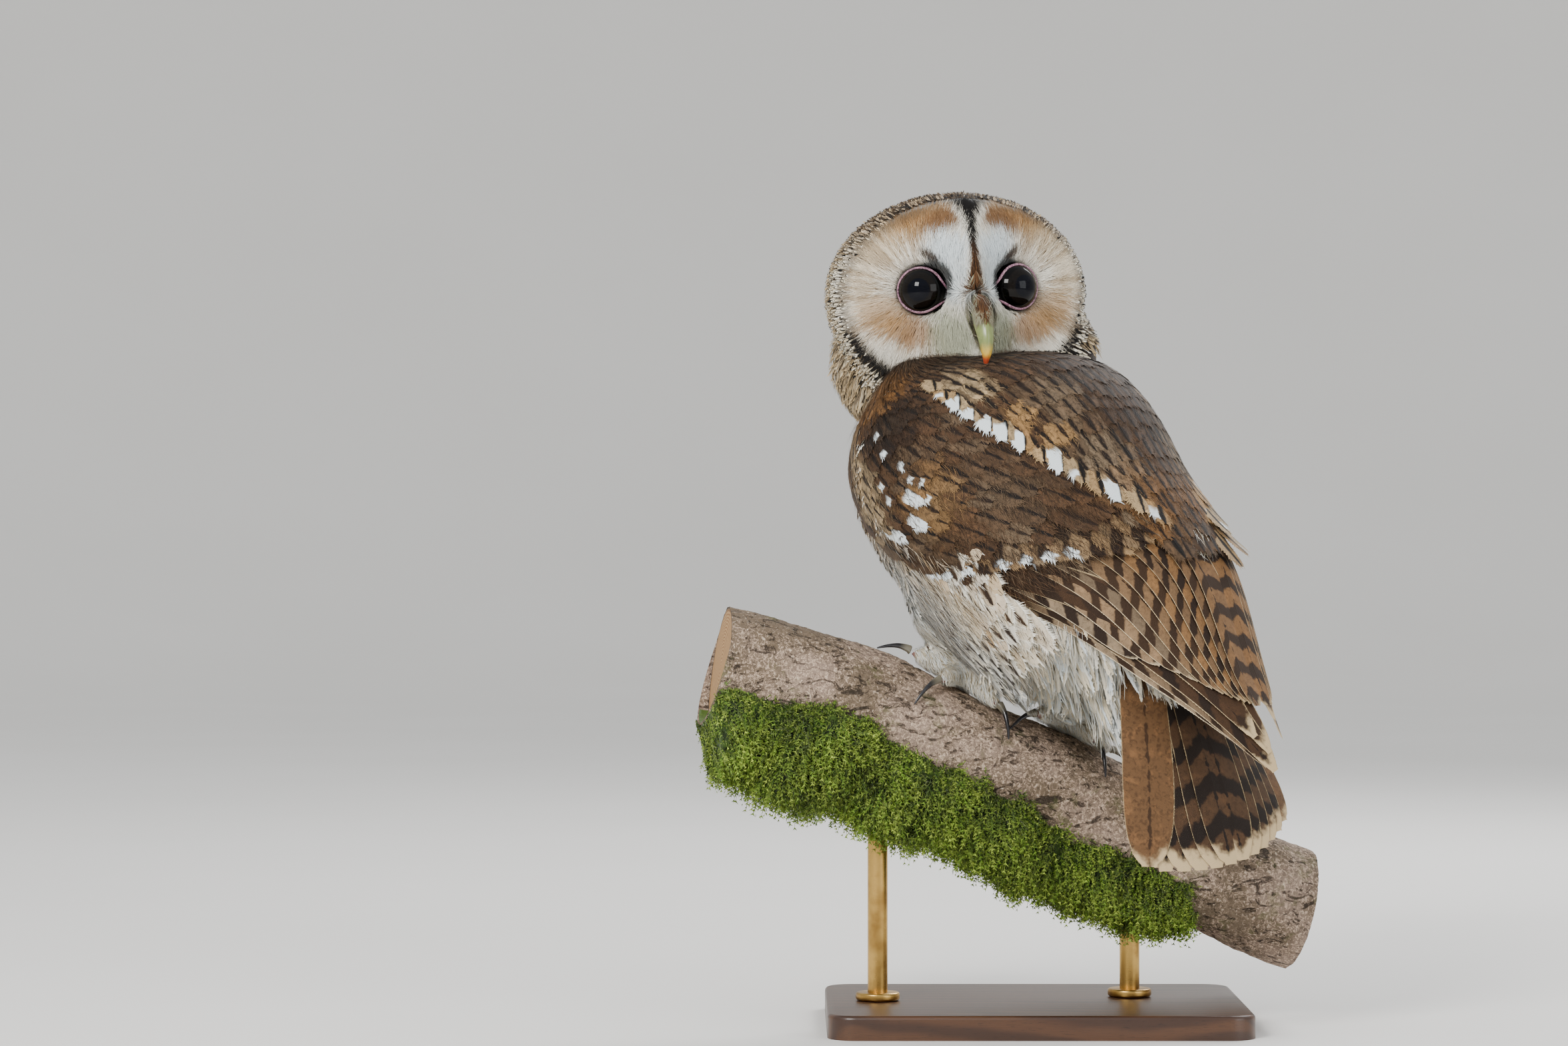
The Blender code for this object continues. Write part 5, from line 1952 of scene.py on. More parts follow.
    def build(self, brown: Material, pale: Material) -> None:
        """Makes the coats of the face and the crown.

        Args:
            brown: the finish of the upper parts' feathers.
            pale: the finish of soft pale feathers.
        """
        for name, fill, material, slot in (
                ("face_feathers", (self.disc,), pale, "pale_feathers"),
                ("lore_bristles", (self.lores, self.bridge), pale, "pale_feathers"),
                ("ruff_feathers", (self.ruff,), pale, "pale_feathers"),
                ("crown_and_nape_feathers", (self.crown,), brown, "tawny_feathers")):
            Coat(name, Layout.SKIN, self.rng, self.skin).filled(*fill).finish(material, slot)


# ================================ the coat of the body ==========================================
@dataclass(frozen=True)
class Wisps:
    """A batch of loose barbs: how many, and their least and greatest place, length, tip and half width."""

    count: int
    places: tuple[float, float]
    length: tuple[float, float]
    tips: tuple[float, float]
    halves: tuple[float, float]


@dataclass(frozen=True)
class Strands:
    """A batch of hanging strands: their shape, the gap between roots, and the half widths; in mm."""

    vane: Vane
    gap: float
    halves: tuple[float, float]


@dataclass
class BodyCoat:
    """Mantle, scapulars, breast, flanks, belly, undertail and legs; sizes in mm."""

    bird: Bird
    skin: Skin
    marks: BodyMarks
    rng: Chance
    mantle_vane: Vane = Vane(rows=10, columns=5, blunt=2.8, camber=0.08, fringe=0.6, ragged=0.03, barbs=4)
    soft_vane: Vane = Vane(rows=7, columns=5, blunt=2.6, camber=0.15, fringe=0.55, ragged=0.04, barbs=3)
    flank_vane: Vane = Vane(rows=10, columns=7, blunt=2.2, camber=0.14, fringe=1.0, ragged=0.045, barbs=5)
    scapular_edge: Table = ((47, 63), (24, 61), (2, 55.5), (-24, 44.5), (-51, 30.5), (-72, 16))
    scapulars_a_side: int = 14
    mantle_row: float = 9.5
    nape_size: float = 0.42
    mantle_pitch: float = 7.6
    under_gap: float = 4.7
    under_barb_gap: float = 2.2
    bare_toe: float = 3.6
    flank_rows: tuple[float, ...] = (-97.0, -88.0, -79.0, -70.0, -61.0, -52.0, -43.0)
    flank_flare: float = 5.5
    flank_barbs: int = 3600
    lifted: Table = ((-60, -22, 2.5), (-71, -27, 4.5), (-79, -20, 5.0), (-86, -30, 7.5), (-92, -22, 8.0),
                     (-98, -16, 5.0))  # place, angle and height of the tip
    lifted_length: float = 36.0
    down_gap: float = 1.6
    leg_gap: float = 0.86
    strands_a_lock: int = 16
    loose: tuple[Wisps, ...] = (
        Wisps(26000, (-78.0, 84.0), (3.0, 6.5), (0.35, 0.75), (0.08, 0.2)),
        Wisps(5000, (52.0, 84.0), (8.0, 14.0), (0.5, 5.0), (0.09, 0.22)))
    strands: tuple[Strands, ...] = (
        Strands(Vane(rows=5, columns=3, blunt=1.8, camber=0.35, fringe=1.3, ragged=0.05, barbs=2),
                3.0, (0.6, 1.1)),
        Strands(Vane(rows=5, columns=2, ragged=0.0), 1.45, (0.16, 0.36)))

    def shell_lay(self, s: Array, degrees: Array, rise: Array) -> Lay:
        """A lay on the folded bird's outer surface, from rows of stations.

        Args:
            s: places along the axis.
            degrees: angles from the back's midline.
            rise: heights over the surface in mm.

        Returns:
            The lay.
        """
        middle = self.bird.shell(s, degrees, rise)
        up = unit(self.bird.shell(s + 1.0, degrees, rise) - middle)
        left = unit(self.bird.shell(s, degrees + 1.0, rise) - middle)
        return Lay.along(middle, unit(np.cross(up, left)))

    def down_body(self, vane: Vane, s: Array, degrees: Array, length: Array, rise: Array,
                  drift: Array = 0.0) -> Lay:
        """Feathers that point down the body, given by their tips.

        Args:
            vane: their shape.
            s: the tips' places along the axis.
            degrees: the tips' angles.
            length: lengths in mm.
            rise: heights of the stations in mm.
            drift: degrees that each root lies further round than its tip.

        Returns:
            The lay.
        """
        return self.shell_lay(s[:, None] + vane.back(length), degrees[:, None] + vane.back(drift), rise)

    def slope(self, vane: Vane, root: float, tip: float, count: int) -> Array:
        """Heights in mm that run from root to tip, a little different for each feather."""
        return root + (tip - root) * vane.shares[None] + self.rng.uniform(-0.15, 0.2, (count, 1))

    def back(self, coat: Coat) -> None:
        """Adds the mantle in offset rows, from small at the nape to large at the rump.

        Args:
            coat: the piece that it joins.
        """
        place, row, vane = 82.0, 0, self.mantle_vane
        while place > -98.0:
            size = self.nape_size + (1.0 - self.nape_size) * step(70.0, 38.0, np.float64(place))
            edge = between(self.scapular_edge, min(place, 47.0))[0] - 4.0
            edge = max(edge, 20.0) if place < 50 else 78.0
            radius = between(self.bird.envelope, place)[0]
            gap = math.degrees(self.mantle_pitch * size / max(radius, 30.0))
            degrees = np.arange(-edge, edge, gap) + (gap / 2 if row % 2 else 0.0)
            count = len(degrees)
            degrees = degrees + self.rng.normal(0, 0.13 * gap, count)
            s = place + self.rng.normal(0, 1.6 * size, count)
            length = (25.0 + 8.0 * step(40.0, -40.0, s)) * (0.4 + 0.6 * size)
            lay = self.down_body(vane, s, degrees, length, self.slope(vane, -0.95, 0.35, count), degrees * 0.12)
            coat.add(vane, lay, (6.6 + 1.2 * step(40, -40, s)) * size * MM, length * MM,
                     self.marks.mantle(s, degrees))
            place, row = place - self.mantle_row * size, row + 1

    def scapulars(self, coat: Coat) -> None:
        """Adds the scapulars' edge rows, whose white outer webs make a line down the back.

        Args:
            coat: the piece that they join.
        """
        count, vane = self.scapulars_a_side, self.mantle_vane
        for side in SIDES.values():
            place = np.linspace(42.0, -72.0, count) + self.rng.normal(0, 0.8, count)
            degrees = side * between(self.scapular_edge, place)[:, 0]
            length = np.linspace(19.0, 33.0, count)
            lay = self.down_body(vane, place, degrees, length, self.slope(vane, -1.6, 1.1, count), -side * 9.0)
            coat.add(vane, lay, np.linspace(6.2, 8.0, count) * MM, length * MM,
                     self.marks.scapular(place, degrees), tilt=-0.08 * side)

    def loose_tips(self, coat: Coat) -> None:
        """Adds a few feathers beside the rump, on the far side, whose tips stand off the body.

        Args:
            coat: the piece that they join.
        """
        place, degrees, lift = np.array(self.lifted, float).T
        length = np.full(len(place), self.lifted_length)
        rise = -1.0 + (lift[:, None] + 1.0) * self.mantle_vane.shares[None] ** 1.8
        lay = self.down_body(self.mantle_vane, place, degrees, length, rise, 5.0)
        coat.add(self.mantle_vane, lay, self.rng.uniform(4.5, 6.5, len(place)) * MM, length * MM,
                 self.marks.scapular(place, degrees), tilt=0.1)

    def wisps(self, coat: Coat) -> None:
        """Adds loose fine barbs over back and wings, that soften one feather into the next.

        Args:
            coat: the piece that they join.
        """
        rng = self.rng
        for kind in self.loose:
            count = kind.count
            s = rng.uniform(*kind.places, count)
            degrees = rng.uniform(-1.0, 1.0, count) * (between(WingCoat.front_edge, s)[:, 0] + 3.0)
            length = rng.uniform(*kind.length, count)
            drift = rng.normal(0, 1.2, (count, 1))
            rise = -0.3 + (rng.uniform(*kind.tips, (count, 1)) + 0.3) * FINE.shares[None]
            lay = self.down_body(FINE, s, degrees, length, rise, drift)
            shade = rng.choice((0.35, 0.8, 1.45), count, p=(0.3, 0.4, 0.3))
            tone = np.minimum(self.marks.ground(s, degrees) * shade[:, None], 0.9)
            coat.add(FINE, lay, rng.uniform(*kind.halves, count) * MM, length * MM,
                     Dyes.of(rng, count, tone, tone * 0.5, tone))

    def under_flow(self, points: Array) -> Array:
        """Directions of the under parts' feathers: down the body, and hanging at the belly."""
        s, _ = self.bird.on_body(points)
        fall = step(-10.0, -90.0, s)[:, None]
        return unit(-self.bird.axis - np.array((0.0, 0.0, 0.55)) * fall)

    def bare_of_wing(self, points: Array) -> Array:
        """Whether each place of the trunk lies outside the folded wing."""
        s, degrees = self.bird.on_body(points)
        front = between(WingCoat.front_edge, s)[..., 0]
        open_ = (np.abs(degrees) > front - 8.0) | (s < -74.0)
        return open_ & (s < 74.0) & (s > -118.0) & (points[:, 2] > 0.196)

    def under(self, coat: Coat) -> None:
        """Adds soft streaked feathers of breast, flanks and belly, and loose barbs over them.

        Args:
            coat: the piece that they join.
        """
        rng, form, vane = self.rng, self.skin.form, self.soft_vane
        roots = form.scatter(lambda p: np.where(self.bare_of_wing(p), self.under_gap, 0.0), rng, even=True)
        s, degrees = self.bird.on_body(roots)
        count = len(roots)
        length = (18.0 + 8.0 * step(10.0, -60.0, s) + rng.normal(0, 2.0, count)) * MM
        rise = heights(rng, count, np.linspace(-1.8, 1.1, vane.rows), 0.5, 1.4)
        ahead = self.under_flow(roots) + rng.normal(0, 0.13, (count, 3))
        coat.lay_on(form, vane, roots, ahead, length, rise, rng.normal(0, 0.25, count),
                    rng.uniform(3.2, 4.8, count), self.marks.under(s, degrees))
        roots = form.scatter(lambda p: np.where(self.bare_of_wing(p), self.under_barb_gap, 0.0), rng)
        s, degrees = self.bird.on_body(roots)
        count = len(roots)
        length = rng.uniform(7.0, 13.0, count) * MM
        rise = heights(rng, count, (0.0, 1.1, 1.7), 0.3, 1.3)
        ahead = self.under_flow(roots) + rng.normal(0, 0.2, (count, 3))
        dyes = self.marks.under(s, degrees)
        shade = np.where(rng.random(count) < 0.36 * (1.0 - step(-60, -95, s)), 0.16, 1.0)
        dyes.tone[:, :3] *= shade[:, None]
        dyes.plan[:, :2], dyes.mark[:, 3] = 0.0, 0.0
        coat.lay_on(form, FINE, roots, ahead, length, rise, rng.normal(0, 0.4, count),
                    rng.uniform(0.14, 0.28, count), dyes)

    def flank(self, coat: Coat) -> None:
        """Adds large soft feathers of flank and front edge, whose ends hang free over the thigh.

        Args:
            coat: the piece that they join.
        """
        rng, vane = self.rng, self.flank_vane
        for side in SIDES.values():
            for row, place in enumerate(self.flank_rows):
                degrees = np.arange(90.0, 158.0, 6.6) + (3.3 if row % 2 else 0.0)
                degrees = (degrees + rng.normal(0, 1.0, len(degrees))) * side
                count = len(degrees)
                s = place + rng.normal(0, 2.2, count)
                length = rng.uniform(25.0, 34.0, count)
                free = 2.0 + self.flank_flare * step(-52.0, -98.0, s)[:, None]
                lay = self.down_body(vane, s, degrees, length, -1.6 + free * vane.shares[None] ** 1.4,
                                     rng.normal(0, 2.5, (count, 1)))
                coat.add(vane, lay, rng.uniform(4.6, 6.4, count) * MM, length * MM,
                         self.marks.flank(s, np.abs(degrees)))
            self.flank_tips(coat, side)

    def flank_tips(self, coat: Coat, side: int) -> None:
        """Adds loose barbs over one flank, some of them dark.

        Args:
            coat: the piece that they join.
            side: 1 for the bird's left.
        """
        rng, count = self.rng, self.flank_barbs
        s = rng.uniform(-106.0, -34.0, count)
        length = rng.uniform(7.0, 14.0, count)
        front = between(WingCoat.front_edge, s + length)[:, 0] + 3.0
        degrees = front + (156.0 - front) * rng.random(count)
        drift = side * rng.normal(0, 2.5, (count, 1))
        free = 0.1 + self.flank_flare * step(-52.0, -98.0, s) + rng.uniform(0.2, 0.8, count)
        rise = (0.1 + 0.9 * FINE.shares[None]) * free[:, None]
        lay = self.down_body(FINE, s, side * degrees, length, rise, drift)
        tone = self.marks.flank(s, degrees).tone[:, :3]
        dark = rng.random(count) < 0.34 + 0.12 * step(112.0, 126.0, degrees)
        tone = np.where(dark[:, None], Dye.PEAT.rgb, tone)
        coat.add(FINE, lay, rng.uniform(0.10, 0.24, count) * MM, length * MM,
                 Dyes.of(rng, count, tone, tone * 0.6, tone))

    def tufts(self, coat: Coat, vane: Vane, roots: Array, length: Array, gather: float, spread: float,
              rise: tuple[float, ...], lift: float, bend: float, halves: tuple[float, float]) -> None:
        """Adds a batch of white down.

        Args:
            coat: the piece that it joins.
            vane: the tufts' shape.
            roots: where they grow.
            length: their middling lengths in mm.
            gather: how far they turn together into locks.
            spread: how far each turns by itself.
            rise: heights of the stations in mm.
            lift: greatest factor of those heights.
            bend: how far each curves sideways.
            halves: least and greatest half width in mm.
        """
        rng, count = self.rng, len(roots)
        length = length * MM * rng.uniform(0.6, 1.4, count)
        ahead = self.under_flow(roots) + self.locks(roots) * gather + rng.normal(0, spread, (count, 3))
        coat.lay_on(self.skin.form, vane, roots, ahead, length, heights(rng, count, rise, 0.2, lift),
                    rng.normal(0, bend, count), rng.uniform(*halves, count), self.white(count))

    def down(self, coat: Coat) -> None:
        """Adds loose white down of belly, vent and undertail.

        Args:
            coat: the piece that it joins.
        """
        def spacing(p: Array) -> Array:
            """The gap in mm between roots of down."""
            s, degrees = self.bird.on_body(p)
            start = -76.0 + 7.0 * wander(p, 140.0, 3.0)
            belly = (s < start) & (np.abs(degrees) > 80.0) & (p[:, 2] < 0.240)
            low = (p[:, 2] < 0.204) & (s < -66.0)
            return np.where((belly | low | (s < -96.0)) & (p[:, 2] > 0.196), self.down_gap, 0.0)

        roots = self.skin.form.scatter(spacing, self.rng)
        s, _ = self.bird.on_body(roots)
        self.tufts(coat, BRISTLE, roots, 11.0 + 8.0 * step(-90.0, -130.0, s), 0.55, 0.12,
                   (-0.6, 0.7, 1.2, 1.3), 1.6, 0.5, (0.25, 0.42))

    def leg_down(self, coat: Coat) -> None:
        """Adds short white down of legs and toes, that leaves the toes' ends bare.

        Args:
            coat: the piece that it joins.
        """
        bases = claw_bases()

        def spacing(p: Array) -> Array:
            """The gap in mm between roots on legs and toes."""
            bare = np.min([np.linalg.norm(p - base, axis=1) for base in bases], axis=0) < self.bare_toe * MM
            return np.where((p[:, 2] < 0.204) & ~bare, self.leg_gap, 0.0)

        roots = self.skin.form.scatter(spacing, self.rng)
        low = 1.0 - step(0.186, 0.206, roots[:, 2])
        self.tufts(coat, FINE, roots, 8.0 - 3.5 * low, 0.4, 0.14, (-0.4, 0.6, 0.8), 1.5, 0.4, (0.16, 0.27))

    def locks(self, points: Array) -> Array:
        """A smooth turn of direction over the body, that gathers down into locks."""
        return np.stack([wander(points, 90.0, seed) for seed in (1.0, 2.0, 3.0)], axis=1)

    def white(self, count: int) -> Dyes:
        """White down, each barb a little different."""
        tone = self.marks.tuned(count, Dye.CREAM, Dye.WHITE, Dye.ICE) * self.rng.uniform(0.78, 1.0, (count, 1))
        return Dyes.of(self.rng, count, tone, tone * 0.6, tone).calm()

    def hanging(self, coat: Coat) -> None:
        """Adds long loose locks that hang from belly and vent to just above the branch.

        Args:
            coat: the piece that they join.
        """
        def spacing(p: Array) -> Array:
            """The gap in mm between roots of strands."""
            s, degrees = self.bird.on_body(p)
            side = 96.0 + 15.0 * step(-88.0, -100.0, s)
            low = (s < -76.0) & (s > -150.0) & (np.abs(degrees) > side) & (p[:, 2] < 0.226)
            legs = (p[:, 2] > 0.180) & (p[:, 2] < 0.214) & (p[:, 0] > -0.030)
            return np.where(low | legs, kind.gap, 0.0)

        rng = self.rng
        for kind in self.strands:
            foot, out, _ = self.skin.form.settle(self.skin.form.scatter(spacing, rng))
            clear = foot[:, 2] - between(Perch.top, foot[:, 0] / MM)[..., 0] * MM - 0.002
            over = np.abs(foot[:, 1] - 0.006) < 0.034
            kept = ~over | (clear > 0.006)
            foot, out, clear, over = (part[kept] for part in (foot, out, clear, over))
            count, shares = len(foot), kind.vane.shares
            s, _ = self.bird.on_body(foot)
            rear = step(-92.0, -120.0, s)[:, None]
            length = rng.uniform(13.0, 30.0, count) * MM * (0.75 + 0.25 * rear[:, 0])
            length = np.where(over, np.minimum(length, clear * rng.uniform(0.7, 1.0, count)), length)
            first = unit(-self.bird.axis + out * 0.35 + self.locks(foot) * 0.5)
            last = unit(np.array((0.0, 0.0, -0.8)) * (1.0 - 0.5 * rear) - self.bird.axis * (0.55 + 0.6 * rear)
                        + self.locks(foot) * 0.4 + rng.normal(0, 0.16, (count, 3)))
            share = shares[None, :, None]
            way = unit(first[:, None] * (1.0 - share) + last[:, None] * share)
            gaps = np.diff(shares, prepend=0.0)[None, :, None] * length[:, None, None]
            middle = foot[:, None] - out[:, None] * (1.0 * MM) + np.cumsum(way * gaps, axis=1)
            hearts = middle[rng.choice(count, max(2, count // self.strands_a_lock), replace=False)]
            away = np.linalg.norm(foot[:, None] - hearts[None, :, 0], axis=2)
            nearest = hearts[np.argmin(away, axis=1), -1]
            pull = (nearest - middle[:, -1]) * rng.uniform(0.35, 0.85, (count, 1))
            pull[:, 2] = np.where(over, 0.0, pull[:, 2] * 0.5)
            middle = middle + pull[:, None] * share ** 1.6
            lay = Lay.along(middle, np.broadcast_to(out[:, None], middle.shape))
            coat.add(kind.vane, lay, rng.uniform(*kind.halves, count) * MM, length, self.white(count))

    def colour(self, points: Array) -> Array:
        """The skin's colour at each place, as the coat over it has.

        Args:
            points: the places.

        Returns:
            Linear colours.
        """
        s, degrees = self.bird.on_body(points)
        x, y, z = self.bird.on_face(points)
        colour = np.tile(Dye.SAND.rgb, (len(points), 1))
        for where, dye in ((np.abs(degrees) < between(WingCoat.front_edge, s)[..., 0], Dye.PEAT),
                           ((points[:, 2] < 0.225) | (s < -90.0), Dye.CREAM),
                           ((z < 8.0) & (y > -50.0) & (s > 55.0), Dye.DRAB)):
            colour[where] = dye.rgb
        for base in claw_bases():
            near = 1.0 - step(3.2, 5.0, np.linalg.norm(points - base, axis=1) / MM)
            colour = blend(colour, linear("a8756b"), near)
        face = FaceMarks()
        disc = (z > 5.0) & (np.hypot(x / face.radii[0], y / face.radii[1]) < 1.05)
        return np.where(disc[:, None], face.colour(x, y, np.full(len(x), 0.5)), colour)

    def build(self, brown: Material, pale: Material) -> None:
        """Makes the coats of the back, the under parts and the legs.

        Args:
            brown: the finish of the upper parts' feathers.
            pale: the finish of soft pale feathers.
        """
        rng, skin = self.rng, self.skin
        Coat("mantle_and_scapulars", Layout.CELLS, rng).filled(
            self.back, self.scapulars, self.loose_tips).finish(brown, "tawny_feathers")
        Coat("loose_barbs_of_back", Layout.SKIN, rng, skin).filled(self.wisps).finish(brown, "tawny_feathers")
        for name, fill in (("breast_and_belly_feathers", (self.under, self.flank)),
                           ("down_of_belly_and_vent", (self.down,)),
                           ("down_of_legs_and_toes", (self.leg_down,)),
                           ("hanging_locks_of_belly", (self.hanging,))):
            Coat(name, Layout.SKIN, rng, skin).filled(*fill).finish(pale, "pale_feathers")


# ================================ wings =========================================================
COVERT = Vane(rows=10, columns=5, blunt=3.2, camber=0.08, fringe=0.5, ragged=0.022, barbs=4)
QUILL = Vane(rows=24, columns=9, blunt=9.0, waist=0.22, camber=0.07, fringe=0.04, ragged=0.002, barbs=4)


@dataclass(frozen=True)
class Stack:
    """How a row of a wing's feathers lies: their shape, and the heights of roots and tips in mm."""

    vane: Vane
    heights: tuple[float, float]
    tilt: float  # rise of the positive side's edge on the left wing, as a share of the half width
    lean: float = 0.0  # how much narrower that side is


@dataclass
class WingCoat:
    """The folded wing's coverts, secondaries and primaries, one side; sizes in mm and degrees."""

    body: BodyCoat
    side: int
    covert_rows: tuple[float, ...] = (0.03, 0.11, 0.19, 0.27, 0.35, 0.43, 0.51, 0.59, 0.68, 0.77, 0.87)
    small: Stack = Stack(COVERT, (-0.95, 0.3), -0.05)
    large: Stack = Stack(COVERT, (-2.0, 0.0), -0.16, -0.12)
    second: Stack = Stack(QUILL, (-2.6, -0.2), -0.12, -0.3)
    first: Stack = Stack(replace(QUILL, blunt=3.2, waist=0.3), (-3.4, -2.4), -0.06, -0.35)
    bend: Stack = Stack(COVERT, (-1.6, 0.5), -0.1)
    slant: float = 0.02
    back_edge = ((66, 80), (50, 67), (-10, 42), (-72, 12), (-110, 6), (-200, 9))
    front_edge = ((66, 96), (52, 121), (20, 126), (-8, 119), (-36, 106), (-74, 88),
                  (-128, 71), (-157, 57), (-200, 38))
    coverts_end: Table = ((0.0, -72), (0.35, -77), (0.7, -58), (1.0, -34))
    secondaries_end: Table = ((0.0, -166), (0.5, -152), (1.0, -110))
    primary_tips: Table = ((-136, 0.97, -2.6), (-150, 0.97, -2.3), (-160, 0.95, -2.0), (-170, 0.92, -1.7),
                           (-179, 0.60, 0.4), (-188, 0.42, 0.1), (-197, 0.72, -0.4), (-193, 0.84, -0.9),
                           (-182, 0.93, -1.3))
    primary_cream: tuple[float, ...] = (0.5, 0.45, 0.3, 0.15, 0.0, 0.0, 0.0, 0.05, 0.2)
    far_wing_drawn_in: float = 17.0
    dark_primaries: tuple[int, int] = (4, 7)
    greater_coverts: int = 13
    greater_length: float = 38.0
    greater_half: float = 7.8
    secondary_feathers: int = 11
    secondary_root: float = -42.0
    secondary_bar: float = 13.5
    primary_root: float = -34.0
    primary_bar: float = 20.0
    bend_half: float = 7.6
    bend_tips: Table = ((-7, 0.92, 40, 1.0), (-21, 0.97, 34, 0.0), (-33, 0.99, 40, 0.0),
                        (-46, 0.99, 40, 0.5), (-60, 0.97, 36, 0.0))

    def __post_init__(self) -> None:
        """Takes the colours and the source of chance from the body's coat."""
        self.rng, self.marks = self.body.rng, self.body.marks

    def degrees(self, s: Array, lane: Array) -> Array:
        """Angle of a lane of the wing: 0 at its back edge and 1 at its front edge."""
        back, front = between(self.back_edge, s)[..., 0], between(self.front_edge, s)[..., 0]
        return self.side * (back + (front - back) * lane)

    def row(self, coat: Coat, kind: Stack, root: Array, tip: Array, lanes: tuple[Array, Array],
            length: Array, half: Array, over: Array, dyes: Dyes) -> None:
        """Adds a row of feathers.

        Args:
            coat: the piece that they join.
            kind: how the row lies.
            root: the roots' places along the axis.
            tip: the tips' places.
            lanes: the lanes of the roots and of the tips.
            length: lengths in mm.
            half: half widths in mm.
            over: how much further out than the row each feather lies, in mm.
            dyes: their colours and marks.
        """
        shares = kind.vane.shares[None]
        s = root[:, None] + (tip - root)[:, None] * shares
        lane = lanes[0][:, None] + (lanes[1] - lanes[0])[:, None] * shares
        rise = np.linspace(*kind.heights, kind.vane.rows)[None] + over
        lay = self.body.shell_lay(s, self.degrees(s, lane), rise)
        coat.add(kind.vane, lay, half * MM, length * MM, dyes, tilt=kind.tilt * self.side,
                 lean=kind.lean * self.side)

    def coverts(self, coat: Coat) -> None:
        """Rows of coverts, small at the shoulder and long over the flight feathers.

        Args:
            coat: the piece that they join.
        """
        rng = self.rng
        for number, row in enumerate(self.covert_rows):
            pitch = 7.2 + 1.8 * row
            count = int((62.0 + 46.0 * math.sin(math.pi * min(row + 0.15, 0.9))) / pitch)
            lane = (np.arange(count) + (0.25 if number % 2 else 0.75)) / count
            lane = lane + rng.normal(0, 0.014, count)
            top = 64.0 - 22.0 * (2.0 * lane - 0.9) ** 2
            tip = top + (between(self.coverts_end, lane)[..., 0] - top) * row + rng.normal(0, 1.5, count)
            length = np.full(count, 21.0 + 13.0 * row)
            self.row(coat, self.small, tip + length, tip, (lane + self.slant, lane), length, pitch * 0.82,
                     rng.uniform(-0.12, 0.15, (count, 1)), self.marks.covert(tip, self.degrees(tip, lane)))

    def greater(self, coat: Coat) -> None:
        """The last row of coverts, over the bases of the secondaries.

        Args:
            coat: the piece that they join.
        """
        count = self.greater_coverts
        lane = (np.arange(count) + 0.5) / count
        tip = between(self.coverts_end, lane)[..., 0] + self.rng.normal(0, 0.8, count)
        length = np.full(count, self.greater_length)
        self.row(coat, self.large, tip + length, tip, (lane + self.slant, lane), length, self.greater_half,
                 np.zeros((count, 1)), self.marks.greater(tip, self.degrees(tip, lane)))

    def secondaries(self, coat: Coat) -> None:
        """Long barred feathers, each overlapping the next one forward.

        Args:
            coat: the piece that they join.
        """
        count = self.secondary_feathers
        lane = np.linspace(0.03, 0.86, count)
        tip = between(self.secondaries_end, lane)[..., 0]
        root = np.full(count, self.secondary_root)
        length = root - tip
        bars = length * self.rng.uniform(0.88, 1.12, count) / self.secondary_bar / 20.0
        self.row(coat, self.second, root, tip, (lane, lane), length, np.linspace(10.0, 8.0, count),
                 np.linspace(0.2, -1.6, count)[:, None],
                 self.marks.flight(count, bars, np.linspace(0.0, 0.45, count) ** 2.2))

    def primaries(self, coat: Coat) -> None:
        """Feathers of the wing's tip, stacked under the secondaries and showing past them.

        Args:
            coat: the piece that they join.
        """
        tip, lane, over = np.array(self.primary_tips, float).T
        tip = tip if self.side > 0 else tip + self.far_wing_drawn_in
        count = len(tip)
        root = np.full(count, self.primary_root)
        length = root - tip
        dyes = self.marks.flight(count, length / self.primary_bar / 20.0, np.array(self.primary_cream, float))
        dark = slice(*self.dark_primaries)
        dyes.tone[dark, :3] = Dye.PEAT.rgb * 1.3
        dyes.plan[dark, 1] = 0.05
        self.row(coat, self.first, root, tip, (np.linspace(0.86, 0.99, count), lane - 0.12), length,
                 np.linspace(9.0, 10.5, count), over[:, None], dyes)

    def bend_feathers(self, coat: Coat) -> None:
        """The dark feathers along the wing's front edge, one with a long white web.

        Args:
            coat: the piece that they join.
        """
        tip, lane, length, white = np.array(self.bend_tips, float).T
        lane, count = lane - 0.05, len(tip)
        dyes = Dyes.of(self.rng, count, Dye.PEAT.rgb, Dye.SOOT.rgb, Dye.ICE.rgb, mottle=0.5,
                       bars=0.09, web=0.5 - 0.5 * white * self.side)
        self.row(coat, self.bend, tip + length, tip, (lane + self.slant, lane), length, self.bend_half,
                 -np.linspace(0.0, 0.8, count)[:, None], dyes)

    def build(self, material: Material, name: str) -> None:
        """Makes the wing's coverts and flight feathers, in place of its solids."""
        Coat(f"{name}_covert_feathers", Layout.CELLS, self.rng).filled(
            self.coverts, self.greater, self.bend_feathers).finish(material, "tawny_feathers")
        Coat(f"{name}_flight_feathers", Layout.CELLS, self.rng).filled(self.secondaries, self.primaries).finish(
            material, "tawny_feathers", [f"{name}_secondaries", f"{name}_primaries"])


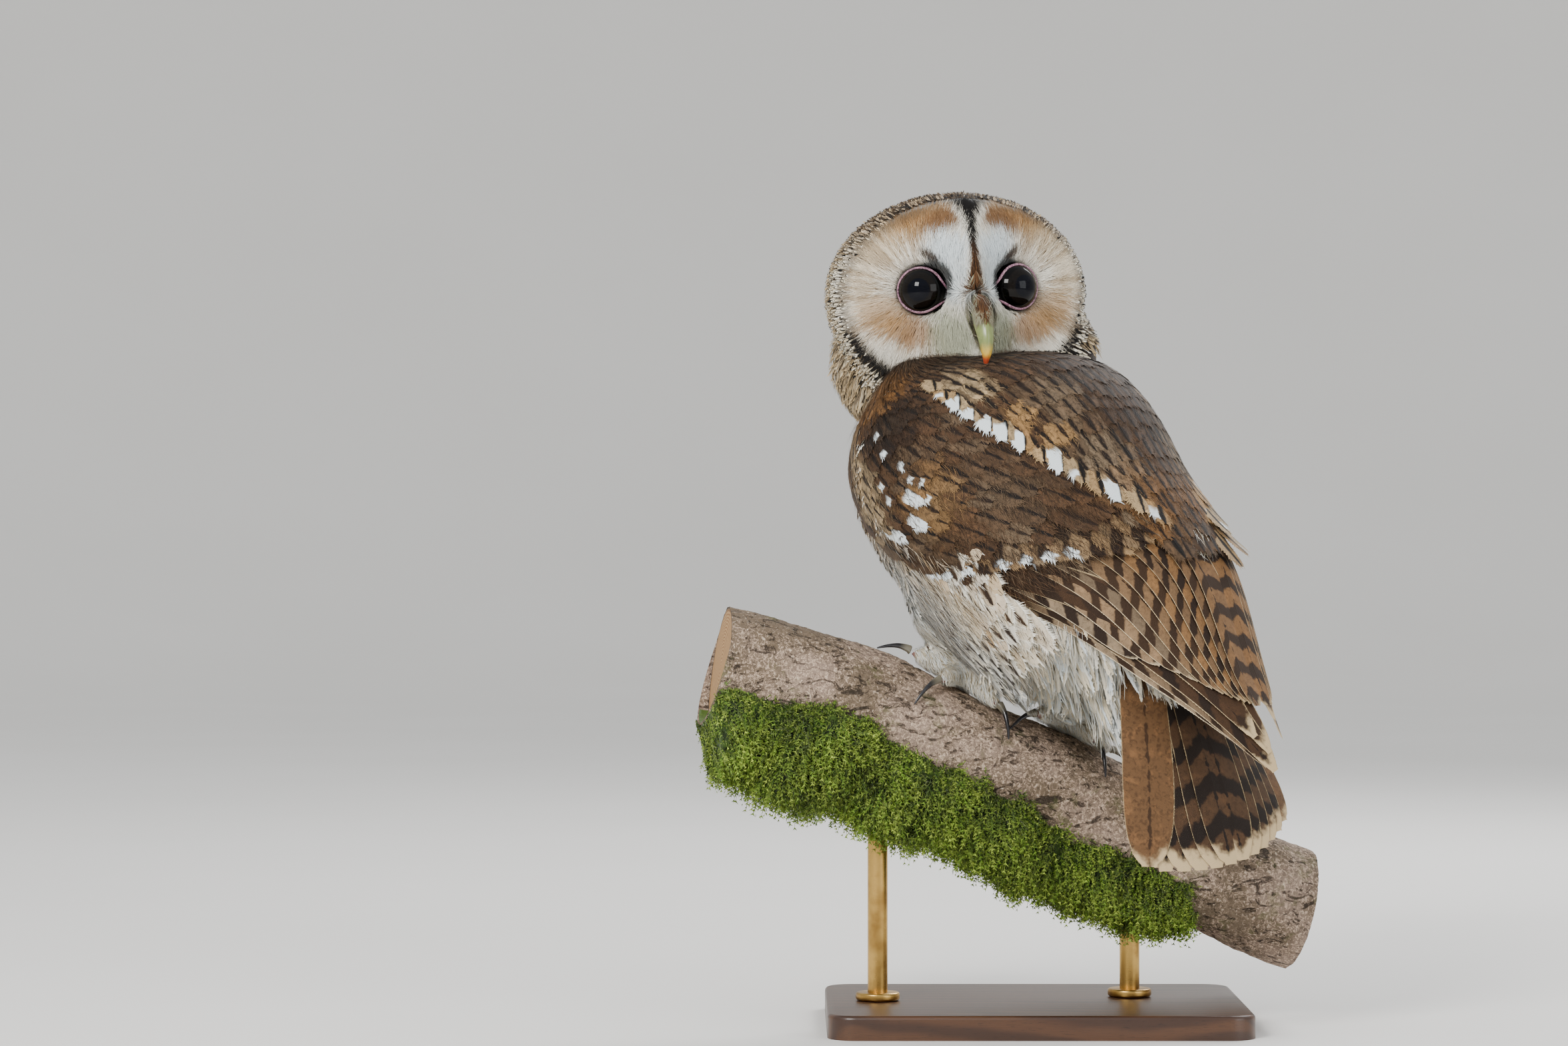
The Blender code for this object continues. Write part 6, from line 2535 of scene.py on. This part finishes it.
# ================================ tail ==========================================================
@dataclass
class TailCoat:
    """Twelve tail feathers in a slightly spread fan; sizes in mm."""

    body: BodyCoat
    root: tuple[float, float] = (-84.0, 27.0)
    tip: tuple[float, float] = (-217.0, -10.0)
    root_half: float = 17.0
    tip_half: float = 49.0
    roll: float = math.radians(22.0)
    arch: float = 5.0
    rounding: float = 17.0
    feathers: int = 12
    length: float = 136.0 * MM
    vane: Vane = Vane(rows=24, columns=9, blunt=9.0, waist=0.16, camber=0.07, fringe=0.04, ragged=0.002,
                      barbs=4)

    def place(self, w: Array, v: Array, rise: Array) -> Array:
        """A place on the fan: w across, 1 at the bird's left, and v along.

        Args:
            w: place across the fan, -1 to 1.
            v: place along it, 0 at the root.
            rise: height over the fan in mm.

        Returns:
            Places in the room.
        """
        half = self.root_half + (self.tip_half - self.root_half) * v ** 0.9
        tip = self.tip[0] + self.rounding * w * w
        s = self.root[0] + (tip - self.root[0]) * v
        middle = self.root[1] + (self.tip[1] - self.root[1]) * (0.35 * v + 0.65 * v ** 1.7)
        roll = self.roll * v
        t = w * half * np.cos(roll)
        return self.body.bird.body(s, t, middle - w * half * np.sin(roll) - self.arch * w * w + rise)

    def build(self, material: Material) -> None:
        """Makes the tail in place of its solid.

        Args:
            material: the finish.
        """
        rng = self.body.rng
        coat = Coat("tail_feathers", Layout.CELLS, rng)
        w = np.linspace(-0.9, 0.9, self.feathers)
        v = np.broadcast_to(self.vane.shares[None], (self.feathers, self.vane.rows))
        order = np.where(w > 0.75, 1.2, 0.3 - 1.9 * np.abs(w))
        rise = order[:, None] + np.zeros_like(v)
        middle = self.place(w[:, None] + 0.0 * v, v, rise)
        left = unit(self.place(w[:, None] + 0.05 + 0.0 * v, v, rise) - middle)
        lay = Lay.along(middle, unit(np.cross(left, unit(np.gradient(middle, axis=1)))))
        plain = np.abs(w) > 0.8
        tone = np.where(plain[:, None], blend(Dye.TAWNY.rgb, Dye.OCHRE.rgb, np.float64(0.12)),
                        blend(Dye.TAWNY.rgb, Dye.PEAT.rgb, np.float64(0.6)))
        mark = np.where(plain[:, None], Dye.PEAT.rgb, blend(Dye.SOOT.rgb, Dye.UMBER.rgb, np.float64(0.6)))
        dyes = Dyes.of(rng, self.feathers, tone, mark, Dye.SAND.rgb, mottle=np.where(plain, 0.95, 0.6),
                       streak=0.03, bars=np.where(plain, 0.0, 0.36), edge=0.05,
                       tip=np.where(plain, 0.03, 0.06))
        coat.add(self.vane, lay, np.where(plain, 13.5, 12.0) * MM, np.full(self.feathers, self.length), dyes,
                 tilt=0.05 * -np.sign(w))
        coat.finish(material, "tawny_feathers", ["tail"])


# ================================ eyes, bill and claws ==========================================
@dataclass
class Eyes:
    """Both eyes and the rims of their lids."""

    bird: Bird
    segments: int = 96
    rings: int = 64
    lid_sides: tuple[int, int] = (120, 16)
    spread_turn: float = math.radians(22.0)
    rim_reach: float = 11.3
    rim_thick: float = 0.85
    corner: float = 1.7
    corner_turn: float = math.radians(14.0)
    corner_spread: float = 0.42

    def gaze(self, side: int) -> tuple[Array, Array, Array]:
        """An eye's axis, its way towards the bill, and its up."""
        turn = self.spread_turn * side
        out = self.bird.out * math.cos(turn) + self.bird.right * math.sin(turn)
        inner = unit(-side * (self.bird.right - out * float(self.bird.right @ out)))
        return out, inner, self.bird.up

    def ball(self, node: str, side: int, material: Material) -> None:
        """A smooth eyeball in place of the solid.

        Args:
            node: the solid of the eye.
            side: 1 for the bird's left, -1 for its right.
            material: the finish.
        """
        centre, size = box(node)
        radius = float(size.max() / 2)
        name = node.replace("eye", "eyeball")
        obj = primitive("uv_sphere", name, segments=self.segments, ring_count=self.rings, radius=radius,
                        location=centre)
        out, inner, up = self.gaze(side)
        away = unit(read(obj) - centre)
        angle = np.arccos(np.clip(away @ out, -1.0, 1.0))
        turn = np.arctan2(away @ up, away @ inner) / math.tau
        obj.data.uv_layers[0].name = "OFBake"
        add_map(obj.data, "Gaze", np.stack((angle, turn), axis=1))
        obj.data.shade_smooth()
        hand_in(obj, material, [node])

    def lid(self, node: str, side: int, material: Material) -> None:
        """The rim of the lids: a soft ring on the eyeball, drawn to a point at the inner corner.

        Args:
            node: the solid of the eye.
            side: 1 for the bird's left, -1 for its right.
            material: the finish.
        """
        centre, size = box(node)
        radius = float(size.max() / 2)
        out, inner, up = self.gaze(side)
        major, minor = self.lid_sides
        obj = primitive("torus", node.replace("eye", "eyelid"), major_segments=major, minor_segments=minor,
                        major_radius=1.0, minor_radius=0.25)
        x, y, height = read(obj).T
        turn = np.arctan2(y, x)
        across = np.hypot(x, y) - 1.0
        offset = np.angle(np.exp(1j * (turn + self.corner_turn)))
        point = self.corner * np.exp(-(offset / self.corner_spread) ** 2)
        reach = self.rim_reach + point - 0.35 * np.abs(np.sin(turn))
        reach = reach * MM / radius
        drop = np.sqrt(np.maximum(1.0 - reach ** 2, 0.0))
        thick = self.rim_thick * MM * 4.0
        ring = (inner * np.cos(turn)[:, None] + up * np.sin(turn)[:, None])
        foot = ring * (reach * radius)[:, None] + out * (drop * radius)[:, None]
        lift = unit(foot)
        slope = unit(ring * drop[:, None] - out * reach[:, None])
        wrinkle = 1.0 + 0.05 * np.sin(turn * 31.0) * np.sin(turn * 13.0 + 1.0)
        co = centre + foot + slope * (across * thick * 0.9)[:, None]
        co = co + lift * (height * thick * 0.62 * wrinkle + 0.15 * MM)[:, None]
        face_out(move_to(obj, co))
        hand_in(obj, material)

    def build(self, ball: Material, rim: Material) -> None:
        """Makes both eyes and lids."""
        for node, side in (("eye_left", 1), ("eye_right", -1)):
            self.ball(node, side, ball)
            self.lid(node, side, rim)


def tube(name: str, path: Array, halves: Array, across: Array, sides: int = 24) -> Object:
    """A tapered round body shaped from a cylinder, with the map Ridge along it and up it.

    Args:
        name: the piece's name.
        path: its middle line.
        halves: half width and half height at each station.
        across: the direction of its width.
        sides: how many sides it has.

    Returns:
        The object.
    """
    rings = len(path)
    obj, round_, along = sheet(name, sides, rings - 1)
    turn = round_ * math.pi
    row = np.clip(np.rint((along + 1.0) / 2.0 * (rings - 1)).astype(int), 0, rings - 1)
    ahead = unit(np.gradient(path, axis=0))
    side = unit(across - ahead * (ahead @ across)[:, None])
    up = np.cross(side, ahead)
    placed = (path[row] + side[row] * (halves[row, 0] * np.sin(turn))[:, None]
              + up[row] * (halves[row, 1] * np.cos(turn))[:, None])
    ridge = np.stack((row / (rings - 1), 0.5 + 0.5 * np.cos(turn)), axis=1)
    add_map(obj.data, "Ridge", ridge)
    move_to(obj, placed)
    obj.data.uv_layers[0].name = "OFBake"
    with editing(obj):
        bpy.ops.mesh.remove_doubles(threshold=1e-6)
        bpy.ops.mesh.select_all(action="DESELECT")
        bpy.ops.mesh.select_non_manifold(extend=False)
        bpy.ops.mesh.edge_face_add()
    return face_out(obj)


@dataclass
class Bill:
    """The bill: a hooked upper half with a ridge and nostrils, over the lower half."""

    bird: Bird
    path: Table = ((-5.0, 36.0), (-12.0, 47.5), (-22.0, 55.0), (-31.0, 56.5), (-38.5, 52.5))
    halves: Table = ((3.6, 3.0), (5.0, 5.6), (4.2, 4.8), (2.7, 3.0), (0.35, 0.45))
    low_path: Table = ((-12.0, 36.0), (-20.0, 43.5), (-27.0, 48.0), (-32.0, 49.5))
    low_halves: Table = ((5.0, 3.4), (4.2, 3.0), (2.7, 2.4), (0.8, 1.0))
    low_map: float = 0.55
    rings: tuple[int, int] = (44, 20)
    sides: int = 36
    ridge: tuple[float, float] = (0.3, 0.9)  # height and half width of the ridge on top
    nostril: tuple[float, float] = (4.4, -15.0)
    nostril_size: float = 1.5
    nostril_depth: float = 1.1

    def half(self, name: str, path: Table, halves: Table, rings: int) -> Object:
        """One half of the bill, smoothed through its stations.

        Args:
            name: the piece's name.
            path: rows of y and z of its middle line on the face, in mm.
            halves: rows of half width and half height, in mm.
            rings: how many stations it has.

        Returns:
            The object.
        """
        stations = np.linspace(0.0, len(path) - 1.0, rings)
        rows = between([(i, *p) for i, p in enumerate(path)], stations)
        sizes = between([(i, *h) for i, h in enumerate(halves)], stations) * MM
        middle = self.bird.face(np.zeros(rings), rows[:, 0], rows[:, 1])
        return tube(name, middle, sizes, self.bird.right, self.sides)

    def build(self, material: Material) -> None:
        """Makes both halves in place of their solids.

        Args:
            material: the finish.
        """
        upper = self.half("upper_bill", self.path, self.halves, self.rings[0])
        co = read(upper)
        x, y, z = self.bird.on_face(co)
        height, half = self.ridge
        crest = np.exp(-(x / half) ** 2) * height * step(-3.0, -12.0, y) * step(40.0, 50.0, z)
        across, up = self.nostril
        for side in (-1, 1):
            pit = np.exp(-(((y - up) / self.nostril_size) ** 2
                           + ((x - side * across) / self.nostril_size) ** 2))
            crest = crest - self.nostril_depth * pit
        move_to(upper, co + read(upper, "normal") * (crest * MM)[:, None])
        hand_in(upper, material, ["bill_upper"])
        lower = self.half("lower_bill", self.low_path, self.low_halves, self.rings[1])
        values = np.empty(len(lower.data.loops) * 2, np.float32)
        layer = lower.data.uv_layers["Ridge"].uv
        layer.foreach_get("vector", values)
        layer.foreach_set("vector", values * np.float32(self.low_map))
        hand_in(lower, material, ["bill_lower"])


@dataclass
class Claws:
    """The eight claws, smoothed from their solids, slimmer and more hooked."""

    swell: float = 0.25 * MM
    hook: float = 1.3 * MM
    slim: float = 0.22

    def build(self, material: Material) -> None:
        """Makes each claw in place of its solid.

        Args:
            material: the finish.
        """
        for node in [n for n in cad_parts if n.startswith("claw_")]:
            obj = copy_of(node.replace("claw", "talon"), [node])
            toe, _ = box(node.replace("claw", "toe"))
            modify(obj, "SUBSURF", levels=3, render_levels=3)
            co = read(obj) + read(obj, "normal") * self.swell
            away = np.linalg.norm(co - toe, axis=1)
            along = (away - away.min()) / np.ptp(away)
            base, point = co[along < 0.08].mean(axis=0), co[along > 0.97].mean(axis=0)
            axis = unit(point - base)
            shaft = base + axis * ((co - base) @ axis)[:, None]
            co = shaft + (co - shaft) * (1.0 - self.slim * np.sin(math.pi * along))[:, None]
            up = unit(np.array((0.0, 0.0, 1.0)) - axis * axis[2])
            move_to(obj, co + up * (self.hook * np.sin(math.pi * np.clip(along, 0, 1)))[:, None])
            unwrap(obj)
            add_map(obj.data, "Ridge", np.stack((along, np.zeros(len(along))), axis=1))
            obj.data.shade_smooth()
            hand_in(obj, material, [node])


# ================================ perch =========================================================
@dataclass
class Perch:
    """The cut branch, with swelling bark and sawn ends, and the moss that hangs from it; in mm."""

    rng: Chance
    radius: float = 32.0
    top: Table = ((-152, 210), (-126, 202.3), (-74.5, 186.3), (0, 151.9), (142, 85.6))
    depth: tuple[float, float] = (6.0, 0.14)
    inset: float = 1.6
    rings: int = 260
    sides: int = 220
    moss_sides: tuple[float, float] = (80.0, 220.0)
    moss_hang: float = 34.0
    moss_reach: float = 0.9
    moss_grid: tuple[int, int] = (220, 110)
    cushion: tuple[str, str, str] = ("16220a", "3d5617", "55731f")  # deep, middle, edge
    shoot_roots: tuple[str, str] = ("16260c", "355417")
    shoot_tips: tuple[str, str] = ("6f9427", "a9bd4a")
    shoot_pieces: int = 3
    shoots_each: int = 9600
    shoot_length: tuple[float, float] = (5.0, 11.0)
    stations: int = 5

    def height(self, x: Array) -> Array:
        """Height of the branch's upper line."""
        return between(self.top, x)[..., 0]

    def bark(self, x: Array, degrees: Array, out: Array) -> tuple[Array, Array, Array]:
        """Places on the bark, round and along the branch.

        Args:
            x: place along the branch.
            degrees: angle from the top, + to the viewer.
            out: height over the bark.

        Returns:
            The places, the outward directions, and the directions along the branch.
        """
        slope = (self.height(x + 2.0) - self.height(x - 2.0)) / 4.0
        along = unit(np.stack((np.ones_like(x), np.full_like(x, self.depth[1]), slope), axis=-1))
        up = unit(np.array((0.0, 0.0, 1.0)) - along * along[..., 2:])
        middle = np.stack((x, self.depth[0] + self.depth[1] * x, self.height(x)), axis=-1)
        front = np.cross(along, up)
        front = front * np.where(front[..., 1:2] > 0, -1.0, 1.0)
        a = np.radians(degrees)
        swell = 0.9 * np.sin(0.045 * x + 2 * a) + 0.7 * np.sin(0.085 * x - 3 * a + 1.0) - self.inset
        way = up * np.cos(a)[..., None] + front * np.sin(a)[..., None]
        places = middle - up * self.radius + way * (self.radius + swell + out)[..., None]
        return places * MM, way, along

    def log(self, bark: Material, cut: Material) -> None:
        """The branch itself, with its sawn ends.

        Args:
            bark: the finish of its sides.
            cut: the finish of its sawn ends.
        """
        obj, along, round_ = sheet("branch_bark", self.rings, self.sides)
        low, high = self.top[0][0], self.top[-1][0]
        x = low + (high - low) * (along + 1.0) / 2.0
        flat, way, _ = self.bark(x, round_ * 180.0, np.zeros(len(x)))
        rough = 0.55 * wander(flat, 210.0) + 0.35 * wander(flat, 480.0, 2.0) + 0.5 * wander(flat, 80.0, 4.0)
        crack = np.abs(wander(flat * np.array((0.45, 1.0, 1.0)), 130.0, 6.0))
        rough = rough - 0.9 * np.exp(-(crack / 0.035) ** 2)
        move_to(obj, flat + way * (rough * 0.8 * MM)[:, None])
        with editing(face_out(obj), mode="FACE"):
            bpy.ops.mesh.fill_holes(sides=0)
            bpy.ops.mesh.select_all(action="DESELECT")
            pick(obj, "faces", lambda face: len(face.verts) > 4)
            bpy.ops.mesh.inset(thickness=1.0 * MM)
            bpy.ops.mesh.poke()
        unwrap(obj)
        self.ring_map(obj)
        smooth_by(obj, 50.0)
        hand_in(obj, bark, ["perch_branch"])
        obj.data.materials.append(cut)
        co = read(obj)
        sawn = np.zeros(len(co), bool)
        for end in (low, high):
            heart, _, along = self.bark(np.array([float(end)]), np.zeros(1), np.array([-self.radius]))
            sawn |= np.abs((co - heart) @ along[0]) < 0.2 * MM
        for face in obj.data.polygons:
            face.material_index = int(sawn[list(face.vertices)].all())

    def ring_map(self, obj: Object) -> None:
        """A map from the heart of the wood out to the bark.

        Args:
            obj: the branch.
        """
        co = read(obj)
        x = co[:, 0] / MM
        middle, _, _ = self.bark(x, np.zeros_like(x), np.full_like(x, -self.radius + self.inset))
        away = co - middle
        turn = np.arctan2(away[:, 1], away[:, 2]) / math.tau
        add_map(obj.data, "Rings", np.stack((np.linalg.norm(away, axis=1) / (self.radius * MM), turn), axis=1))

    def moss_place(self, u: Array, v: Array) -> tuple[Array, Array]:
        """Place along the branch and angle, for shares round (u) and along (v) the moss."""
        low, high = self.top[0][0], self.top[-1][0]
        first, last = self.moss_sides
        return low + (high - low) * self.moss_reach * v, first + (last - first) * u

    def moss_thickness(self, u: Array, v: Array, x: Array) -> Array:
        """Depth of the moss: u round the branch, v along it."""
        hang = np.sin(math.pi * (0.04 + 0.92 * np.clip(u, 0.0, 1.0))) ** 1.3
        lump = 1.0 + 0.12 * np.sin(0.11 * x) + 0.1 * np.sin(0.23 * x + 5 * u)
        ends = np.sin(math.pi * (0.12 + 0.83 * v)) ** 0.35
        return 2.5 + self.moss_hang * hang * lump * (1.0 - 0.72 * v) * ends

    def cover(self, u: Array, v: Array, places: Array) -> Array:
        """How far the moss has grown at each place: 0 on bare bark, 1 at its full depth."""
        ragged = 0.08 + 0.13 * wander(places, 34.0, 8.0) + 0.07 * wander(places, 95.0, 9.0) + 0.10 * v
        ends = step(0.0, 0.05, v) * step(0.0, 0.03, 1.0 - v - 0.4 * ragged)
        return step(0.0, 0.26, u - ragged) * step(0.0, 0.05, 1.0 - u) * ends

    def moss(self, material: Material) -> None:
        """A dark cushion under thousands of small feathery shoots.

        Args:
            material: the finish.
        """
        obj, along, round_ = sheet("moss_cushion", *self.moss_grid)
        v, u = (along + 1) / 2, (round_ + 1) / 2
        x, degrees = self.moss_place(u, v)
        places, way, _ = self.bark(x, degrees, np.zeros_like(x))
        grown = self.cover(u, v, places)
        lumps = 0.82 + 0.30 * wander(places, 60.0, 3.0) + 0.2 * wander(places, 190.0, 5.0)
        out = self.moss_thickness(u, v, x) * 0.76 * lumps * grown - 2.4 * (1.0 - step(0.12, 0.4, grown))
        move_to(obj, places + way * (out * MM)[:, None])
        deep, middle, edge = (linear(tone) for tone in self.cushion)
        tone = blend(deep, middle, step(-0.2, 0.5, wander(places, 260.0, 7.0)))
        tone = blend(tone, edge, 0.6 * (1.0 - step(0.3, 0.8, grown)))
        dye_vertices(obj.data, "tone", tone)
        obj.data.uv_layers[0].name = "OFBake"
        face_out(obj)
        hand_in(obj, material)
        for part in range(self.shoot_pieces):
            self.shoots(f"moss_shoots_{part + 1}", material, ["perch_moss"] if part == 0 else [])

    def shoots(self, name: str, material: Material, nodes: Sequence[str]) -> None:
        """Curved moss shoots with side leaves, rooted in the cushion.

        Args:
            name: the piece's name.
            material: its finish.
            nodes: the solids that it stands for.
        """
        rng, stations = self.rng, self.stations
        count = self.shoots_each
        v, u = rng.random(count), rng.random(count) ** 1.1
        x, degrees = self.moss_place(u, v)
        bare, _, _ = self.bark(x, degrees, np.zeros_like(x))
        grown = self.cover(u, v, bare)
        kept = grown > rng.uniform(0.01, 0.12, count)
        v, u, x, degrees, bare, grown = (part[kept] for part in (v, u, x, degrees, bare, grown))
        count = len(v)
        thick = self.moss_thickness(u, v, x) * grown + 1.0
        root, way, _ = self.bark(x, degrees, thick * rng.uniform(0.45, 0.84, count))
        length = rng.uniform(*self.shoot_length, count) * MM * (0.5 + 0.5 * np.minimum(1.0, thick / 12.0))
        locks = np.stack([wander(bare, 75.0, seed) for seed in (1.0, 2.0, 3.0)], axis=1)
        droop = np.array((0.0, 0.0, -1.0)) * (rng.uniform(0.1, 0.9, count) * step(0.2, 0.8, grown))[:, None]
        ahead = way * 0.8 + droop * 0.6 + locks * 1.1 + rng.normal(0, 0.33, (count, 3))
        ahead[:, 0] = np.where(v < 0.07, np.abs(ahead[:, 0]), ahead[:, 0])
        ahead = unit(ahead)
        t = np.linspace(0.0, 1.0, stations)
        bend = unit(rng.normal(0, 1.0, (count, 3)) + np.array((0.0, 0.0, -0.8)))
        stem = (root[:, None] + ahead[:, None] * (length[:, None] * t)[..., None]
                + bend[:, None] * (length[:, None] * 0.35 * t ** 2)[..., None])
        forward = unit(np.gradient(stem, axis=1))
        side = unit(np.cross(forward, rng.normal(0, 1, (count, 1, 3))))
        half = 0.33 * MM * (1.05 - t)[None, :, None]
        tone_tip = blend(*(linear(tone) for tone in self.shoot_tips), rng.random(count))
        tone_root = blend(*(linear(tone) for tone in self.shoot_roots), rng.random(count))
        shade = (rng.uniform(0.5, 1.15, count) * (0.85 + 0.4 * wander(bare, 50.0, 11.0)))[:, None]
        points = [np.stack((stem - side * half, stem + side * half), axis=2).reshape(-1, 3)]
        quads = quads_of(np.arange(count * stations * 2).reshape(count, stations, 2))
        tones = [(blend(tone_root[:, None], tone_tip[:, None], np.broadcast_to(t, (count, stations)))
                  * shade[:, None]).repeat(2, axis=1).reshape(-1, 3)]
        rungs = np.stack((np.tile((0.0, 1.0), stations), np.repeat(t, 2)), 1)
        owners, offsets = [np.repeat(np.arange(count), stations * 2)], [np.tile(rungs, (count, 1))]
        tris, used = [], count * stations * 2
        normal = np.cross(side, forward)
        for k in range(1, stations):
            for sign in (-1.0, 1.0):
                base = stem[:, k - 1] * 0.4 + stem[:, k] * 0.6
                reach = length * rng.uniform(0.16, 0.34, count) * (1.15 - 0.5 * t[k])
                leaf = unit(forward[:, k] * 0.9 + side[:, k] * sign
                            + normal[:, k] * rng.normal(0, 0.4, (count, 1)))
                wide = forward[:, k] * (0.5 * MM)
                trio = np.stack((base - wide, base + leaf * reach[:, None], base + wide), axis=1)
                points.append(trio.reshape(-1, 3))
                tris.append(np.arange(count * 3).reshape(count, 3) + used)
                used += count * 3
                leaf_tone = blend(tone_root, tone_tip, np.full(count, min(1.0, t[k] + 0.15))) * shade
                tones.append(np.repeat(leaf_tone, 3, axis=0))
                owners.append(np.repeat(np.arange(count), 3))
                patch = np.array(((0.5, t[k] - 0.1), ((sign + 1.0) / 2.0, t[k]), (0.5, t[k])))
                offsets.append(np.tile(patch, (count, 1)))
        obj = linked(name, mesh_of(name, np.concatenate(points), [quads], tris))
        dye_vertices(obj.data, "tone", np.concatenate(tones))
        corner = np.stack((v, u), axis=1) * (1.0 - 2 * PATCH) + PATCH
        add_map(obj.data, "OFBake", corner[np.concatenate(owners)] + (np.concatenate(offsets) - 0.5) * PATCH)
        hand_in(obj, material, nodes)


@dataclass
class Stand:
    """The walnut base and the two brass rods with their collars."""

    corner: float = 14.0 * MM
    edge: float = 2.2 * MM
    rod_ease: float = 0.4 * MM
    collar_ease: float = 1.2 * MM

    def ease(self, obj: Object, width: float, segments: int, wanted: Callable[..., bool]) -> None:
        """Bevels the edges of a plate.

        Args:
            obj: the plate.
            width: the bevel's width.
            segments: its segments.
            wanted: tells from an edge's two ends and the plate's top whether it is bevelled.
        """
        top = max(v.co.z for v in obj.data.vertices)
        with editing(obj, "DESELECT", "EDGE"):
            pick(obj, "edges", lambda edge: wanted(*(v.co for v in edge.verts), top))
            bpy.ops.mesh.bevel(offset=width, segments=segments, profile=0.5, affect="EDGES")

    def base(self, material: Material) -> None:
        """A plain base with round corners and an eased upper edge.

        Args:
            material: the finish.
        """
        middle, size = box("stand_base")
        obj = primitive("cube", "walnut_base", size=1.0)
        move_to(obj, middle + read(obj) * size)
        self.ease(obj, self.corner, 12, lambda a, b, top: abs(a.z - b.z) > abs((a - b).to_2d().length))
        self.ease(obj, self.edge, 5, lambda a, b, top: min(a.z, b.z) > top - 1e-5)
        unwrap(obj)
        smooth_by(obj, 35.0)
        hand_in(obj, material, ["stand_base"])

    def rod(self, node: str, name: str, ease: float, material: Material) -> None:
        """A round rod or collar, smooth and with eased ends, in place of its faceted solid.

        Args:
            node: the solid that it replaces.
            name: the piece's name.
            ease: width of the bevel at its ends.
            material: the finish.
        """
        middle, size = box(node)
        obj = primitive("cylinder", name, vertices=72, radius=float(size[:2].max() / 2), depth=float(size[2]),
                        location=middle)
        unwrap(modify(obj, "BEVEL", width=ease, segments=4, limit_method="ANGLE"))
        smooth_by(obj, 35.0)
        hand_in(obj, material, [node])

    def build(self, wood: Material, brass: Material) -> None:
        """Makes the whole stand."""
        self.base(wood)
        for side in SIDES:
            self.rod(f"stand_rod_{side}", f"brass_rod_{side}", self.rod_ease, brass)
            self.rod(f"stand_collar_{side}", f"brass_collar_{side}", self.collar_ease, brass)


# ================================ studio ========================================================
@dataclass(frozen=True)
class Lamp:
    """A square soft light: its name, place, side in metres, power in watts and colour."""

    name: str
    place: tuple[float, float, float]
    size: float
    power: float
    tint: tuple[float, float, float]

    def hang(self, aim: Sequence[float]) -> None:
        """Adds the light to the scene, turned to a place.

        Args:
            aim: the place that it points at.
        """
        data = bpy.data.lights.new(self.name, "AREA")
        data.size, data.energy, data.color = self.size, self.power, self.tint
        obj = linked(self.name, data)
        obj.location = self.place
        obj.rotation_euler = (Vector(aim) - Vector(self.place)).to_track_quat("-Z", "Y").to_euler()


@dataclass
class Studio:
    """A pale floor and backdrop, soft lights and the camera."""

    camera_place: tuple[float, float, float] = (-0.125, -2.177, 0.250)
    lens: float = 100.0
    flat: float = 4.0
    curve: float = 1.6
    wall: float = 1.2
    target: tuple[float, float, float] = (-0.02, 0.0, 0.25)
    lamps: tuple[Lamp, ...] = (Lamp("key", (-0.95, -1.55, 1.25), 0.6, 36.0, (1.0, 0.985, 0.96)),
                               Lamp("fill", (1.5, -1.3, 0.7), 1.1, 12.0, (0.95, 0.98, 1.0)),
                               Lamp("rim", (0.7, 1.2, 1.3), 0.8, 20.0, (1.0, 1.0, 1.0)))
    sky: tuple[float, float, float, float] = (0.86, 0.88, 0.9, 1.0)
    sky_strength: float = 0.9

    def floor(self) -> None:
        """A round pale floor that rises all about the model as one sweep."""
        obj, round_, along = sheet("floor_sweep", 96, 40)
        run = (along + 1.0) / 2.0 * (self.flat + self.curve * math.pi / 2 + self.wall)
        bend = np.clip((run - self.flat) / self.curve, 0.0, math.pi / 2)
        away = np.minimum(run, self.flat) + self.curve * np.sin(bend)
        z = self.curve * (1.0 - np.cos(bend)) + np.maximum(run - self.flat - self.curve * math.pi / 2, 0.0)
        turn = round_ * math.pi
        move_to(obj, np.stack((away * np.cos(turn), away * np.sin(turn), z), axis=1))
        with editing(face_out(obj)):
            bpy.ops.mesh.flip_normals()
        obj.data.materials.append(FloorFinish().build())

    def build(self) -> None:
        """Sets the floor, the lights, the world and the camera."""
        self.floor()
        for lamp in self.lamps:
            lamp.hang(self.target)
        world = bpy.data.worlds.new("studio")
        bpy.context.scene.world = world
        world.use_nodes = True
        background = world.node_tree.nodes["Background"]
        background.inputs["Color"].default_value = self.sky
        background.inputs["Strength"].default_value = self.sky_strength
        data = bpy.data.cameras.new("camera")
        data.lens, data.sensor_width = self.lens, 36.0
        camera = linked("camera", data)
        camera.location = self.camera_place
        camera.rotation_euler = (math.radians(90.0), 0.0, 0.0)
        bpy.context.scene.camera = camera


# ================================ assembly ======================================================
def main() -> None:
    """Builds every piece in order."""
    logging.basicConfig(level=logging.INFO, format="%(message)s")
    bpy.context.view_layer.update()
    rng = np.random.default_rng(9338)
    bird = Bird(Stance())
    marks = BodyMarks(rng)
    markings = vane_markings()
    brown = FeatherFinish("tawny_feather", markings).build()
    pale = FeatherFinish("soft_feather", markings, roughness=0.8, sheen=0.12, relief=0.12, depth=0.12).build()

    skin = Skin(bird)
    body = BodyCoat(bird, skin, marks, rng)
    skin.build(SkinFinish().build(), body.colour)
    HeadCoat(bird, skin, marks, rng).build(brown, pale)
    body.build(brown, pale)
    for name, side in SIDES.items():
        WingCoat(body, side).build(brown, f"wing_{name}")
    TailCoat(body).build(brown)
    Eyes(bird).build(EyeFinish().build(), LidFinish().build())
    Bill(bird).build(BillFinish().build())
    Claws().build(ClawFinish().build())
    perch = Perch(rng)
    perch.log(BarkFinish().build(), CutWoodFinish().build())
    perch.moss(MossFinish().build())
    Stand().build(WalnutFinish().build(), BrassFinish().build())
    Studio().build()


if __name__ == "__main__":
    main()
